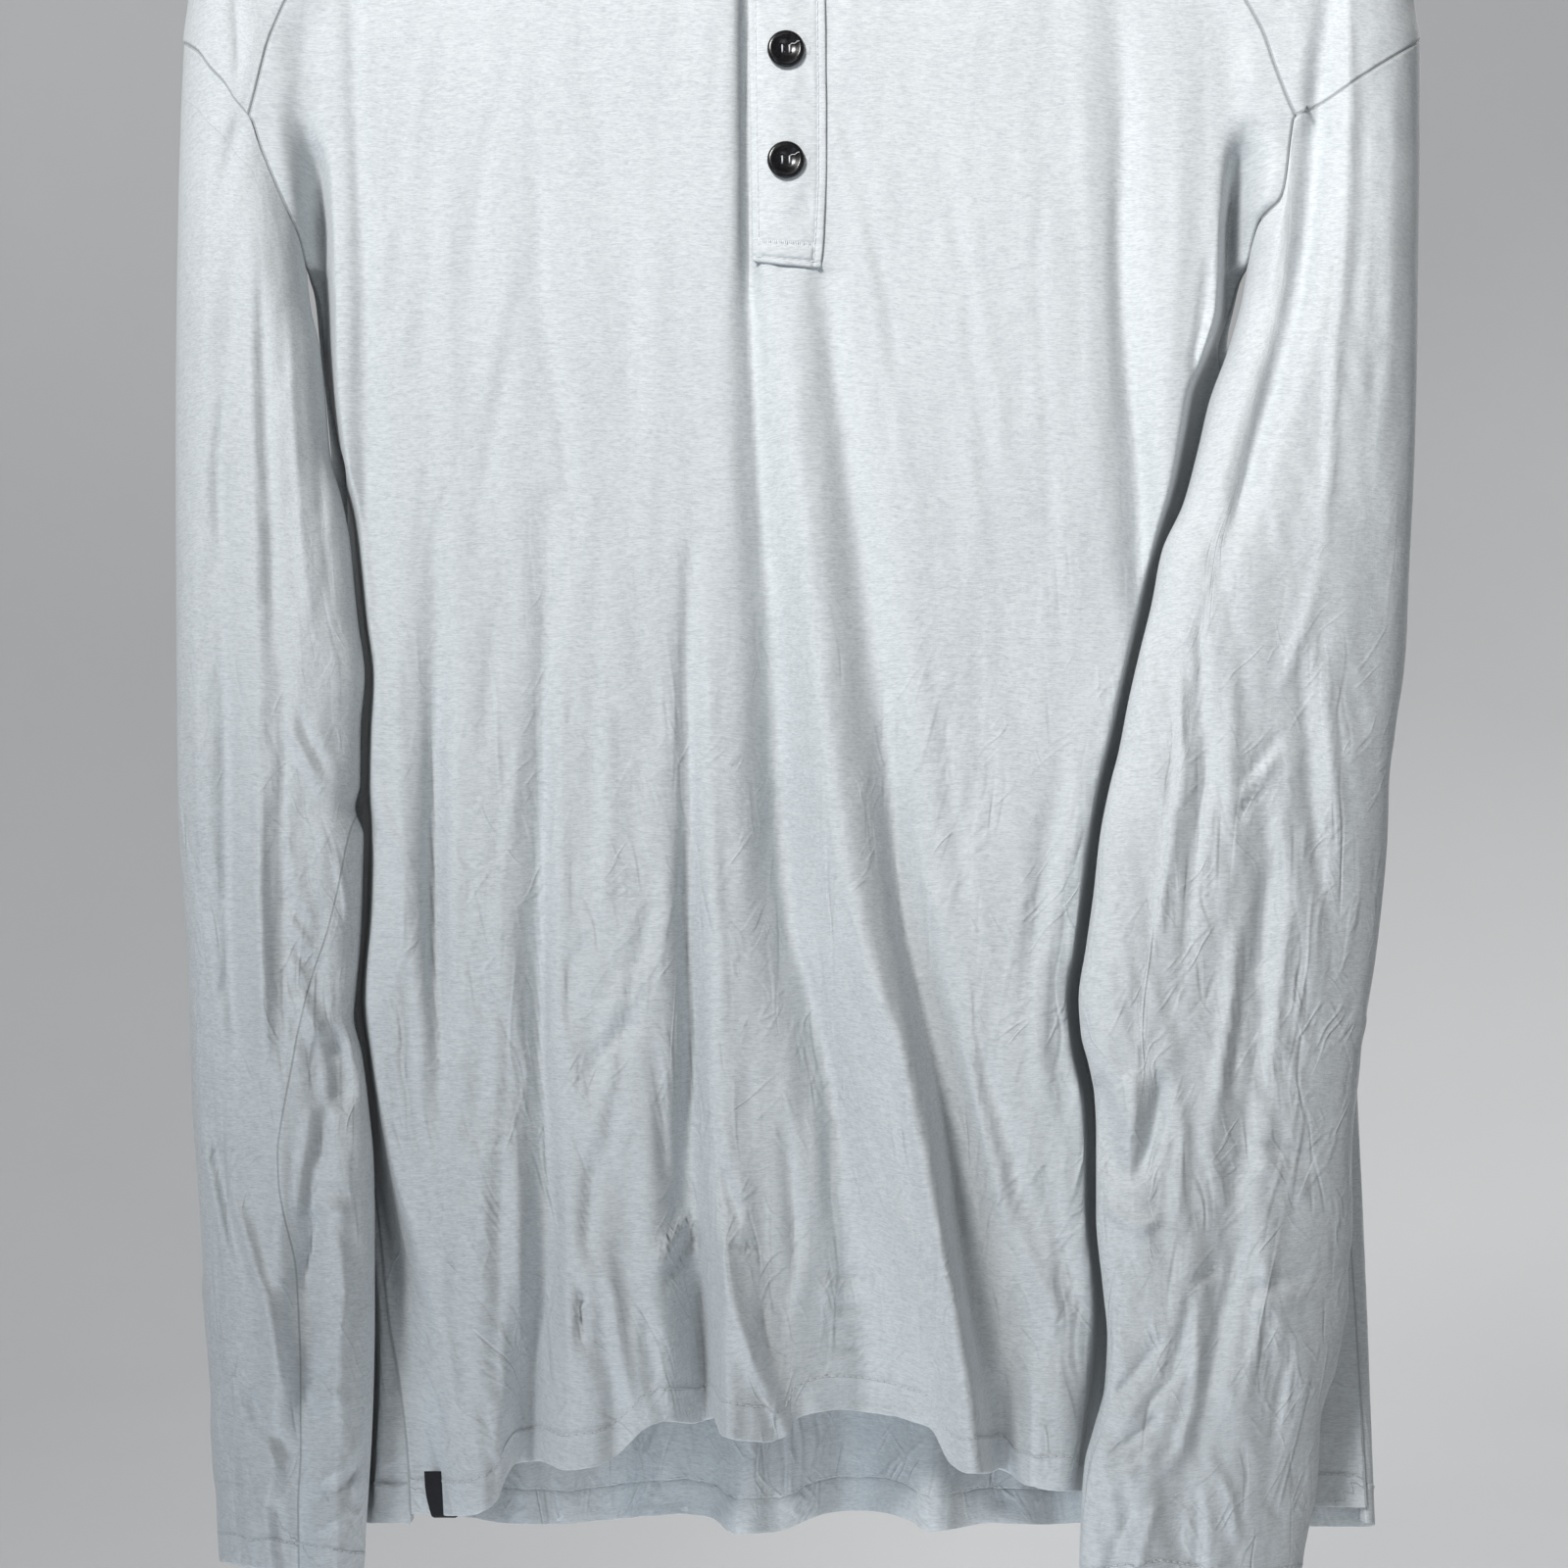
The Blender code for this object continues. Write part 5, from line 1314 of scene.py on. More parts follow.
# The small folds, given one by one. Each has its height, the widths of its two slopes, and its way.
FRONT_CREASES = (
    # The slanting valley from the placket's foot, and the sharp lines in it.
    Crease(-3, 1.6, 2.6, (
        -14.2, 310, -14.4, 240, -14.2, 205, -13, 180, -11.5, 150, -9, 110, -7, 80, -5, 50, -3, 10,
    ), 1.8, (1, 1, 0.8, 0.5, 0)),
    Crease(-1.6, 3, 2, (-5, 60, -3, 10, 2, -50, 10, -80, 18, -120, 23, -160, 25, -180)),
    Crease(1.2, 2.5, 3.5, (3, 185, 4, 150, 6, 110, 10, 60, 17, 10, 24, -30)),
    Crease(1.3, 3, 2.2, (22, -20, 31, -62, 42, -95, 50, -130, 57, -165, 66, -210, 71, -243)),
    Crease(-2.6, 3.5, 1.6, (
        34, 50, 40, 5, 43, -50, 50, -82, 57, -112, 63, -145, 68, -185, 74, -220, 77, -243,
    ), 1.6),
    Crease(-0.9, 2.5, 3.5, (14, 192, 17, 170, 22, 130, 28, 90, 33, 50)),
    # Soft ridges and valleys running down from the right of the placket.
    Crease(0.9, 3, 4, (17, 275, 20, 240, 27, 215, 32, 190, 36, 165, 41, 140, 45, 115, 50, 95, 55, 50)),
    Crease(-0.9, 3, 2.5, (19, 258, 25, 235, 30, 215, 37, 185, 42, 150, 45, 128)),
    Crease(-0.7, 2.5, 4, (58, 288, 60, 240, 66, 190, 72, 140, 78, 90, 80, 40, 82, 0)),
    Crease(0.6, 4, 2.5, (66, 260, 70, 210, 78, 150, 86, 100, 90, 60)),
    Crease(-1, 1.6, 2.6, (91, 275, 96, 225, 94, 190, 97, 140, 100, 80, 103, 50, 105, 20), 1.5),
    Crease(0.8, 3.5, 3, (108, 285, 112, 230, 113, 180, 116, 130, 118, 95)),
    # The valley beside the right-hand strip, its sharp edge and the strip's ridge.
    Crease(-2, 2, 3, (122, 295, 126, 260, 124, 200, 127, 150, 131, 118, 131, 85, 126, 45), 1.6),
    Crease(1.2, 2.6, 2.2, (119, 292, 120.5, 240, 119.5, 190, 121, 150, 124.5, 115, 124, 85)),
    Crease(1.6, 4, 4, (146, 285, 146, 220, 145, 170, 141, 120, 136, 85)),
    Crease(-0.8, 2, 2.5, (153, 268, 156, 235, 154, 205, 151, 178)),
    Crease(-4.5, 1.6, 2.2, (157.5, 206, 156.6, 185, 154.5, 168, 151.5, 154), 1.6, (0, 0.6, 1, 1)),
    Crease(0.8, 2, 2, (158, 290, 160, 262, 161, 236)),
    Crease(1.5, 3, 2.2, (113, 30, 108, -8, 103, -40, 97, -70, 95, -95, 100, -122, 108, -145), 1.8),
    Crease(-1.2, 3, 3, (104, 18, 99, -20, 92, -55, 88, -82)),
    # The left-hand strip and the edge of the gutter by the sleeve.
    Crease(-1.2, 1.8, 2.4, (
        -160, 295, -158.5, 260, -158, 220, -154.5, 175, -155, 140, -155.5, 100, -157, 78,
    )),
    Crease(1, 2.2, 2.2, (-153.5, 288, -156, 255, -157.5, 225)),
    Crease(1.3, 2.2, 2.4, (-141, 226, -146, 205, -149.5, 186, -151, 168)),
    Crease(1.2, 2.2, 2.6, (-150, 120, -148, 85, -144, 40, -142, 0, -141, -50, -141, -95)),
    Crease(1.6, 1.8, 2, (-151, 2, -148.5, -12, -144.5, -28)),
    Crease(-0.9, 2.4, 2, (-143, -40, -140, -75, -138, -110, -134, -150)),
    # Folds of the left half, from the chest to the hem.
    Crease(-0.9, 3, 3, (-130, 262, -131, 225, -133, 160, -130, 125, -127, 98)),
    Crease(0.7, 3, 3, (-122, 250, -124, 200, -124, 150, -121, 112)),
    Crease(-1, 1.8, 2.2, (-132, 124, -134, 100, -137, 73)),
    Crease(-1, 2, 1.8, (-125, 114, -129, 95, -133, 72)),
    Crease(-1.7, 2.2, 2.8, (-131, 62, -130.5, 20, -131, -50, -128.5, -95, -127, -142), 1.6),
    Crease(1.1, 2.5, 3, (-124, 48, -123, 0, -123, -50, -121, -92)),
    Crease(-1.1, 3.5, 3.5, (-103, 270, -107, 250, -112, 230, -115, 200, -117, 162)),
    Crease(1, 2.6, 2.6, (-99, 212, -102, 190, -106, 170, -110, 150, -116.5, 116)),
    Crease(-1.1, 1.8, 2.2, (-99, 175, -103, 155, -108, 130, -114.5, 92)),
    Crease(-1.2, 2, 3, (-107.5, 66, -109, 40, -113.5, 5)),
    Crease(0.9, 2.4, 2, (-97.5, 26, -99, 4, -101.5, -24)),
    Crease(-1.2, 2.6, 2.8, (-95.5, 262, -92, 232, -90.5, 180, -84, 142, -80, 110, -76, 72)),
    Crease(-1.8, 2.2, 2.8, (-86.5, 108, -89, 60, -90, 20, -90, -40, -91, -95, -87.5, -132, -88, -168), 1.6),
    Crease(1, 2.4, 2.4, (-83, 60, -83.5, 10, -83, -45, -84, -78)),
    Crease(-1.1, 1.4, 1.6, (-79, -58, -79.5, -75, -79, -93)),
    Crease(-0.6, 4, 3, (-54, 240, -56, 200, -57.5, 150, -57, 110)),
    Crease(0.6, 4, 4, (-45, 230, -48, 170, -49, 110, -50, 60, -52, 20)),
    Crease(-1.8, 2, 2.8, (
        -33.5, 122, -34.5, 90, -36, 45, -35, 0, -37.5, -45, -34.5, -95, -38, -138, -43, -164,
    ), 1.6),
    Crease(1.1, 3, 2.2, (-27, 80, -27, 30, -26, -20, -24, -60, -22, -95)),
    Crease(-1.2, 1.8, 1.6, (-47.5, -92, -46, -120, -43.5, -152)),
    Crease(-0.7, 2.5, 2.5, (-66, 130, -69, 80, -70, 30, -71, -20, -72, -50)),
    Crease(0.7, 2.5, 2, (-64, 40, -66, 0, -66, -40, -68, -70)),
    # The crossing wrinkles under the left ribs.
    Crease(-1, 1.2, 1.8, (-46, -42, -51, -50, -58, -64), 1.5),
    Crease(-1.1, 1.2, 1.8, (-48, -52, -54, -61, -61, -75), 1.5),
    Crease(-1, 1.2, 1.6, (-50, -58, -55, -68, -61, -83), 1.5),
    Crease(-1.2, 1.6, 2.2, (-52, -80, -62, -93, -77, -113), 1.6),
    Crease(1.1, 1.8, 1.8, (-56, -66, -62, -80, -68, -94), 1.6),
    Crease(0.9, 2.2, 2, (-62, -94, -66, -116, -73, -144)),
    Crease(1.5, 2.4, 2.4, (-67, -168, -63.5, -190, -61, -210, -56, -236)),
    Crease(-1.8, 1.4, 1.6, (-74, -184, -75.5, -196, -75, -212), 1.7),
    Crease(-1.2, 2, 2.4, (-69, -128, -72, -150, -74, -180)),
    Crease(1.4, 1.5, 1.7, (-33, -156, -40, -167, -50, -183), 1.5),
    Crease(-1, 1.3, 1.5, (-31, -164, -38, -175, -46, -190), 1.5),
    Crease(-1.1, 2, 2, (-52, -190, -50, -210, -47, -232)),
    Crease(1, 2.2, 2.2, (-83, -130, -81, -160, -80, -200, -79, -240)),
    Crease(-1, 2.6, 2.2, (-104, -60, -103, -100, -105, -140, -106, -180, -103, -220)),
    Crease(1, 2.4, 2.6, (-97, -130, -98, -165, -97, -205, -94, -240)),
    Crease(-0.9, 2, 2.4, (-121, -150, -122, -190, -119, -225, -117, -255)),
    # The middle pleat.
    Crease(1.8, 2.2, 3.4, (
        -25.5, -146, -24, -170, -20, -190, -14.5, -207, -6, -226, 0, -240,
    ), 1.8, (0, 1, 1, 0.7)),
    Crease(-1.6, 1.8, 2, (-23, -138, -20, -152, -16, -166)),
    Crease(-1, 1.2, 1.5, (-22, -171, -14, -173, -5, -171.5), 1.5),
    Crease(-2.4, 2.4, 1.2, (-32, -176, -30.5, -200, -28, -222, -26, -240), 1.6, (0, 1, 1, 1)),
    Crease(-1.2, 2, 2.4, (0, -118, 2.5, -150, 4.5, -186)),
    Crease(-0.9, 1.8, 1.8, (-10, -186, -7, -205, -2, -222)),
    Crease(1, 2, 2, (10, -112, 12, -140, 14, -170)),
    # Cross wrinkles right of the pleat, and short bright lines on the long ridge.
    Crease(-0.8, 1, 1.4, (9, -181, 22, -183.5, 39, -182), 1.5),
    Crease(-0.8, 1, 1.4, (13, -193, 25, -196, 38, -194), 1.5),
    Crease(-0.7, 1, 1.4, (11, -201, 22, -203.5, 35, -202), 1.5),
    Crease(-0.7, 1, 1.4, (14, -208, 25, -210, 36, -208), 1.5),
    Crease(0.9, 1.2, 1.4, (35, -147, 44, -162, 54, -180), 1.5),
    Crease(0.9, 1.2, 1.4, (43, -181, 50, -190, 56, -199), 1.5),
    Crease(0.9, 1.4, 1.6, (49, -27, 54, -42, 59, -58), 1.5),
    Crease(-0.9, 1.8, 2, (30, -120, 36, -140, 40, -165)),
    Crease(0.8, 2, 2, (26, -60, 33, -85, 38, -108)),
    # Folds between the right pleat and the sleeve.
    Crease(1.4, 2.4, 2.2, (64, -84, 69, -104, 75, -128, 80, -150, 86, -178)),
    Crease(-1.3, 2, 2.6, (68, -86, 73, -104, 79, -122, 86, -145, 98, -182)),
    Crease(1.2, 2.2, 2.2, (87, -164, 94, -182, 104, -203)),
    Crease(-1.2, 2, 2.2, (97, -140, 101, -165, 105, -185, 113, -203)),
    Crease(-1.6, 2.4, 2, (88.5, -176, 85, -205, 82.5, -232, 85, -262), 1.6, (0, 1, 1, 0.8)),
    Crease(0.8, 3, 3, (60, 30, 66, -10, 73, -50, 78, -80)),
    Crease(-0.8, 3, 2.5, (54, 60, 60, 10, 68, -40, 74, -75)),
    Crease(1, 2.5, 2.5, (92, -205, 93, -232, 92, -258), 1.8, (0, 1, 1, 0.8)),
)
FRONT_RIPPLES = (
    Ripple(11, 0.22, (24, 60), (150, 420)),
    Ripple(12, 0.08, (9, 20), (40, 140)),
    Crinkle(13, 0.5, 12, 64, -0.06, 0.24),
    Crinkle(17, 0.3, 8, 40, 0.12, 0.24),
)
BACK_CREASES = (
    Crease(-1.4, 3, 3, (-20, 395, -18, 330, -22, 250, -20, 160, -24, 60)),
    Crease(1.2, 4, 3, (24, 400, 30, 320, 28, 220, 34, 120)),
    Crease(-1.6, 3, 2.4, (58, 360, 66, 270, 68, 180, 74, 80, 72, -20), 1.6),
    Crease(1.5, 3, 3, (-58, 350, -66, 260, -70, 160, -74, 60)),
    Crease(-1.8, 2.6, 2.6, (-92, 330, -102, 250, -106, 160, -110, 60, -108, -40), 1.6),
    Crease(1.4, 2.6, 3.4, (104, 340, 112, 250, 116, 150, 118, 50)),
    Crease(-1.4, 2.4, 2.4, (132, 320, 140, 250, 143, 170, 142, 90)),
    Crease(-1.4, 2.4, 2.4, (-134, 315, -142, 245, -145, 170, -146, 90)),
    Crease(1.6, 3, 3, (-30, 60, -34, -20, -38, -100, -36, -190, -40, -268), 1.8, (0, 1, 1, 1)),
    Crease(-2, 3, 2.2, (4, 40, 0, -40, 2, -130, -2, -210, 0, -268), 1.6, (0, 1, 1, 1)),
    Crease(1.7, 3, 3, (84, 20, 80, -60, 84, -150, 82, -265), 1.8, (0, 1, 1, 1)),
    Crease(-1.8, 2.4, 2.8, (120, 0, 118, -80, 122, -170, 121, -268), 1.6, (0, 1, 1, 1)),
    Crease(-1.7, 2.4, 2.8, (-84, 0, -80, -90, -83, -180, -80, -268), 1.6, (0, 1, 1, 1)),
    Crease(1.2, 2, 2, (-120, -40, -114, -110, -118, -200, -116, -266), 1.8, (0, 1, 1, 1)),
    Crease(-1.2, 1.6, 1.6, (40, -60, 52, -84, 60, -112), 1.5),
    Crease(-1.1, 1.6, 1.6, (36, -80, 47, -100, 56, -126), 1.5),
    Crease(1.2, 1.8, 1.8, (-52, -40, -44, -70, -40, -104), 1.5),
    Crease(-1.2, 1.5, 1.8, (-60, -120, -48, -134, -30, -140), 1.5),
    Crease(1.1, 1.6, 1.8, (90, -170, 102, -192, 108, -220), 1.5),
    Crease(-1, 1.6, 1.8, (16, -180, 30, -186, 46, -182), 1.5),
    Crease(1.3, 2.6, 2.6, (150, 60, 155, -20, 158, -110, 160, -200, 162, -266), 1.8, (0, 1, 1, 1)),
    Crease(-1.5, 2.6, 2.6, (-150, 40, -154, -40, -158, -120, -162, -200, -164, -266), 1.8, (0, 1, 1, 1)),
)
BACK_RIPPLES = (
    Ripple(21, 0.35, (26, 70), (150, 420)),
    Ripple(22, 0.12, (9, 22), (40, 140)),
    Crinkle(23, 0.5, 12, 66, 0.05),
    Crinkle(27, 0.25, 6, 28, -0.1),
)
# The left sleeve's underarm seam comes into view below the elbow, as a groove with painted shade.
UNDERARM_SEAM = Crease(-0.5, 1, 1, (
    -157, -8, -161, -17.8, -165.6, -39.8, -169.7, -56, -174.9, -71.1, -179.5, -88.5, -183, -107,
    -186.5, -125.6, -187.9, -136, -187.6, -147.6, -185.3, -160.4, -181, -180, -179.4, -215, -179.2, -248.7,
    -180.2, -266, -179.9, -300,
))
LEFT_SLEEVE_CREASES = (
    Crease(-1.6, 2.4, 2.4, (-204, 300, -203, 285, -202, 258), 1.6),
    Crease(-1.2, 2.6, 2.6, (-200, 252, -203.5, 240, -206, 230, -209, 213)),
    Crease(1, 2.4, 2.4, (-212, 262, -214, 225, -215, 190, -215.5, 150)),
    Crease(-1.6, 2.2, 3, (-203, 200, -204, 175, -205.5, 155, -207.5, 138, -210, 115, -207, 78), 1.6),
    Crease(-1.5, 1.8, 2, (
        -195.5, 212, -194.5, 190, -193.5, 165, -192, 140, -191, 110, -190, 78, -189, 32,
    ), 1.5),
    Crease(1.3, 2, 2, (-198, 205, -197.5, 170, -197, 130, -196.5, 90, -197, 58)),
    Crease(1, 2, 2.4, (-184, 198, -183, 160, -181, 120, -178, 80, -174, 45)),
    Crease(-1, 2.4, 2, (-176, 165, -173, 130, -171, 95, -167, 60)),
    Crease(1, 2.4, 2.4, (-217, 120, -218, 60, -217.5, 0, -216, -50)),
    Crease(-2, 3.6, 3.4, (-206, 90, -206.5, 40, -206, -10, -205.5, -60, -203.5, -100, -202, -135), 1.9),
    Crease(2.4, 2.6, 2.2, (-193.5, 14, -194.5, -15, -195, -35, -193.5, -70, -193, -95, -191.5, -120), 1.7),
    Crease(-1, 1.4, 1.6, (-187, 60, -185.5, 20, -186.5, -20, -186, -60, -187, -85), 1.5),
    Crease(1.2, 1.6, 1.6, (-186, 27, -180, 14, -171, -2), 1.6),
    Crease(-0.9, 1.4, 1.4, (-182, 30, -175, 15, -168, 2), 1.5),
    # Small crossing wrinkles inside the elbow.
    Crease(-0.9, 1.2, 1.4, (-187, -38, -181, -48, -175, -55), 1.5),
    Crease(0.9, 1.2, 1.4, (-186, -46, -179, -57, -173, -63), 1.5),
    Crease(-0.9, 1.2, 1.4, (-185, -56, -178, -66, -170, -70), 1.5),
    Crease(0.8, 1.2, 1.4, (-184, -64, -177, -74, -168, -78), 1.5),
    Crease(1, 1.4, 1.6, (-168, -22, -163, -40, -161, -58), 1.6),
    Crease(-0.9, 1.4, 1.6, (-163, -30, -160.5, -50, -162, -70), 1.6),
    Crease(2.6, 3.4, 3, (-179, -76, -175, -87, -171, -98), 1.9),
    Crease(-5, 3, 4.4, (-169, -88, -166.5, -100, -165, -112, -167, -124), 1.9),
    Crease(-1.8, 1.8, 2, (-169, -116, -171, -130, -172.5, -146), 1.7),
    Crease(1.6, 1.8, 2, (-174, -112, -177, -130, -180, -150, -181, -166), 1.6),
    Crease(1.5, 1.6, 1.6, (-176, -155, -168, -158, -160, -158.5), 1.6),
    Crease(-1.3, 1.4, 1.6, (-175, -149, -168, -151.5, -160, -152), 1.5),
    Crease(-1.8, 1.8, 1.8, (-171.5, -152, -174.5, -168, -178.5, -188), 1.6),
    Crease(-1.2, 1.4, 1.4, (-180, -184, -175, -188, -168, -189), 1.5),
    Crease(1.2, 1.6, 1.8, (-165, -168, -163, -190, -165, -212), 1.7),
    Crease(-1.1, 1.4, 1.6, (-178, -222, -172, -221, -165, -218), 1.5),
    Crease(1, 1.4, 1.6, (-176, -229, -169, -228, -162, -224), 1.5),
    # Long slanting ridges down to the cuff.
    Crease(2, 2.4, 2.4, (-222, -58, -220.5, -90, -218.5, -120, -212.5, -150, -207, -172, -201, -194), 1.7),
    Crease(1.9, 2.2, 2.2, (-209, -134, -204, -155, -197.5, -176, -191, -198, -187, -218, -183, -238), 1.7),
    Crease(-1.9, 2.6, 2.6, (-214, -110, -210, -136, -204, -166, -197, -190, -192, -210), 1.8),
    Crease(-1.6, 2.2, 2.6, (-199, -222, -194, -234, -188, -244, -182, -253), 1.7),
    Crease(1.4, 2.2, 2.4, (-209, -196, -205, -220, -199, -240, -193, -256), 1.8),
    Crease(-1.3, 2, 2, (-211, -226, -207, -244, -203, -258, -201, -276), 1.7),
    Crease(1.5, 2.4, 2.4, (-203, -252, -200, -266, -198, -282), 1.8, (0, 1, 1, 0.6)),
    Crease(-1.5, 2.2, 2.4, (-191, -262, -188.5, -274, -187, -290), 1.8, (0, 1, 1, 0.7)),
    Crease(1.2, 1.5, 1.7, (-181, -262, -173, -259, -164, -252, -156, -238), 1.6),
    Crease(-1.2, 1.5, 1.7, (-179, -270, -170, -266, -161, -258, -155, -247), 1.6),
    Crease(1, 1.4, 1.6, (-177, -277, -168, -274, -160, -266), 1.6),
)
RIGHT_SLEEVE_CREASES = (
    Crease(-1.8, 3.2, 3.2, (199, 290, 197.5, 270, 196, 245, 195, 222, 193, 200, 189, 180, 184, 160), 1.8),
    Crease(-1.4, 2.4, 2.6, (184, 165, 180, 145, 176, 130, 172, 115, 163, 86), 1.7),
    # The pressed line down the sleeve, and where it forks at the elbow.
    Crease(2, 1.7, 1.9, (
        209, 300, 209.5, 261, 209, 228, 208.4, 211, 207, 184, 204.3, 160, 203, 130, 201, 100, 196.5, 66,
    ), 1.4, (0.8, 1, 1, 0.9, 0)),
    Crease(-1, 2.2, 2.6, (214, 290, 215, 250, 214.5, 215, 212, 180, 209.5, 150), 1.6),
    Crease(1, 2, 2, (200, 86, 194, 62, 187, 42, 182, 28), 1.6),
    Crease(1, 3, 3, (225, 285, 226, 240, 226, 200, 224.5, 160, 223, 120)),
    Crease(-0.8, 3, 3, (219, 230, 219.5, 180, 217.5, 130, 215, 90)),
    Crease(1.2, 2.4, 2.4, (187, 250, 186, 225, 183, 202, 179, 180, 174, 158), 1.8),
    Crease(1, 2.6, 2.6, (176, 172, 170, 145, 164, 120, 157, 96)),
    Crease(-1.7, 2.2, 2.6, (194, 64, 192, 40, 194, 20, 197, -20, 200, -40, 206.5, -68), 1.6),
    Crease(1.3, 2.4, 2.4, (201, 60, 202, 25, 204.5, -10, 208, -36), 1.8),
    Crease(-1.7, 2, 2.4, (157, 84, 154.5, 58, 155, 30, 157, 10, 153, -20, 149, -60, 145, -98), 1.6),
    Crease(1.3, 2.4, 2.4, (149, 70, 147, 40, 148, 10, 144, -20, 139, -55, 136, -84)),
    Crease(1.1, 2.4, 2.4, (167, 60, 166, 25, 166, -8, 162, -35)),
    Crease(-1.2, 1.5, 1.7, (187, 23, 179, 11, 168, -2), 1.5),
    Crease(1.2, 1.6, 1.7, (185, 15, 177, 3, 167, -9), 1.5),
    Crease(-1, 1.5, 1.6, (180, 6, 172, -8, 164, -18), 1.5),
    Crease(1.9, 1.7, 2, (168.5, -48, 167, -66, 165, -84, 162.5, -102, 159, -132), 1.5),
    Crease(-1.4, 1.8, 2.2, (172, -50, 170, -75, 167.5, -98, 164, -125), 1.6),
    Crease(-1.5, 2.4, 2.6, (181, -24, 178.5, -45, 177, -62, 171.5, -84), 1.7),
    Crease(1.2, 2, 2.4, (187, -35, 185.5, -60, 182, -88, 180, -112), 1.7),
    Crease(1.3, 2.6, 2.4, (216, -26, 214, -46, 210, -72, 207, -98), 1.8),
    Crease(-1.1, 2.2, 2.4, (206, -92, 203, -120, 200, -150), 1.7),
    Crease(-1.4, 1.4, 1.7, (174, -131.5, 181, -135, 190, -138, 199, -144), 1.5),
    Crease(1.2, 1.5, 1.6, (172, -140, 182, -144, 192, -149, 200, -155), 1.5),
    # The deep pocket inside the elbow.
    Crease(-5.5, 4, 3.6, (116, -108, 119, -126, 122.5, -142, 127, -151), 1.9, (0.2, 1, 1, 0.6, 0)),
    Crease(-3.4, 3, 3, (125, -151, 131, -145, 136, -132, 139, -118, 141, -102), 1.8),
    Crease(2.4, 3, 2.8, (129, -104, 129.5, -118, 128, -134), 1.9),
    Crease(2, 2.4, 2.4, (118, -152, 124, -160, 133, -164, 142, -160), 1.8),
    Crease(1.2, 2, 2.2, (146, -112, 148, -130, 147, -150, 143, -170), 1.7),
    Crease(-1.2, 1.5, 1.7, (170, -192, 178, -187, 187, -184, 197, -182), 1.5),
    Crease(1.1, 1.5, 1.7, (170, -199, 180, -194, 192, -191, 201, -191), 1.5),
    Crease(-1.3, 1.6, 1.7, (149, -188, 155, -183.5, 163, -177), 1.5),
    Crease(-1.1, 1.6, 1.7, (157, -184, 160, -194, 161, -206), 1.5),
    # Arcs from the elbow down to the cuff's inner corner.
    Crease(-1.3, 1.7, 2, (119, -232, 126, -224, 134, -214, 142, -203), 1.6),
    Crease(1.2, 1.6, 1.8, (121, -241, 129, -233, 138, -224, 147, -213), 1.6),
    Crease(-1.2, 1.6, 1.8, (119, -251, 128, -244, 136, -237, 143, -229), 1.6),
    Crease(1.2, 1.6, 1.8, (117, -262, 126, -257, 135, -251, 144, -243), 1.6),
    Crease(-1.8, 2.4, 2.6, (151, -180, 150, -195, 147.5, -207, 142.5, -220, 134, -229, 124, -236), 1.7),
    Crease(1.7, 2.2, 2.6, (152.5, -190, 153.5, -210, 152, -228, 145.5, -249, 136, -257, 124, -263), 1.7),
    Crease(-1.5, 3, 3.4, (171, -158, 168, -176, 164, -195, 160, -213, 154, -232), 1.9),
    Crease(1.3, 2.6, 2.6, (180, -166, 178, -190, 174, -214, 169, -236), 1.8),
    Crease(-1.4, 1.8, 2, (131, -266, 126, -276, 119.5, -293), 1.7, (0, 1, 1, 0.6)),
    Crease(1.2, 2, 2, (140, -262, 136, -274, 131, -292), 1.7, (0, 1, 1, 0.6)),
    Crease(-1.2, 1.7, 2, (174, -260, 183, -270, 188, -280, 190.5, -292), 1.6),
    Crease(1.1, 1.8, 2, (160, -252, 166, -266, 168, -284), 1.7),
    Crease(-1, 1.8, 2, (152, -256, 154, -272, 153, -292), 1.7, (0, 1, 1, 0.6)),
    Crease(1, 2, 2, (196, -205, 192, -230, 187, -252), 1.8),
    Crease(-1, 2, 2, (188, -204, 184, -228, 180, -250), 1.8),
)
SLEEVE_GROWTH = (300, 1.0, 180, 1.2, 80, 1.7, -20, 2.3, -120, 2.7, -300, 3.0)
SLEEVE_RELIEF = {
    Side.LEFT: Relief(LEFT_SLEEVE_CREASES, (
        Ripple(31, 0.2, (14, 34), (60, 200)), Ripple(32, 0.07, (7, 14), (18, 60)),
        Crinkle(33, 0.3, 9, 36, 0.15, 0.26),
        Crinkle(37, 0.2, 5, 15, -0.5),
    ), SLEEVE_GROWTH),
    Side.RIGHT: Relief(RIGHT_SLEEVE_CREASES, (
        Ripple(41, 0.22, (14, 36), (60, 200)), Ripple(42, 0.08, (7, 15), (18, 60)),
        Crinkle(43, 0.3, 9, 36, -0.15, 0.26),
        Crinkle(47, 0.2, 5, 15, 0.5),
    ), SLEEVE_GROWTH),
}
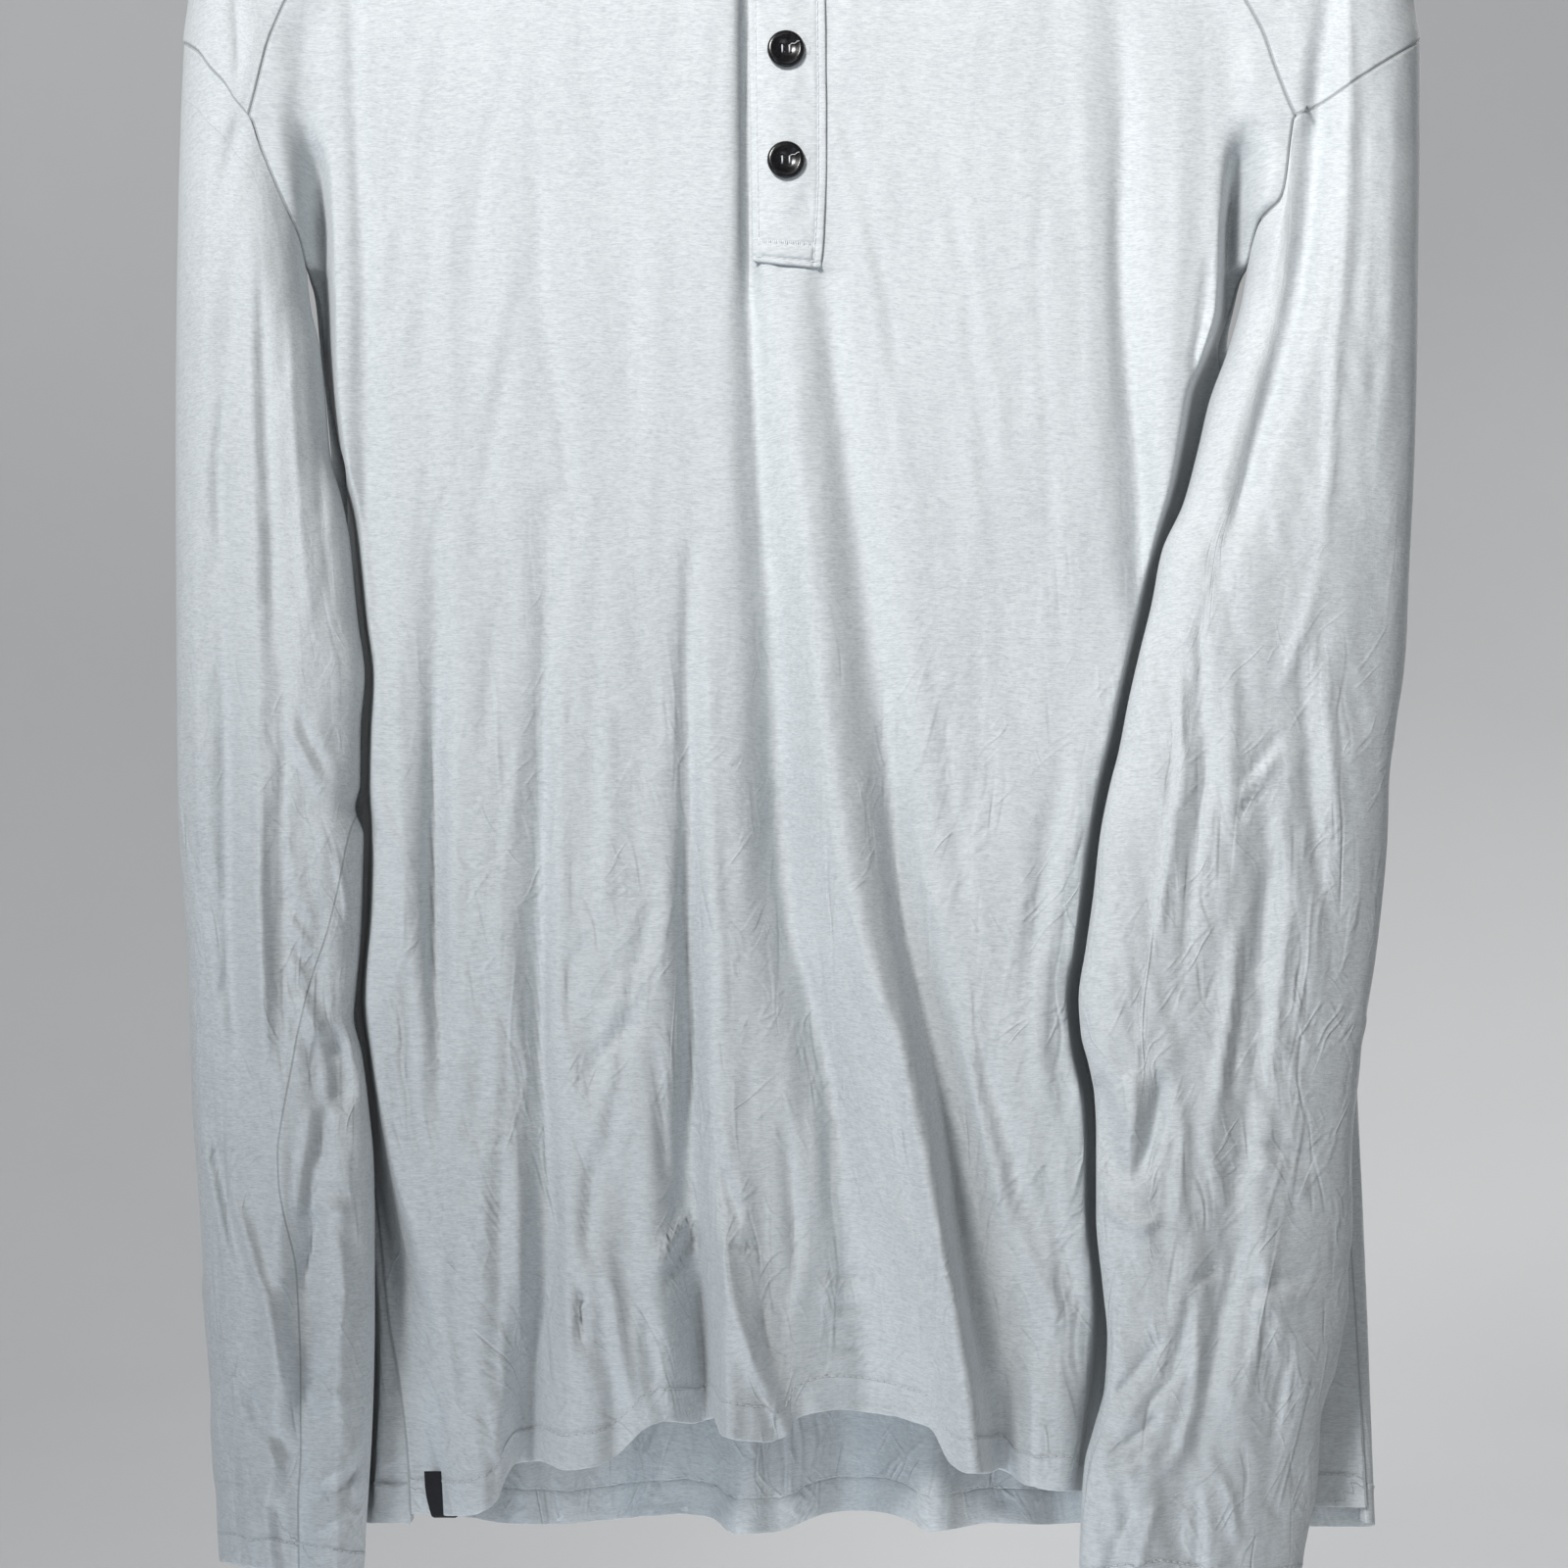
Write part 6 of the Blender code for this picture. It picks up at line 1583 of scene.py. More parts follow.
SLEEVE_REAR = {
    Side.LEFT: Relief((
        Crease(-1.4, 2.4, 2.4, (-203, 230, -205, 160, -204, 90, -202, 20), 1.7),
        Crease(1.3, 2.4, 2.4, (-190, 190, -190, 120, -188, 50, -186, -20), 1.7),
        Crease(-1.4, 2, 2, (-212, -20, -204, -60, -196, -90), 1.6),
        Crease(1.2, 1.8, 1.8, (-176, -60, -186, -84, -196, -100), 1.6),
        Crease(-1.2, 2.2, 2.2, (-180, -120, -184, -170, -188, -230), 1.7),
        Crease(1.2, 2.2, 2.2, (-200, -140, -198, -190, -194, -250), 1.7),
    ), (Ripple(51, 0.25, (16, 40), (60, 200)), Crinkle(53, 0.36, 8, 34, 0.15)), SLEEVE_GROWTH),
    Side.RIGHT: Relief((
        Crease(-1.5, 2.4, 2.4, (206, 230, 204, 160, 198, 90, 192, 20), 1.7),
        Crease(1.4, 2.4, 2.4, (188, 190, 182, 120, 172, 50, 164, -20), 1.7),
        Crease(-1.4, 2, 2, (196, -30, 186, -66, 172, -92), 1.6),
        Crease(1.2, 1.8, 1.8, (140, -60, 154, -86, 170, -104), 1.6),
        Crease(-1.3, 2.2, 2.2, (150, -120, 148, -170, 142, -230), 1.7),
        Crease(1.3, 2.2, 2.2, (180, -130, 176, -190, 168, -250), 1.7),
    ), (Ripple(61, 0.28, (16, 40), (60, 200)), Crinkle(63, 0.36, 8, 34, -0.15)), SLEEVE_GROWTH),
}
SHOULDER_RIPPLE = Ripple(71, 0.3, (20, 50), (50, 140))


@dataclass
class Thread:
    """Sewing thread: short stitches along the seams' lines, as one piece for each seam."""

    name: str
    slot: str = "jersey"
    length: float = 2.2
    gap: float = 0.8
    radius: float = 0.2
    sides: int = 6
    points: list[Array] = field(default_factory=list)

    def stitch(self, start: Array, stop: Array, radius: float = 0.0) -> None:
        """Adds one stitch, a short round-ended rod."""
        self.strand(np.array([start, stop]), radius)

    def strand(self, way: Array, radius: float = 0.0) -> None:
        """Adds a strand of thread along a way, with rounded ends."""
        radius = radius or self.radius
        tangent = unit(np.gradient(way, axis=0))
        flat = unit(np.cross(tangent, np.array([0.31, 0.17, 0.93])))
        other = np.cross(tangent, flat)
        turn = np.linspace(0, 2 * math.pi, self.sides, endpoint=False)
        ring = np.cos(turn)[:, None, None] * flat + np.sin(turn)[:, None, None] * other
        rings = [way[0] - tangent[0] * radius * 0.8 + ring[:, 0] * radius * 0.35]
        rings += [way[k] + ring[:, k] * radius for k in range(len(way))]
        rings += [way[-1] + tangent[-1] * radius * 0.8 + ring[:, -1] * radius * 0.35]
        self.points.append(np.array(rings))

    def sew(self, line: Array, out: Array, lift: float = 0.05) -> None:
        """Adds a row of stitches.

        Args:
            line: The points of the seam's line, in true millimetres.
            out: The directions out of the cloth at those points.
            lift: How high the thread's middle lies over the cloth.
        """
        steps = np.linalg.norm(np.diff(line, axis=0), axis=1)
        along = np.concatenate([[0], np.cumsum(steps)])
        line = line + out * lift
        for start in np.arange(self.gap, along[-1] - self.length, self.length + self.gap):
            ends = [[np.interp(s, along, line[:, k]) for k in range(3)] for s in (start, start + self.length)]
            self.stitch(*np.array(ends))

    def build(self, finish: bpy.types.Material) -> bpy.types.Object:
        """Makes the piece."""
        points, faces, start = [], [], 0
        for rings in self.points:
            faces += rod_faces(len(rings), self.sides, start)
            points.append(rings.reshape(-1, 3))
            start += len(rings) * self.sides
        mesh = bpy.data.meshes.new(self.name)
        mesh.from_pydata(metres(np.concatenate(points)), [], faces)
        mesh.shade_smooth()
        return shown(self.name, mesh, finish, "")


@dataclass
class Neckband:
    """The folded band that stands round the neckline and leans in towards the neck."""

    front: FrontPanel
    height: float = 17.0
    raised: float = 1.0
    half_thickness: float = 1.0
    stitch: float = 1.6
    ends: tuple[float, float] = (15.95, -12.55)

    def path(self) -> Array:
        """The neckline, from the placket's right edge round the back to its left edge."""
        front = self.front.grid()[0]
        right, left = ShoulderPanel(Side.RIGHT).grid()[0], ShoulderPanel(Side.LEFT).grid()[0]
        ends = [np.array([[x, *(np.interp(x, front[:, 0], front[:, k]) for k in (1, 2))]]) for x in self.ends]
        whole = np.concatenate([
            ends[0], front[front[:, 0] > self.ends[0] + 2][:-1], right, BackPanel().grid()[0][1:-1],
            left[::-1], front[front[:, 0] < self.ends[1] - 2][1:], ends[1],
        ])
        return np.apply_along_axis(smoothed, 0, resample(whole, 300), 11, mode="reflect", reflect_type="odd")

    def build(self, jersey: bpy.types.Material, thread: Thread) -> bpy.types.Object:
        """Makes the piece and its topstitching."""
        path = self.path()
        inwards = -0.75 * path[:, 0] / 78.0, -0.25 * path[:, 1] / 20.0
        lift = unit(np.column_stack([*inwards, np.ones(len(path))]))
        along = unit(np.gradient(path, axis=0))
        out = unit(np.cross(along, lift))
        half, top = self.half_thickness, self.height - self.half_thickness
        rows = [path + lift * h - out * half for h in np.linspace(self.raised, top, 10)]
        for turn in np.radians([30, 60, 90, 120, 150]):
            rows.append(path + lift * (top + half * math.sin(turn)) - out * half * math.cos(turn))
        rows += [path + lift * h + out * half for h in np.linspace(top, self.raised, 10)]
        sheet = Cloth.laid(true_place(np.array(rows))).marked(Edge.BOTTOM, self.stitch)
        flat = sheet.area()
        thread.sew(*sheet.inset(Edge.BOTTOM, self.stitch))
        turned = sheet.seamed(Edge.BOTTOM, 0.3, 0.2).seamed(Edge.TOP, 0.3, 0.2)
        piece = shown("neckband_jersey", turned.mesh("neckband_jersey"), jersey, "neckband")
        thickened(piece, JERSEY_THICKNESS)
        return piece


@dataclass
class Placket:
    """The buttoned strip over the front's slit and the strip behind it."""

    front: FrontPanel
    head: float = 352.0
    edges: Table = field(default_factory=lambda: table("z left right", [
        (352, -13.1, 14.4), (291, -12.7, 14.7), (262, -12.4, 15.0), (230, -11.9, 15.1), (205, -11.4, 14.2),
        (193, -11.2, 13.3),
    ]))
    foot: tuple[float, float] = (194.4, 192.2)
    box_top: tuple[float, float] = (201.4, 200.0)
    forward: float = 0.95
    left_stitch: float = 2.0
    right_stitch: float = 2.4
    under_width: float = 24.0
    groove_depth: float = 0.42
    groove_width: float = 0.6
    hole_stitches: Triple = (-6.6, 9.4, 0.42)
    relief: Relief = field(default_factory=lambda: Relief((
        Crease(0.35, 1.6, 1.6, (8.5, 268, 11, 262, 12.5, 254)),
        Crease(-0.3, 1.6, 1.6, (-8, 262, -3, 256, 4, 253, 10, 250)),
        Crease(0.3, 1.8, 1.8, (-9, 246, -5, 238, -7, 226)),
        Crease(-0.3, 1.6, 1.6, (6, 224, 9, 216, 10, 208)),
        Crease(0.3, 1.6, 2.0, (-8, 221, -2, 214, 5, 211)),
        Crease(-0.25, 1.6, 1.6, (-9, 291, -5, 285, 2, 282)),
        Crease(0.3, 1.6, 1.6, (7, 308, 11, 298, 12, 286)),
    ), (Ripple(81, 0.09, (8, 20), (18, 50)),)))

    def levels(self) -> tuple[Array, Array, Array]:
        """The form of the front behind the strip.

        Returns:
            Heights, the four numbers of a curve across that lies just before the front at each height, and
            the front's rearmost depths.
        """
        z = np.arange(184.0, 356.0, 2.0)
        x = np.linspace(-8.5, 14.5, 13)
        across, height = np.meshgrid(x, np.minimum(z, 336.0))
        y = self.front.surface(across.ravel(), height.ravel()).reshape(across.shape)

        def soft(row: Array) -> Array:
            """The numbers of a row, smooth along the strip."""
            return smoothed(row, 9, mode="edge")

        curves = np.array([soft(row) for row in np.polynomial.polynomial.polyfit(x, y.T, 3)])
        over = np.array([(np.polynomial.polynomial.polyval(x, c) - row).max() for c, row in zip(curves.T, y)])
        curves[0] -= soft(np.maximum.reduce([np.roll(over, k) for k in range(-4, 5)]))
        return z, curves, soft(y.max(axis=1))

    def face(self, x: Array, z: Array) -> Array:
        """Points on the strip's face at these places, before its grooves."""
        heights, curves, _ = self.levels()
        y = sum(np.interp(z, heights, curve) * x**k for k, curve in enumerate(curves)) - self.forward
        return np.stack([x, y - self.relief.rise(x, z), z], axis=-1)

    def strip(self) -> Array:
        """The strip's grid, sunk along its stitched lines and full between them at the foot."""
        share = np.linspace(0, 1, 49)
        rows = np.concatenate([np.linspace(0, 0.93, 170, endpoint=False), np.linspace(0.93, 1, 31)])
        t, s = np.meshgrid(rows, share, indexing="ij")
        low = self.foot[0] + (self.foot[1] - self.foot[0]) * s
        z = self.head + (low - self.head) * t
        left, right = at(self.edges, "left", z), at(self.edges, "right", z)
        x = left + (right - left) * s
        grid = self.face(x.ravel(), z.ravel()).reshape(*x.shape, 3)
        box = self.box_top[0] + (self.box_top[1] - self.box_top[0]) * s
        sunk = self.groove_depth * np.exp(-((x - left - self.left_stitch) / self.groove_width) ** 2)
        sunk += self.groove_depth * np.exp(-((right - self.right_stitch - x) / self.groove_width) ** 2)
        inside = ease((x - left - self.left_stitch) / 1.2) * ease((right - self.right_stitch - x) / 1.2)
        scallop = 1 + 0.5 * np.cos(2 * math.pi * (x - left) / 2.1)
        sunk += 0.5 * np.exp(-((z - box) / 0.7) ** 2) * inside * scallop
        sunk += 0.3 * np.exp(-((z - low - 1.5) / 0.5) ** 2)
        full = ease((z - low - 1.2) / 2.2) * ease((box - z - 0.3) / 2.0) * inside
        grid[..., 1] += sunk - 0.7 * full
        return grid

    def line(self, x: Sequence[float], z: Sequence[float], sunk: float = 0.28) -> tuple[Array, Array]:
        """A line over the strip's face in true millimetres, and the directions out of it."""
        points = resample(np.column_stack([x, z]), 90)
        line = self.face(points[:, 0], points[:, 1])
        line[:, 1] += sunk
        return true_place(line), np.tile([0.0, -1.0, 0.0], (len(line), 1))

    def sew(self, thread: Thread) -> None:
        """Topstitches both of the strip's edges and its foot."""
        z = np.linspace(self.head - 1, self.foot[0] + 1.8, 40)
        thread.sew(*self.line(at(self.edges, "left", z) + self.left_stitch, z))
        z = np.linspace(self.head - 1, self.foot[1] + 1.8, 40)
        thread.sew(*self.line(at(self.edges, "right", z) - self.right_stitch, z))
        left, right = -11.2 + self.left_stitch, 13.6 - self.right_stitch
        thread.sew(*self.line([-11.0, 13.1], [self.foot[0] + 1.5, self.foot[1] + 1.5]))
        upper, out = self.line([left, right], self.box_top, 0.36)
        for spot, way in list(zip(upper, out))[::3]:
            thread.stitch(spot + [0, 0, 0.85], spot - [0, 0, 0.85] + way * 0.1, 0.24)

    def buttonhole(self, thread: Thread, height: float) -> None:
        """Works the close stitches of a level buttonhole."""
        for x in np.arange(*self.hole_stitches):
            wide = 1.5 if x > 8.3 else 1.0
            spot = true_place(self.face(np.array([x]), np.array([height])))[0]
            thread.stitch(spot + [0, -0.05, wide], spot + [0, -0.05, -wide], 0.2)

    def build(self, jersey: bpy.types.Material, thread: Thread) -> list[bpy.types.Object]:
        """Makes both strips and their stitching."""
        grid = true_place(self.strip())
        sheet = Cloth.laid(grid)
        flat = sheet.area()
        turned = sheet
        for edge in (Edge.FIRST, Edge.LAST, Edge.TOP, Edge.BOTTOM):
            turned = turned.seamed(edge, 0.6, 0.6)
        piece = shown("placket_jersey", turned.mesh("placket_jersey"), jersey, "placket")
        thickened(piece, JERSEY_THICKNESS)
        self.sew(thread)
        return [piece, self.build_under(jersey)]

    def build_under(self, jersey: bpy.types.Material) -> bpy.types.Object:
        """Makes the strip that lies behind the slit and carries the buttons."""
        heights, _, far = self.levels()
        across = self.front.placket_centre + self.under_width * np.linspace(-0.5, 0.5, 17)
        z, x = np.meshgrid(np.linspace(self.head - 1, self.foot[0] + 2, 120), across, indexing="ij")
        y = np.interp(z, heights, far) + JERSEY_THICKNESS + 1.2
        y = y + Ripple(83, 0.1, (10, 30), (20, 60)).rise(x, z)
        sheet = Cloth.laid(true_place(np.stack([x, y, z], axis=2)))
        flat = sheet.area()
        for edge in (Edge.FIRST, Edge.LAST, Edge.TOP, Edge.BOTTOM):
            sheet = sheet.seamed(edge, 0.6, 0.6)
        mesh = sheet.mesh("placket_under_jersey")
        piece = shown("placket_under_jersey", mesh, jersey, "placket_under")
        thickened(piece, JERSEY_THICKNESS)
        return piece


@dataclass
class Button:
    """A dished four-hole button, sewn through its holes with two bars of thread."""

    placket: Placket
    number: int
    centre: float = 0.7
    lowest: float = 231.3
    spacing: float = 41.1
    hole_radius: float = 0.7
    hole_place: float = 1.35
    sides: int = 64
    outline: Table = field(default_factory=lambda: table("step r t", [
        (0, 0, 0.15), (1, 3.0, 0.1), (2, 5.2, 0.12), (3, 6.5, 0.45), (4, 6.97, 1.0), (5, 6.95, 1.5),
        (6, 6.7, 2.02), (7, 6.2, 2.4), (8, 5.5, 2.52), (9, 4.5, 2.2), (10, 3.3, 1.78), (11, 2.0, 1.5),
        (12, 0, 1.38),
    ]))

    @property
    def height(self) -> float:
        """The height of the button's middle."""
        return self.lowest + self.spacing * (self.number - 1)

    def frame(self) -> tuple[Array, Array]:
        """The middle of the button's back and the directions right, up and out of its face."""
        z = self.height + np.array([-6.5, -3, 0, 3, 6.5])
        face = self.placket.face(np.full(5, self.centre), z)
        lean = (face[-1, 1] - face[0, 1]) / 13.0
        up = unit(np.array([0, lean, 1.0]))
        out = np.cross(up, [1.0, 0, 0])
        out = out if out[1] < 0 else -out
        lowest = float((face[:, 1] - face[2, 1] - lean * (z - self.height)).min())
        middle = true_place(face[2] + [0, lowest - 0.1, 0])
        return middle, np.array([[1.0, 0, 0], up, out])

    def build(self, horn: bpy.types.Material, thread: Thread) -> bpy.types.Object:
        """Makes the button and sews it on."""
        middle, ways = self.frame()
        steps = np.linspace(0, 12, 61)
        r, t = at(self.outline, "r", steps), at(self.outline, "t", steps)
        points = [middle + ways[2] * t[0]]
        turn = np.linspace(0, 2 * math.pi, self.sides, endpoint=False)
        for radius, depth in zip(r[1:-1], t[1:-1]):
            for a in turn:
                points.append(middle + ways[0] * radius * math.cos(a) + ways[1] * radius * math.sin(a)
                              + ways[2] * depth)
        points.append(middle + ways[2] * t[-1])
        n, last = self.sides, len(points) - 1
        faces = [(0, 1 + (k + 1) % n, 1 + k) for k in range(n)] + ring_faces(len(steps) - 2, n, 1)
        faces += [(last, last - n + k, last - n + (k + 1) % n) for k in range(n)]
        name = f"button_{self.number}_horn"
        mesh = bpy.data.meshes.new(name)
        mesh.from_pydata(metres(points), [], faces)
        piece = shown(name, mesh, horn, f"button_{self.number}")
        self.drill(piece, middle, ways)
        piece.data.shade_smooth()
        for x in (-self.hole_place, self.hole_place):
            spots = [middle + ways[0] * x + ways[1] * u + ways[2] * w
                     for u, w in ((1.35, 0.8), (1.15, 1.7), (0, 1.98), (-1.15, 1.7), (-1.35, 0.8))]
            thread.strand(np.array(spots), 0.3)
        tail = [(1.3, 1.1, 1.6), (2.2, 1.7, 2.1), (3.3, 1.5, 2.4), (4.3, 2.2, 2.8), (5.0, 2.3, 2.9)]
        thread.strand(np.array([middle + ways[0] * x + ways[1] * u + ways[2] * w for x, u, w in tail]), 0.13)
        return piece

    def drill(self, piece: bpy.types.Object, middle: Array, ways: Array) -> None:
        """Drills the button's four holes."""
        points, faces = [], []
        sides = 20
        for x in (-1, 1):
            for u in (-1, 1):
                base = len(points)
                for depth in (-1.0, 4.0):
                    for a in np.linspace(0, 2 * math.pi, sides, endpoint=False):
                        across = x * self.hole_place + self.hole_radius * math.cos(a)
                        along = u * self.hole_place + self.hole_radius * math.sin(a)
                        points.append(middle + ways[0] * across + ways[1] * along + ways[2] * depth)
                faces += rod_faces(2, sides, base)
        mesh = bpy.data.meshes.new("button_drill")
        mesh.from_pydata(metres(points), [], faces)
        cutter = in_scene("button_drill", mesh)
        cut = piece.modifiers.new("holes", "BOOLEAN")
        cut.operation, cut.solver, cut.object = "DIFFERENCE", "EXACT", cutter
        bpy.context.view_layer.update()
        drilled = bpy.data.meshes.new_from_object(piece.evaluated_get(bpy.context.evaluated_depsgraph_get()))
        piece.modifiers.clear()
        piece.data = drilled
        bpy.data.objects.remove(cutter)


@dataclass
class HemTab:
    """The small black ribbon folded over the front hem near the left side."""

    front: FrontPanel
    centre: float = -125.4
    width: float = 7.4
    height: float = 16.0
    slant: float = 0.1
    bow: float = 0.7
    cloth: float = 0.5
    hem_thickness: float = 1.6

    def build(self, ribbon: bpy.types.Material) -> bpy.types.Object:
        """Makes the piece."""
        sheet = self.front.cloth()
        aim = true_place(np.array([self.centre, -40.0, HEM_LEVEL]))[0]
        column = int(np.argmin(np.abs(sheet.points[-1, :, 0] - aim)))
        near, far = 0.25 + self.cloth, -self.hem_thickness - 0.25 - self.cloth
        rim, out = (values[column] for values in sheet.inset(Edge.BOTTOM, 0.0))
        rows = []
        for distance in np.linspace(self.height, 0, 22):
            line, face = sheet.inset(Edge.BOTTOM, distance)
            rows.append((line[column] + face[column] * near, distance))
        down = unit(rim - sheet.inset(Edge.BOTTOM, 3.0)[0][column])
        middle, radius = (near + far) / 2, (near - far) / 2
        for turn in np.radians([22, 45, 67, 90, 112, 135, 158]):
            spot = rim + out * (middle + radius * math.cos(turn)) + down * radius * math.sin(turn)
            rows.append((spot, -radius * math.sin(turn)))
        for distance in np.linspace(0, self.height - 1.5, 20):
            line, face = sheet.inset(Edge.BOTTOM, distance)
            rows.append((line[column] + face[column] * far, distance))
        across = np.linspace(-0.5, 0.5, 13) * self.width
        lean = [-self.slant * d - self.bow * math.sin(math.pi * d / self.height) for _, d in rows]
        grid = np.array([[spot + [x + shift, 0.05 * math.cos(x), 0] for x in across]
                         for (spot, _), shift in zip(rows, lean)])
        piece = shown("hem_tab_ribbon", Cloth.laid(grid).mesh("hem_tab_ribbon"), ribbon, "hem_tab")
        thickened(piece, self.cloth)
        return piece


@dataclass
class Hanger:
    """A plain wooden bar that carries the shoulders, with a bent wire hook."""

    depth: float = 10.0
    height: float = 13.0
    reach: float = 200.0
    wire: float = 3.6
    hook_radius: float = 19.0
    hook_turn: tuple[float, float] = (-38.0, 200.0)
    top: Table = field(default_factory=lambda: table("x z", [
        (0, 447), (30, 444.5), (78, 431.5), (112, 417), (150, 398), (180, 381), (200, 366.5),
    ]))

    def bar(self, wood: bpy.types.Material) -> bpy.types.Object:
        """Makes the bar, rounded all over, from the middle out to its ends."""
        xs = self.reach * np.sin(np.linspace(-math.pi / 2, math.pi / 2, 161))
        turn = np.linspace(0, 2 * math.pi, 40, endpoint=False)
        rows = []
        for x, z in zip(xs, at(self.top, "z", np.abs(xs))):
            slim = math.sqrt(max(0.0, 1 - (abs(x) / self.reach) ** 10)) * 0.9 + 0.1
            wide = self.depth / 2 * slim * np.sign(np.cos(turn)) * np.abs(np.cos(turn)) ** 0.8
            tall = self.height / 2 * (slim * np.sign(np.sin(turn)) * np.abs(np.sin(turn)) ** 0.8 - 1)
            rows.append(np.stack([np.full(len(turn), x), wide, z + tall], axis=1))
        grid = np.array(rows)
        sheet = Cloth.laid(grid, around=True)
        sheet.place[..., 0] = grid[..., 0]
        mesh = sheet.mesh("hanger_wood")
        return shown("hanger_wood", self.capped(mesh, len(xs), len(turn)), wood, "hanger")

    @staticmethod
    def capped(mesh: bpy.types.Mesh, rows: int, sides: int) -> bpy.types.Mesh:
        """Closes both ends of a rod."""
        shape = bmesh.new()
        shape.from_mesh(mesh)
        shape.verts.ensure_lookup_table()
        for ring in (0, rows - 1):
            shape.faces.new([shape.verts[ring * sides + k] for k in range(sides)])
        bmesh.ops.recalc_face_normals(shape, faces=shape.faces[:])
        shape.to_mesh(mesh)
        shape.free()
        mesh.shade_smooth()
        return mesh

    def round_rail(self, angle: float) -> np.ndarray:
        """The x and z of the hook's middle line at this angle round the rail."""
        centre = MID_DROP - self.hook_radius + self.wire / 2
        return np.array([self.hook_radius * math.cos(angle), centre + self.hook_radius * math.sin(angle)])

    def hook(self, steel: bpy.types.Material) -> bpy.types.Object:
        """Makes the hook: straight up from the bar, round over the rail, with a round end."""
        start = math.radians(self.hook_turn[0])
        meet = self.round_rail(start)
        corners = [np.array([0.0, 476.0]), np.array([0.0, 493.0]),
                   meet - 13.0 * np.array([-math.sin(start), math.cos(start)]), meet]
        way = [np.array([0.0, z]) for z in np.linspace(447.6, 474, 10)]
        for t in np.linspace(0, 1, 24, endpoint=False):
            shares = (1 - t) ** 3, 3 * (1 - t) ** 2 * t, 3 * (1 - t) * t**2, t**3
            way.append(sum(c * w for c, w in zip(corners, shares)))
        way += [self.round_rail(angle) for angle in np.radians(np.linspace(*self.hook_turn, 70))]
        way = np.array(way)
        tangent = unit(np.gradient(way, axis=0))
        radius = np.full(len(way), self.wire / 2)
        radius[-4:] *= [0.97, 0.88, 0.7, 0.35]
        turn = np.linspace(0, 2 * math.pi, 24, endpoint=False)
        rows = [
            np.stack([x + r * np.cos(turn) * slope[1], r * np.sin(turn), z - r * np.cos(turn) * slope[0]], 1)
            for (x, z), slope, r in zip(way, tangent, radius)
        ]
        sheet = Cloth.laid(np.array(rows), around=True)
        mesh = sheet.mesh("hook_steel")
        return shown("hook_steel", self.capped(mesh, len(way), len(turn)), steel, "hook")


class Value:
    """Numbers that vary over a surface; sums and products of them add the nodes that work them out."""

    def __init__(self, nodes: "Nodes", socket: bpy.types.NodeSocket) -> None:
        """Wraps a socket of a material's nodes."""
        self.nodes, self.socket = nodes, socket

    def _maths(self, operation: str, *values: "Value | float") -> "Value":
        """The result of a Math node."""
        node = self.nodes.node("ShaderNodeMath", {"operation": operation}, dict(enumerate(values)))
        return Value(self.nodes, node.outputs[0])

    def __add__(self, other: "Value | float") -> "Value":
        """Adds."""
        return self._maths("ADD", self, other)

    __radd__ = __add__

    def __sub__(self, other: "Value | float") -> "Value":
        """Takes the other away."""
        return self._maths("SUBTRACT", self, other)

    def __rsub__(self, other: float) -> "Value":
        """Takes this away from a number."""
        return self._maths("SUBTRACT", other, self)

    def __mul__(self, other: "Value | float") -> "Value":
        """Multiplies."""
        return self._maths("MULTIPLY", self, other)

    __rmul__ = __mul__

    def __truediv__(self, other: "Value | float") -> "Value":
        """Divides."""
        return self._maths("DIVIDE", self, other)

    def __abs__(self) -> "Value":
        """The size without the sign."""
        return self._maths("ABSOLUTE", self)

    def between(self, low: float, high: float) -> "Value":
        """Runs smoothly from 0 at low to 1 at high."""
        sockets = {"Value": self, "From Min": low, "From Max": high}
        node = self.nodes.node("ShaderNodeMapRange", {"interpolation_type": "SMOOTHSTEP"}, sockets)
        return Value(self.nodes, node.outputs[0])


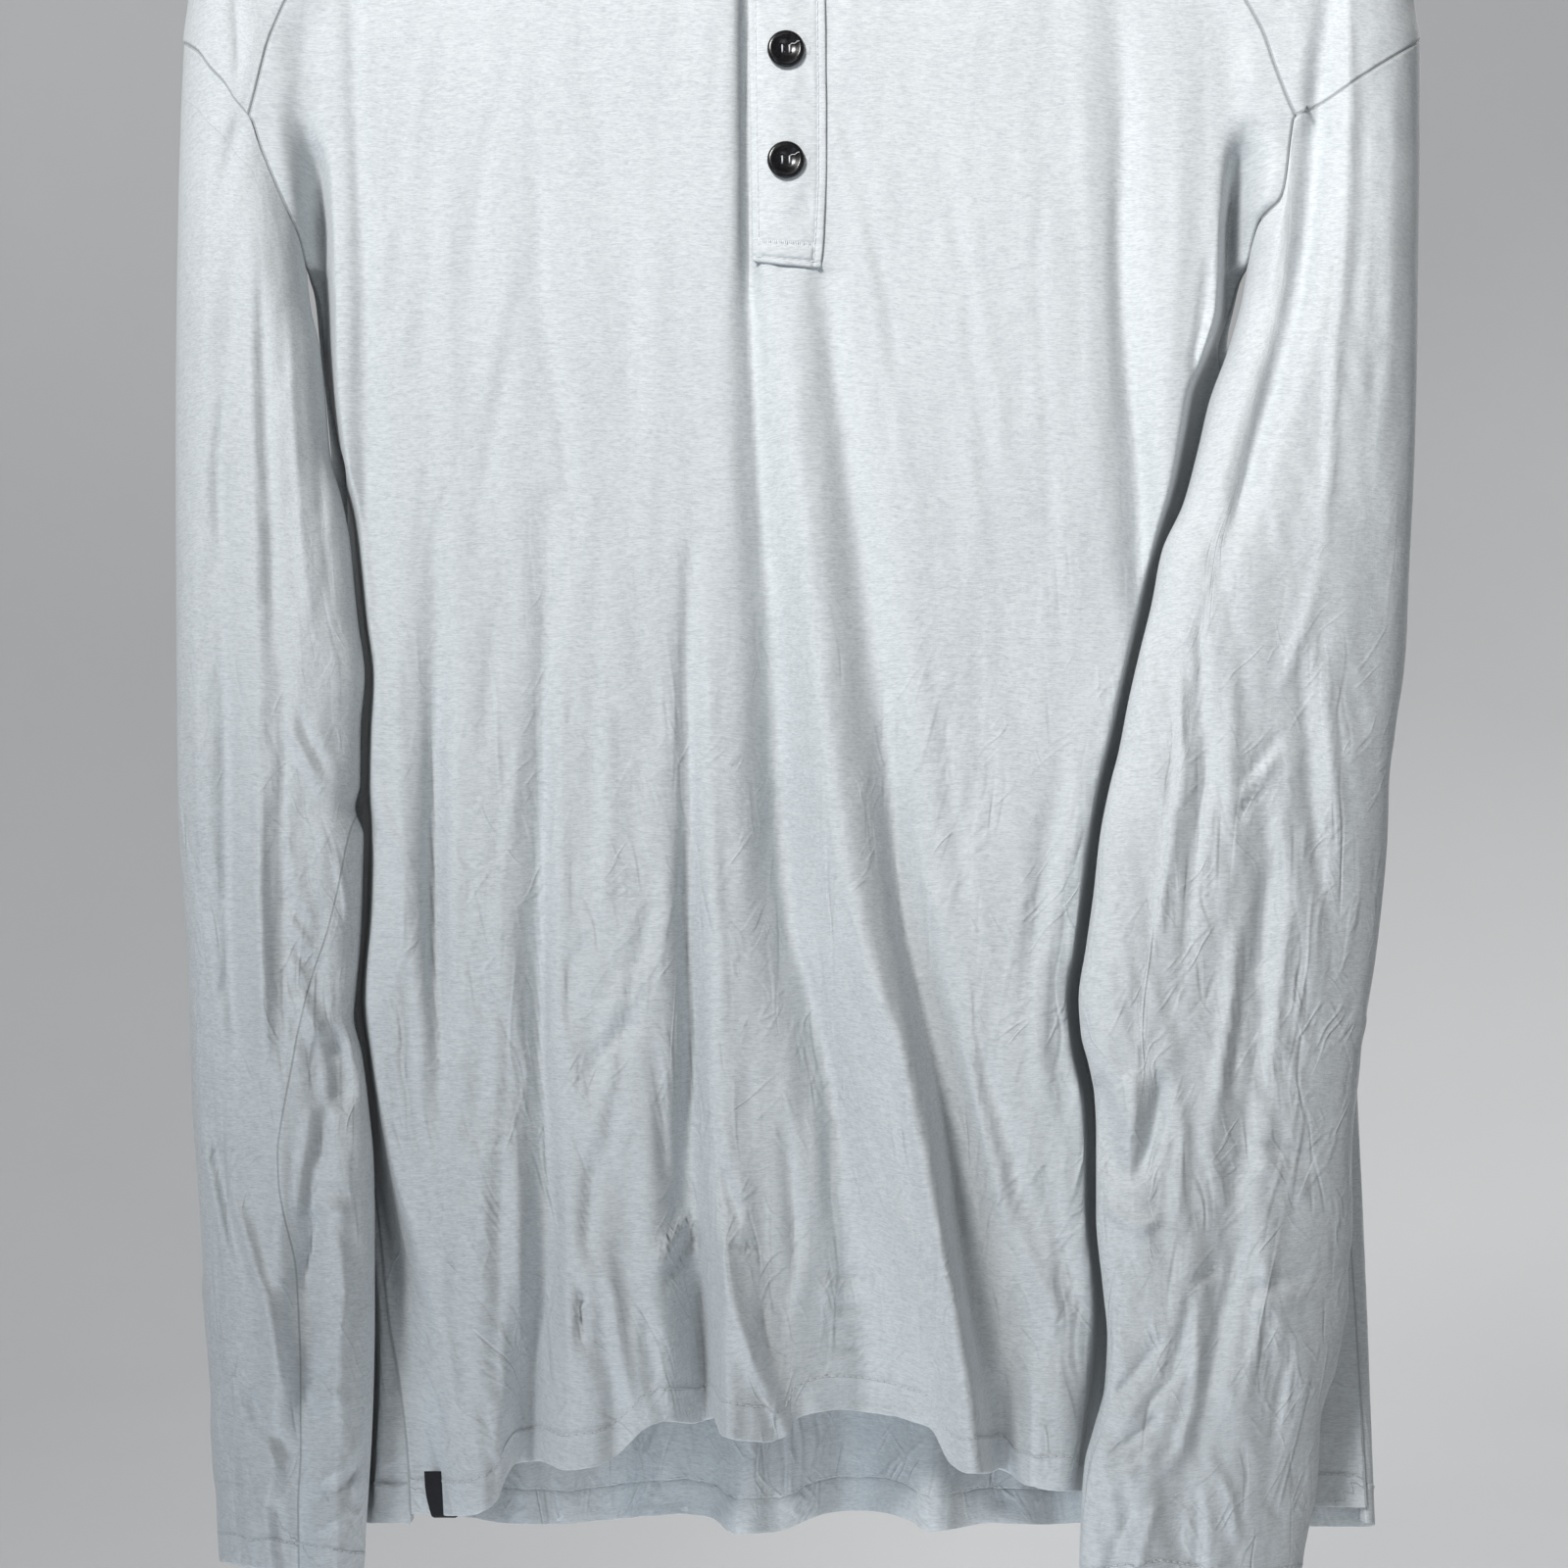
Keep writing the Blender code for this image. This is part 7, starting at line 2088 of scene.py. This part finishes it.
class Nodes:
    """A material being made, with its shader."""

    def __init__(self, name: str, roughness: float, **constants: float | tuple[float, ...]) -> None:
        """Starts the material; constants set the shader's own sockets, spaces written as underscores."""
        self.material = bpy.data.materials.new(name)
        self.material.use_nodes = True
        self.tree = self.material.node_tree
        self.shader = self.tree.nodes["Principled BSDF"]
        self.shader.inputs["Roughness"].default_value = roughness
        for key, value in constants.items():
            self.shader.inputs[key.replace("_", " ")].default_value = value

    def node(self, kind: str, settings: dict[str, object] | None = None,
             sockets: dict[str | int, object] | None = None) -> bpy.types.Node:
        """Adds a node.

        Args:
            kind: Its type.
            settings: Its settings, which are set first.
            sockets: The values or links of its inputs.

        Returns:
            The node.
        """
        node = self.tree.nodes.new(kind)
        for name, value in (settings or {}).items():
            setattr(node, name, value)
        for key, value in (sockets or {}).items():
            if isinstance(value, Value):
                self.tree.links.new(value.socket, node.inputs[key])
            else:
                node.inputs[key].default_value = value
        return node

    def place(self) -> tuple[Value, Value, Value]:
        """Where a point of the surface lies on the flat cut: across, down and from a seam, in millimetres."""
        cut = self.node("ShaderNodeAttribute", {"attribute_name": "cut_place"})
        parts = self.node("ShaderNodeSeparateXYZ", None, {0: Value(self, cut.outputs["Vector"])})
        return tuple(Value(self, out) for out in parts.outputs)

    def spot(self) -> tuple[Value, Value, Value]:
        """Where a point lies in the object's own space, in metres."""
        space = self.node("ShaderNodeTexCoord")
        parts = self.node("ShaderNodeSeparateXYZ", None, {0: Value(self, space.outputs["Object"])})
        return tuple(Value(self, out) for out in parts.outputs)

    def noise(self, x: Value | float, y: Value | float, z: Value | float, detail: float = 2.0) -> Value:
        """Smooth noise with cells one unit wide, from 0 to 1."""
        spot = self.node("ShaderNodeCombineXYZ", None, {0: x, 1: y, 2: z})
        made = self.node("ShaderNodeTexNoise", None, {"Vector": Value(self, spot.outputs[0]), "Scale": 1.0,
                                                      "Detail": detail})
        return Value(self, made.outputs[0])

    def mixed(self, factor: Value, first: object, second: object) -> Value:
        """A colour between two others."""
        node = self.node("ShaderNodeMix", {"data_type": "RGBA"}, {0: factor, 6: first, 7: second})
        return Value(self, node.outputs[2])

    def into(self, socket: str, value: Value) -> None:
        """Links a value into one of the shader's sockets."""
        self.tree.links.new(value.socket, self.shader.inputs[socket])

    def raised(self, height: Value, strength: float) -> None:
        """Bumps the surface by a height in millimetres."""
        sockets = {"Height": height, "Distance": MM, "Strength": strength}
        bump = self.node("ShaderNodeBump", None, sockets)
        self.into("Normal", Value(self, bump.outputs[0]))


Colour = tuple[float, float, float, float]


@dataclass(frozen=True)
class HeatherJersey:
    """Soft knitted jersey whose yarns blend pale and grey fibres, so that fine level streaks show."""

    pale: Colour = (0.66, 0.69, 0.705, 1.0)
    grey: Colour = (0.47, 0.50, 0.52, 1.0)
    # seam is painted shade: the colour that seams and stitched lines are darkened towards, for the shade in
    # their grooves.
    seam: Colour = (0.20, 0.215, 0.225, 1.0)

    def creases(self, nodes: Nodes, across: Value, down: Value, size: tuple[float, float],
                seed: float) -> Value:
        """Fine sharp creases in patches, too small for the cloth's own form.

        Args:
            nodes: The finish that they are for.
            across: Places across them.
            down: Places along them.
            size: How far apart and how long they are.
            seed: Which ones.

        Returns:
            Their height, up to 1.
        """
        wide, tall = size
        bent = across / wide + nodes.noise(across / wide / 2.5, down / tall, seed + 5.0, 1.0) * 1.2
        line = 1 - abs(nodes.noise(bent, down / tall, seed, 1.0) - 0.5).between(0.0, 0.1)
        return line * nodes.noise(across / wide / 2.0, down / tall / 1.3, seed + 9.0, 1.0).between(0.5, 0.66)

    def make(self) -> bpy.types.Material:
        """Makes the finish."""
        nodes = Nodes(
            "heather_jersey", 0.72, Sheen_Weight=0.25, Sheen_Roughness=0.45, Specular_IOR_Level=0.32)
        across, down, seam = nodes.place()
        # The courses of the knit wander a little across the cloth.
        course = down + nodes.noise(across / 60.0, down / 90.0, 61.0, 1.0) * 9.0
        course = course + nodes.noise(across / 9.0, down / 6.0, 67.0, 1.0) * 1.6
        streaks = nodes.noise(across / 4.2, course / 0.46, 3.1, 3.0)
        bands = nodes.noise(across / 7.5, course / 1.2, 7.7, 2.0)
        flecks = nodes.noise(across / 1.7, course / 0.42, 12.3, 1.0)
        mottle = nodes.noise(across / 2.4, down / 1.7, 17.0, 2.0)
        tone = nodes.noise(across / 70.0, down / 110.0, 5.5, 2.0)
        grain = nodes.noise(across / 0.42, down / 0.42, 1.0, 1.0)
        dark = 0.36 + (streaks - 0.5) * 1.5 + (bands - 0.5) * 0.8 + (flecks - 0.5) * 1.2
        dark = dark + (mottle - 0.5) * 0.7 + (grain - 0.5) * 0.8 + (tone - 0.5) * 0.5
        # Painted shade: along every seam and stitched line the colour is mixed halfway to the seam colour,
        # for the shade in the groove. The same mask also sinks the groove as a real bump.
        sewn = 1 - abs(seam).between(0.12, 0.55)
        nodes.into("Base Color", nodes.mixed(sewn * 0.5, nodes.mixed(dark, self.pale, self.grey), self.seam))
        nodes.into("Roughness", 0.64 + flecks * 0.16)
        crumple = nodes.noise(across / 9.0, down / 13.0, 21.0, 3.0)
        knit = nodes.noise(across / 0.5, down / 0.7, 30.0, 2.0)
        pucker = nodes.noise(across / 2.6, down / 2.6, 41.0, 1.0) * (1 - abs(seam).between(0.5, 3.0))
        fine = self.creases(nodes, across + down * 0.08, down, (11.0, 64.0), 71.0)
        fine = fine - self.creases(nodes, across - down * 0.14, down, (9.0, 46.0), 83.0)
        fine = fine + self.creases(nodes, across + down * 0.8, down - across * 0.8, (9.0, 30.0), 97.0) * 0.7
        fine = fine + self.creases(nodes, across - down * 0.7, down + across * 0.7, (9.0, 28.0), 103.0) * 0.6
        lower = (0 - nodes.spot()[2]).between(0.36, 0.66)
        height = crumple * (0.55 + lower * 0.45) + knit * 0.07 + streaks * 0.06 + pucker * 0.4 - sewn * 0.3
        height = height + fine * lower * 0.8
        nodes.raised(height, 0.55)
        return nodes.material


@dataclass(frozen=True)
class Plain:
    """A finish with faint mottling: thread, ribbon and paint."""

    name: str
    light: Colour
    dark: Colour
    roughness: float
    grain: Triple
    bump: float
    sheen: float = 0.0

    def make(self) -> bpy.types.Material:
        """Makes the finish."""
        nodes = Nodes(self.name, self.roughness, Sheen_Weight=self.sheen)
        x, y, z = nodes.spot()
        gx, gy, gz = (1000.0 / size for size in self.grain)
        mottle = nodes.noise(x * gx, y * gy, z * gz, 3.0)
        nodes.into("Base Color", nodes.mixed(mottle, self.dark, self.light))
        nodes.into("Roughness", self.roughness + (mottle - 0.5) * 0.12)
        nodes.raised(mottle, self.bump)
        return nodes.material


@dataclass(frozen=True)
class Ribbon:
    """Black woven ribbon with fine cross ribs."""

    colour: Colour = (0.006, 0.006, 0.008, 1.0)
    thread: Colour = (0.020, 0.020, 0.024, 1.0)

    def make(self) -> bpy.types.Material:
        """Makes the finish."""
        nodes = Nodes("black_ribbon", 0.6, Sheen_Weight=0.04, Specular_IOR_Level=0.25)
        across, down, _ = nodes.place()
        ribs = nodes.noise(across / 3.0, down / 0.28, 2.0, 1.0)
        yarns = nodes.noise(across / 0.3, down / 0.5, 9.0, 1.0)
        nodes.into("Base Color", nodes.mixed(ribs * 0.5 + yarns * 0.5, self.colour, self.thread))
        nodes.into("Roughness", 0.5 + yarns * 0.2)
        nodes.raised(ribs * 0.12 + yarns * 0.06, 0.8)
        return nodes.material


@dataclass(frozen=True)
class BlackHorn:
    """Polished black button plastic with faint wear."""

    colour: Colour = (0.004, 0.004, 0.005, 1.0)
    worn: Colour = (0.012, 0.012, 0.013, 1.0)

    def make(self) -> bpy.types.Material:
        """Makes the finish."""
        nodes = Nodes("black_button", 0.2, Specular_IOR_Level=0.35)
        x, y, z = nodes.spot()
        swirl = nodes.noise(x * 900.0, y * 900.0, z * 900.0, 3.0)
        wear = nodes.noise(x * 260.0, y * 260.0, z * 700.0, 3.0)
        nodes.into("Base Color", nodes.mixed(swirl.between(0.35, 0.75), self.colour, self.worn))
        nodes.into("Roughness", 0.16 + wear * 0.12)
        nodes.raised(swirl * 0.02, 0.4)
        return nodes.material


@dataclass(frozen=True)
class SatinWood:
    """Pale beech under a satin varnish, its grain along the bar."""

    pale: Colour = (0.50, 0.31, 0.165, 1.0)
    dark: Colour = (0.30, 0.165, 0.08, 1.0)

    def make(self) -> bpy.types.Material:
        """Makes the finish."""
        nodes = Nodes("satin_wood", 0.38, Coat_Weight=0.3, Coat_Roughness=0.2)
        x, y, z = nodes.spot()
        rings = nodes.noise(x * 7.0, y * 260.0, z * 260.0, 4.0)
        pores = nodes.noise(x * 90.0, y * 1500.0, z * 1500.0, 1.0)
        nodes.into("Base Color", nodes.mixed(rings.between(0.35, 0.7) * 0.7 + pores.between(0.6, 0.75) * 0.4,
                                             self.pale, self.dark))
        nodes.into("Roughness", 0.34 + rings * 0.12)
        nodes.raised(pores * -0.03 + rings * 0.02, 0.5)
        return nodes.material


@dataclass(frozen=True)
class BrushedSteel:
    """Drawn steel wire with fine brushing."""

    colour: Colour = (0.60, 0.60, 0.62, 1.0)
    dull: Colour = (0.48, 0.48, 0.50, 1.0)

    def make(self) -> bpy.types.Material:
        """Makes the finish."""
        nodes = Nodes("brushed_steel", 0.3, Metallic=1.0)
        x, y, z = nodes.spot()
        brushing = nodes.noise(x * 2500.0, y * 2500.0, z * 180.0, 2.0)
        stains = nodes.noise(x * 60.0, y * 60.0, z * 60.0, 3.0)
        nodes.into("Base Color", nodes.mixed(stains.between(0.4, 0.8), self.colour, self.dull))
        nodes.into("Roughness", 0.24 + brushing * 0.14)
        nodes.raised(brushing * 0.01, 0.4)
        return nodes.material


@dataclass
class Studio:
    """A plain round room, soft lights and the viewer's camera, in metres below the hook."""

    floor: float = -1.35
    radius: float = 3.4
    cove: float = 1.1
    wall_top: float = 3.2
    eye: Triple = (0.0, -0.9, -0.54)
    lens: float = 52.6
    sensor: float = 36.0
    air: Colour = (1.0, 0.97, 0.93, 1.0)
    air_strength: float = 0.13
    pale_paint: Colour = (0.62, 0.625, 0.63, 1.0)
    dark_paint: Colour = (0.59, 0.595, 0.60, 1.0)

    def room(self) -> None:
        """Makes the floor and the wall in one round sweep."""
        profile = [(r, self.floor) for r in np.linspace(0.02, self.radius - self.cove, 10)]
        for turn in np.radians(np.linspace(6, 90, 15)):
            profile.append((self.radius - self.cove + self.cove * math.sin(turn),
                            self.floor + self.cove * (1 - math.cos(turn))))
        profile += [(self.radius, z) for z in np.linspace(self.floor + self.cove, self.wall_top, 8)[1:]]
        sides = 96
        points = [(r * math.cos(a), r * math.sin(a), z) for r, z in profile
                  for a in np.linspace(0, 2 * math.pi, sides, endpoint=False)]
        mesh = bpy.data.meshes.new("studio_room")
        mesh.from_pydata(points, [], [*ring_faces(len(profile), sides), tuple(range(sides))])
        mesh.shade_smooth()
        room = in_scene("studio_room", mesh)
        paint = Plain("studio_paint", self.pale_paint, self.dark_paint, 0.9, (300, 300, 300), 0.0)
        mesh.materials.append(paint.make())

    def lamp(self, name: str, place: Triple, aim: Triple, watts: float,
             size: tuple[float, float], colour: Triple) -> None:
        """Hangs a soft light.

        Args:
            name: Its name.
            place: Where it hangs.
            aim: The point that it faces.
            watts: Its power.
            size: Its width and height.
            colour: Its colour.
        """
        data = bpy.data.lights.new(name, "AREA")
        data.shape, data.size, data.size_y = "RECTANGLE", size[0], size[1]
        self.hang(data, place, aim, watts, colour)

    def spot(self, name: str, place: Triple, aim: Triple, watts: float,
             cone: float, softness: float, colour: Triple) -> None:
        """Hangs a soft-edged spotlight.

        Args:
            name: Its name.
            place: Where it hangs.
            aim: The point that it faces.
            watts: Its power.
            cone: The whole angle of its beam, in degrees.
            softness: Its radius.
            colour: Its colour.
        """
        data = bpy.data.lights.new(name, "SPOT")
        data.spot_size, data.spot_blend, data.shadow_soft_size = math.radians(cone), 1.0, softness
        self.hang(data, place, aim, watts, colour)

    def hang(self, data: bpy.types.Light, place: Triple, aim: Triple,
             watts: float, colour: Triple) -> None:
        """Puts a light in its place, turned to the point that it faces."""
        data.energy, data.color = watts, colour
        lamp = in_scene(data.name, data)
        lamp.location = place
        lamp.rotation_euler = (Vector(aim) - Vector(place)).to_track_quat("-Z", "Y").to_euler()
        lamp.visible_camera = False

    def build(self) -> None:
        """Makes the room, its lights and the camera."""
        self.room()
        self.spot("key_light", (-1.05, -2.0, 1.0), (0.2, 0.0, 0.03), 356.0, 43.0, 0.28, (1.0, 0.985, 0.965))
        self.lamp("front_light", (0.3, -1.7, -0.2), (0.08, 0.0, -0.35), 2.0, (0.5, 0.5), (0.97, 0.98, 1.0))
        self.lamp("fill_light", (-1.1, -1.5, -0.9), (0.0, 0.0, -0.75), 6.0, (0.7, 0.5), (0.72, 0.86, 1.0))
        self.lamp("hem_light", (0.0, -0.14, -1.06), (0.0, 0.02, -0.8), 0.5, (0.42, 0.06), (0.9, 0.95, 1.0))
        self.lamp("back_light", (1.3, 2.0, 1.1), (0.0, 0.0, -0.4), 34.0, (0.8, 0.7), (0.98, 0.99, 1.0))
        self.lamp("wall_light", (0.0, 0.9, 2.2), (0.0, 3.2, -0.8), 42.0, (2.4, 0.8), (1.0, 1.0, 1.0))
        world = bpy.data.worlds.new("studio_air")
        world.use_nodes = True
        air = world.node_tree.nodes["Background"]
        air.inputs["Color"].default_value = self.air
        air.inputs["Strength"].default_value = self.air_strength
        bpy.context.scene.world = world
        data = bpy.data.cameras.new("viewer")
        data.sensor_fit, data.sensor_width, data.lens = "HORIZONTAL", self.sensor, self.lens
        data.clip_start = 0.01
        camera = in_scene("viewer", data)
        camera.location = self.eye
        camera.rotation_euler = (math.pi / 2, 0.0, 0.0)
        bpy.context.scene.camera = camera
        bpy.context.scene.view_settings.view_transform = "Standard"


def main() -> None:
    """Builds the shirt, its hanger and the studio, and reports each piece."""
    logging.basicConfig(level=logging.INFO, format="%(name)s: %(message)s")
    Studio().build()
    jersey = HeatherJersey().make()
    pale, dark = (0.78, 0.80, 0.82, 1), (0.62, 0.65, 0.68, 1)
    cotton = Plain("pale_thread", pale, dark, 0.6, (0.4, 0.4, 0.4), 0.1).make()
    horn, ribbon = BlackHorn().make(), Ribbon().make()
    pieces = []
    seams = ("front_hem", "back_hem", "cuff_left", "cuff_right", "neckband", "placket", "buttonhole")
    threads = {name: Thread(f"{name}_stitches") for name in seams}
    front = FrontPanel()
    pieces.append(front.build(jersey, threads["front_hem"]))
    pieces.append(BackPanel().build(jersey, threads["back_hem"]))
    for side in Side:
        pieces.append(SleeveTube(side).build(jersey, threads[f"cuff_{side.name.lower()}"]))
        pieces.append(ShoulderPanel(side).build(jersey))
    pieces.append(Neckband(front).build(jersey, threads["neckband"]))
    placket = Placket(front)
    pieces += placket.build(jersey, threads["placket"])
    sewn = Thread("button_thread", slot="button")
    for number in (1, 2, 3):
        button = Button(placket, number)
        pieces.append(button.build(horn, sewn))
        placket.buttonhole(threads["buttonhole"], button.height)
    for thread in (*threads.values(), sewn):
        pieces.append(thread.build(cotton))
    pieces.append(HemTab(front).build(ribbon))
    hanger = Hanger()
    pieces.append(hanger.bar(SatinWood().make()))
    pieces.append(hanger.hook(BrushedSteel().make()))
    for piece in pieces:
        LOG.info("%s: %d faces", piece.name, len(piece.data.polygons))


if __name__ == "__main__":
    main()
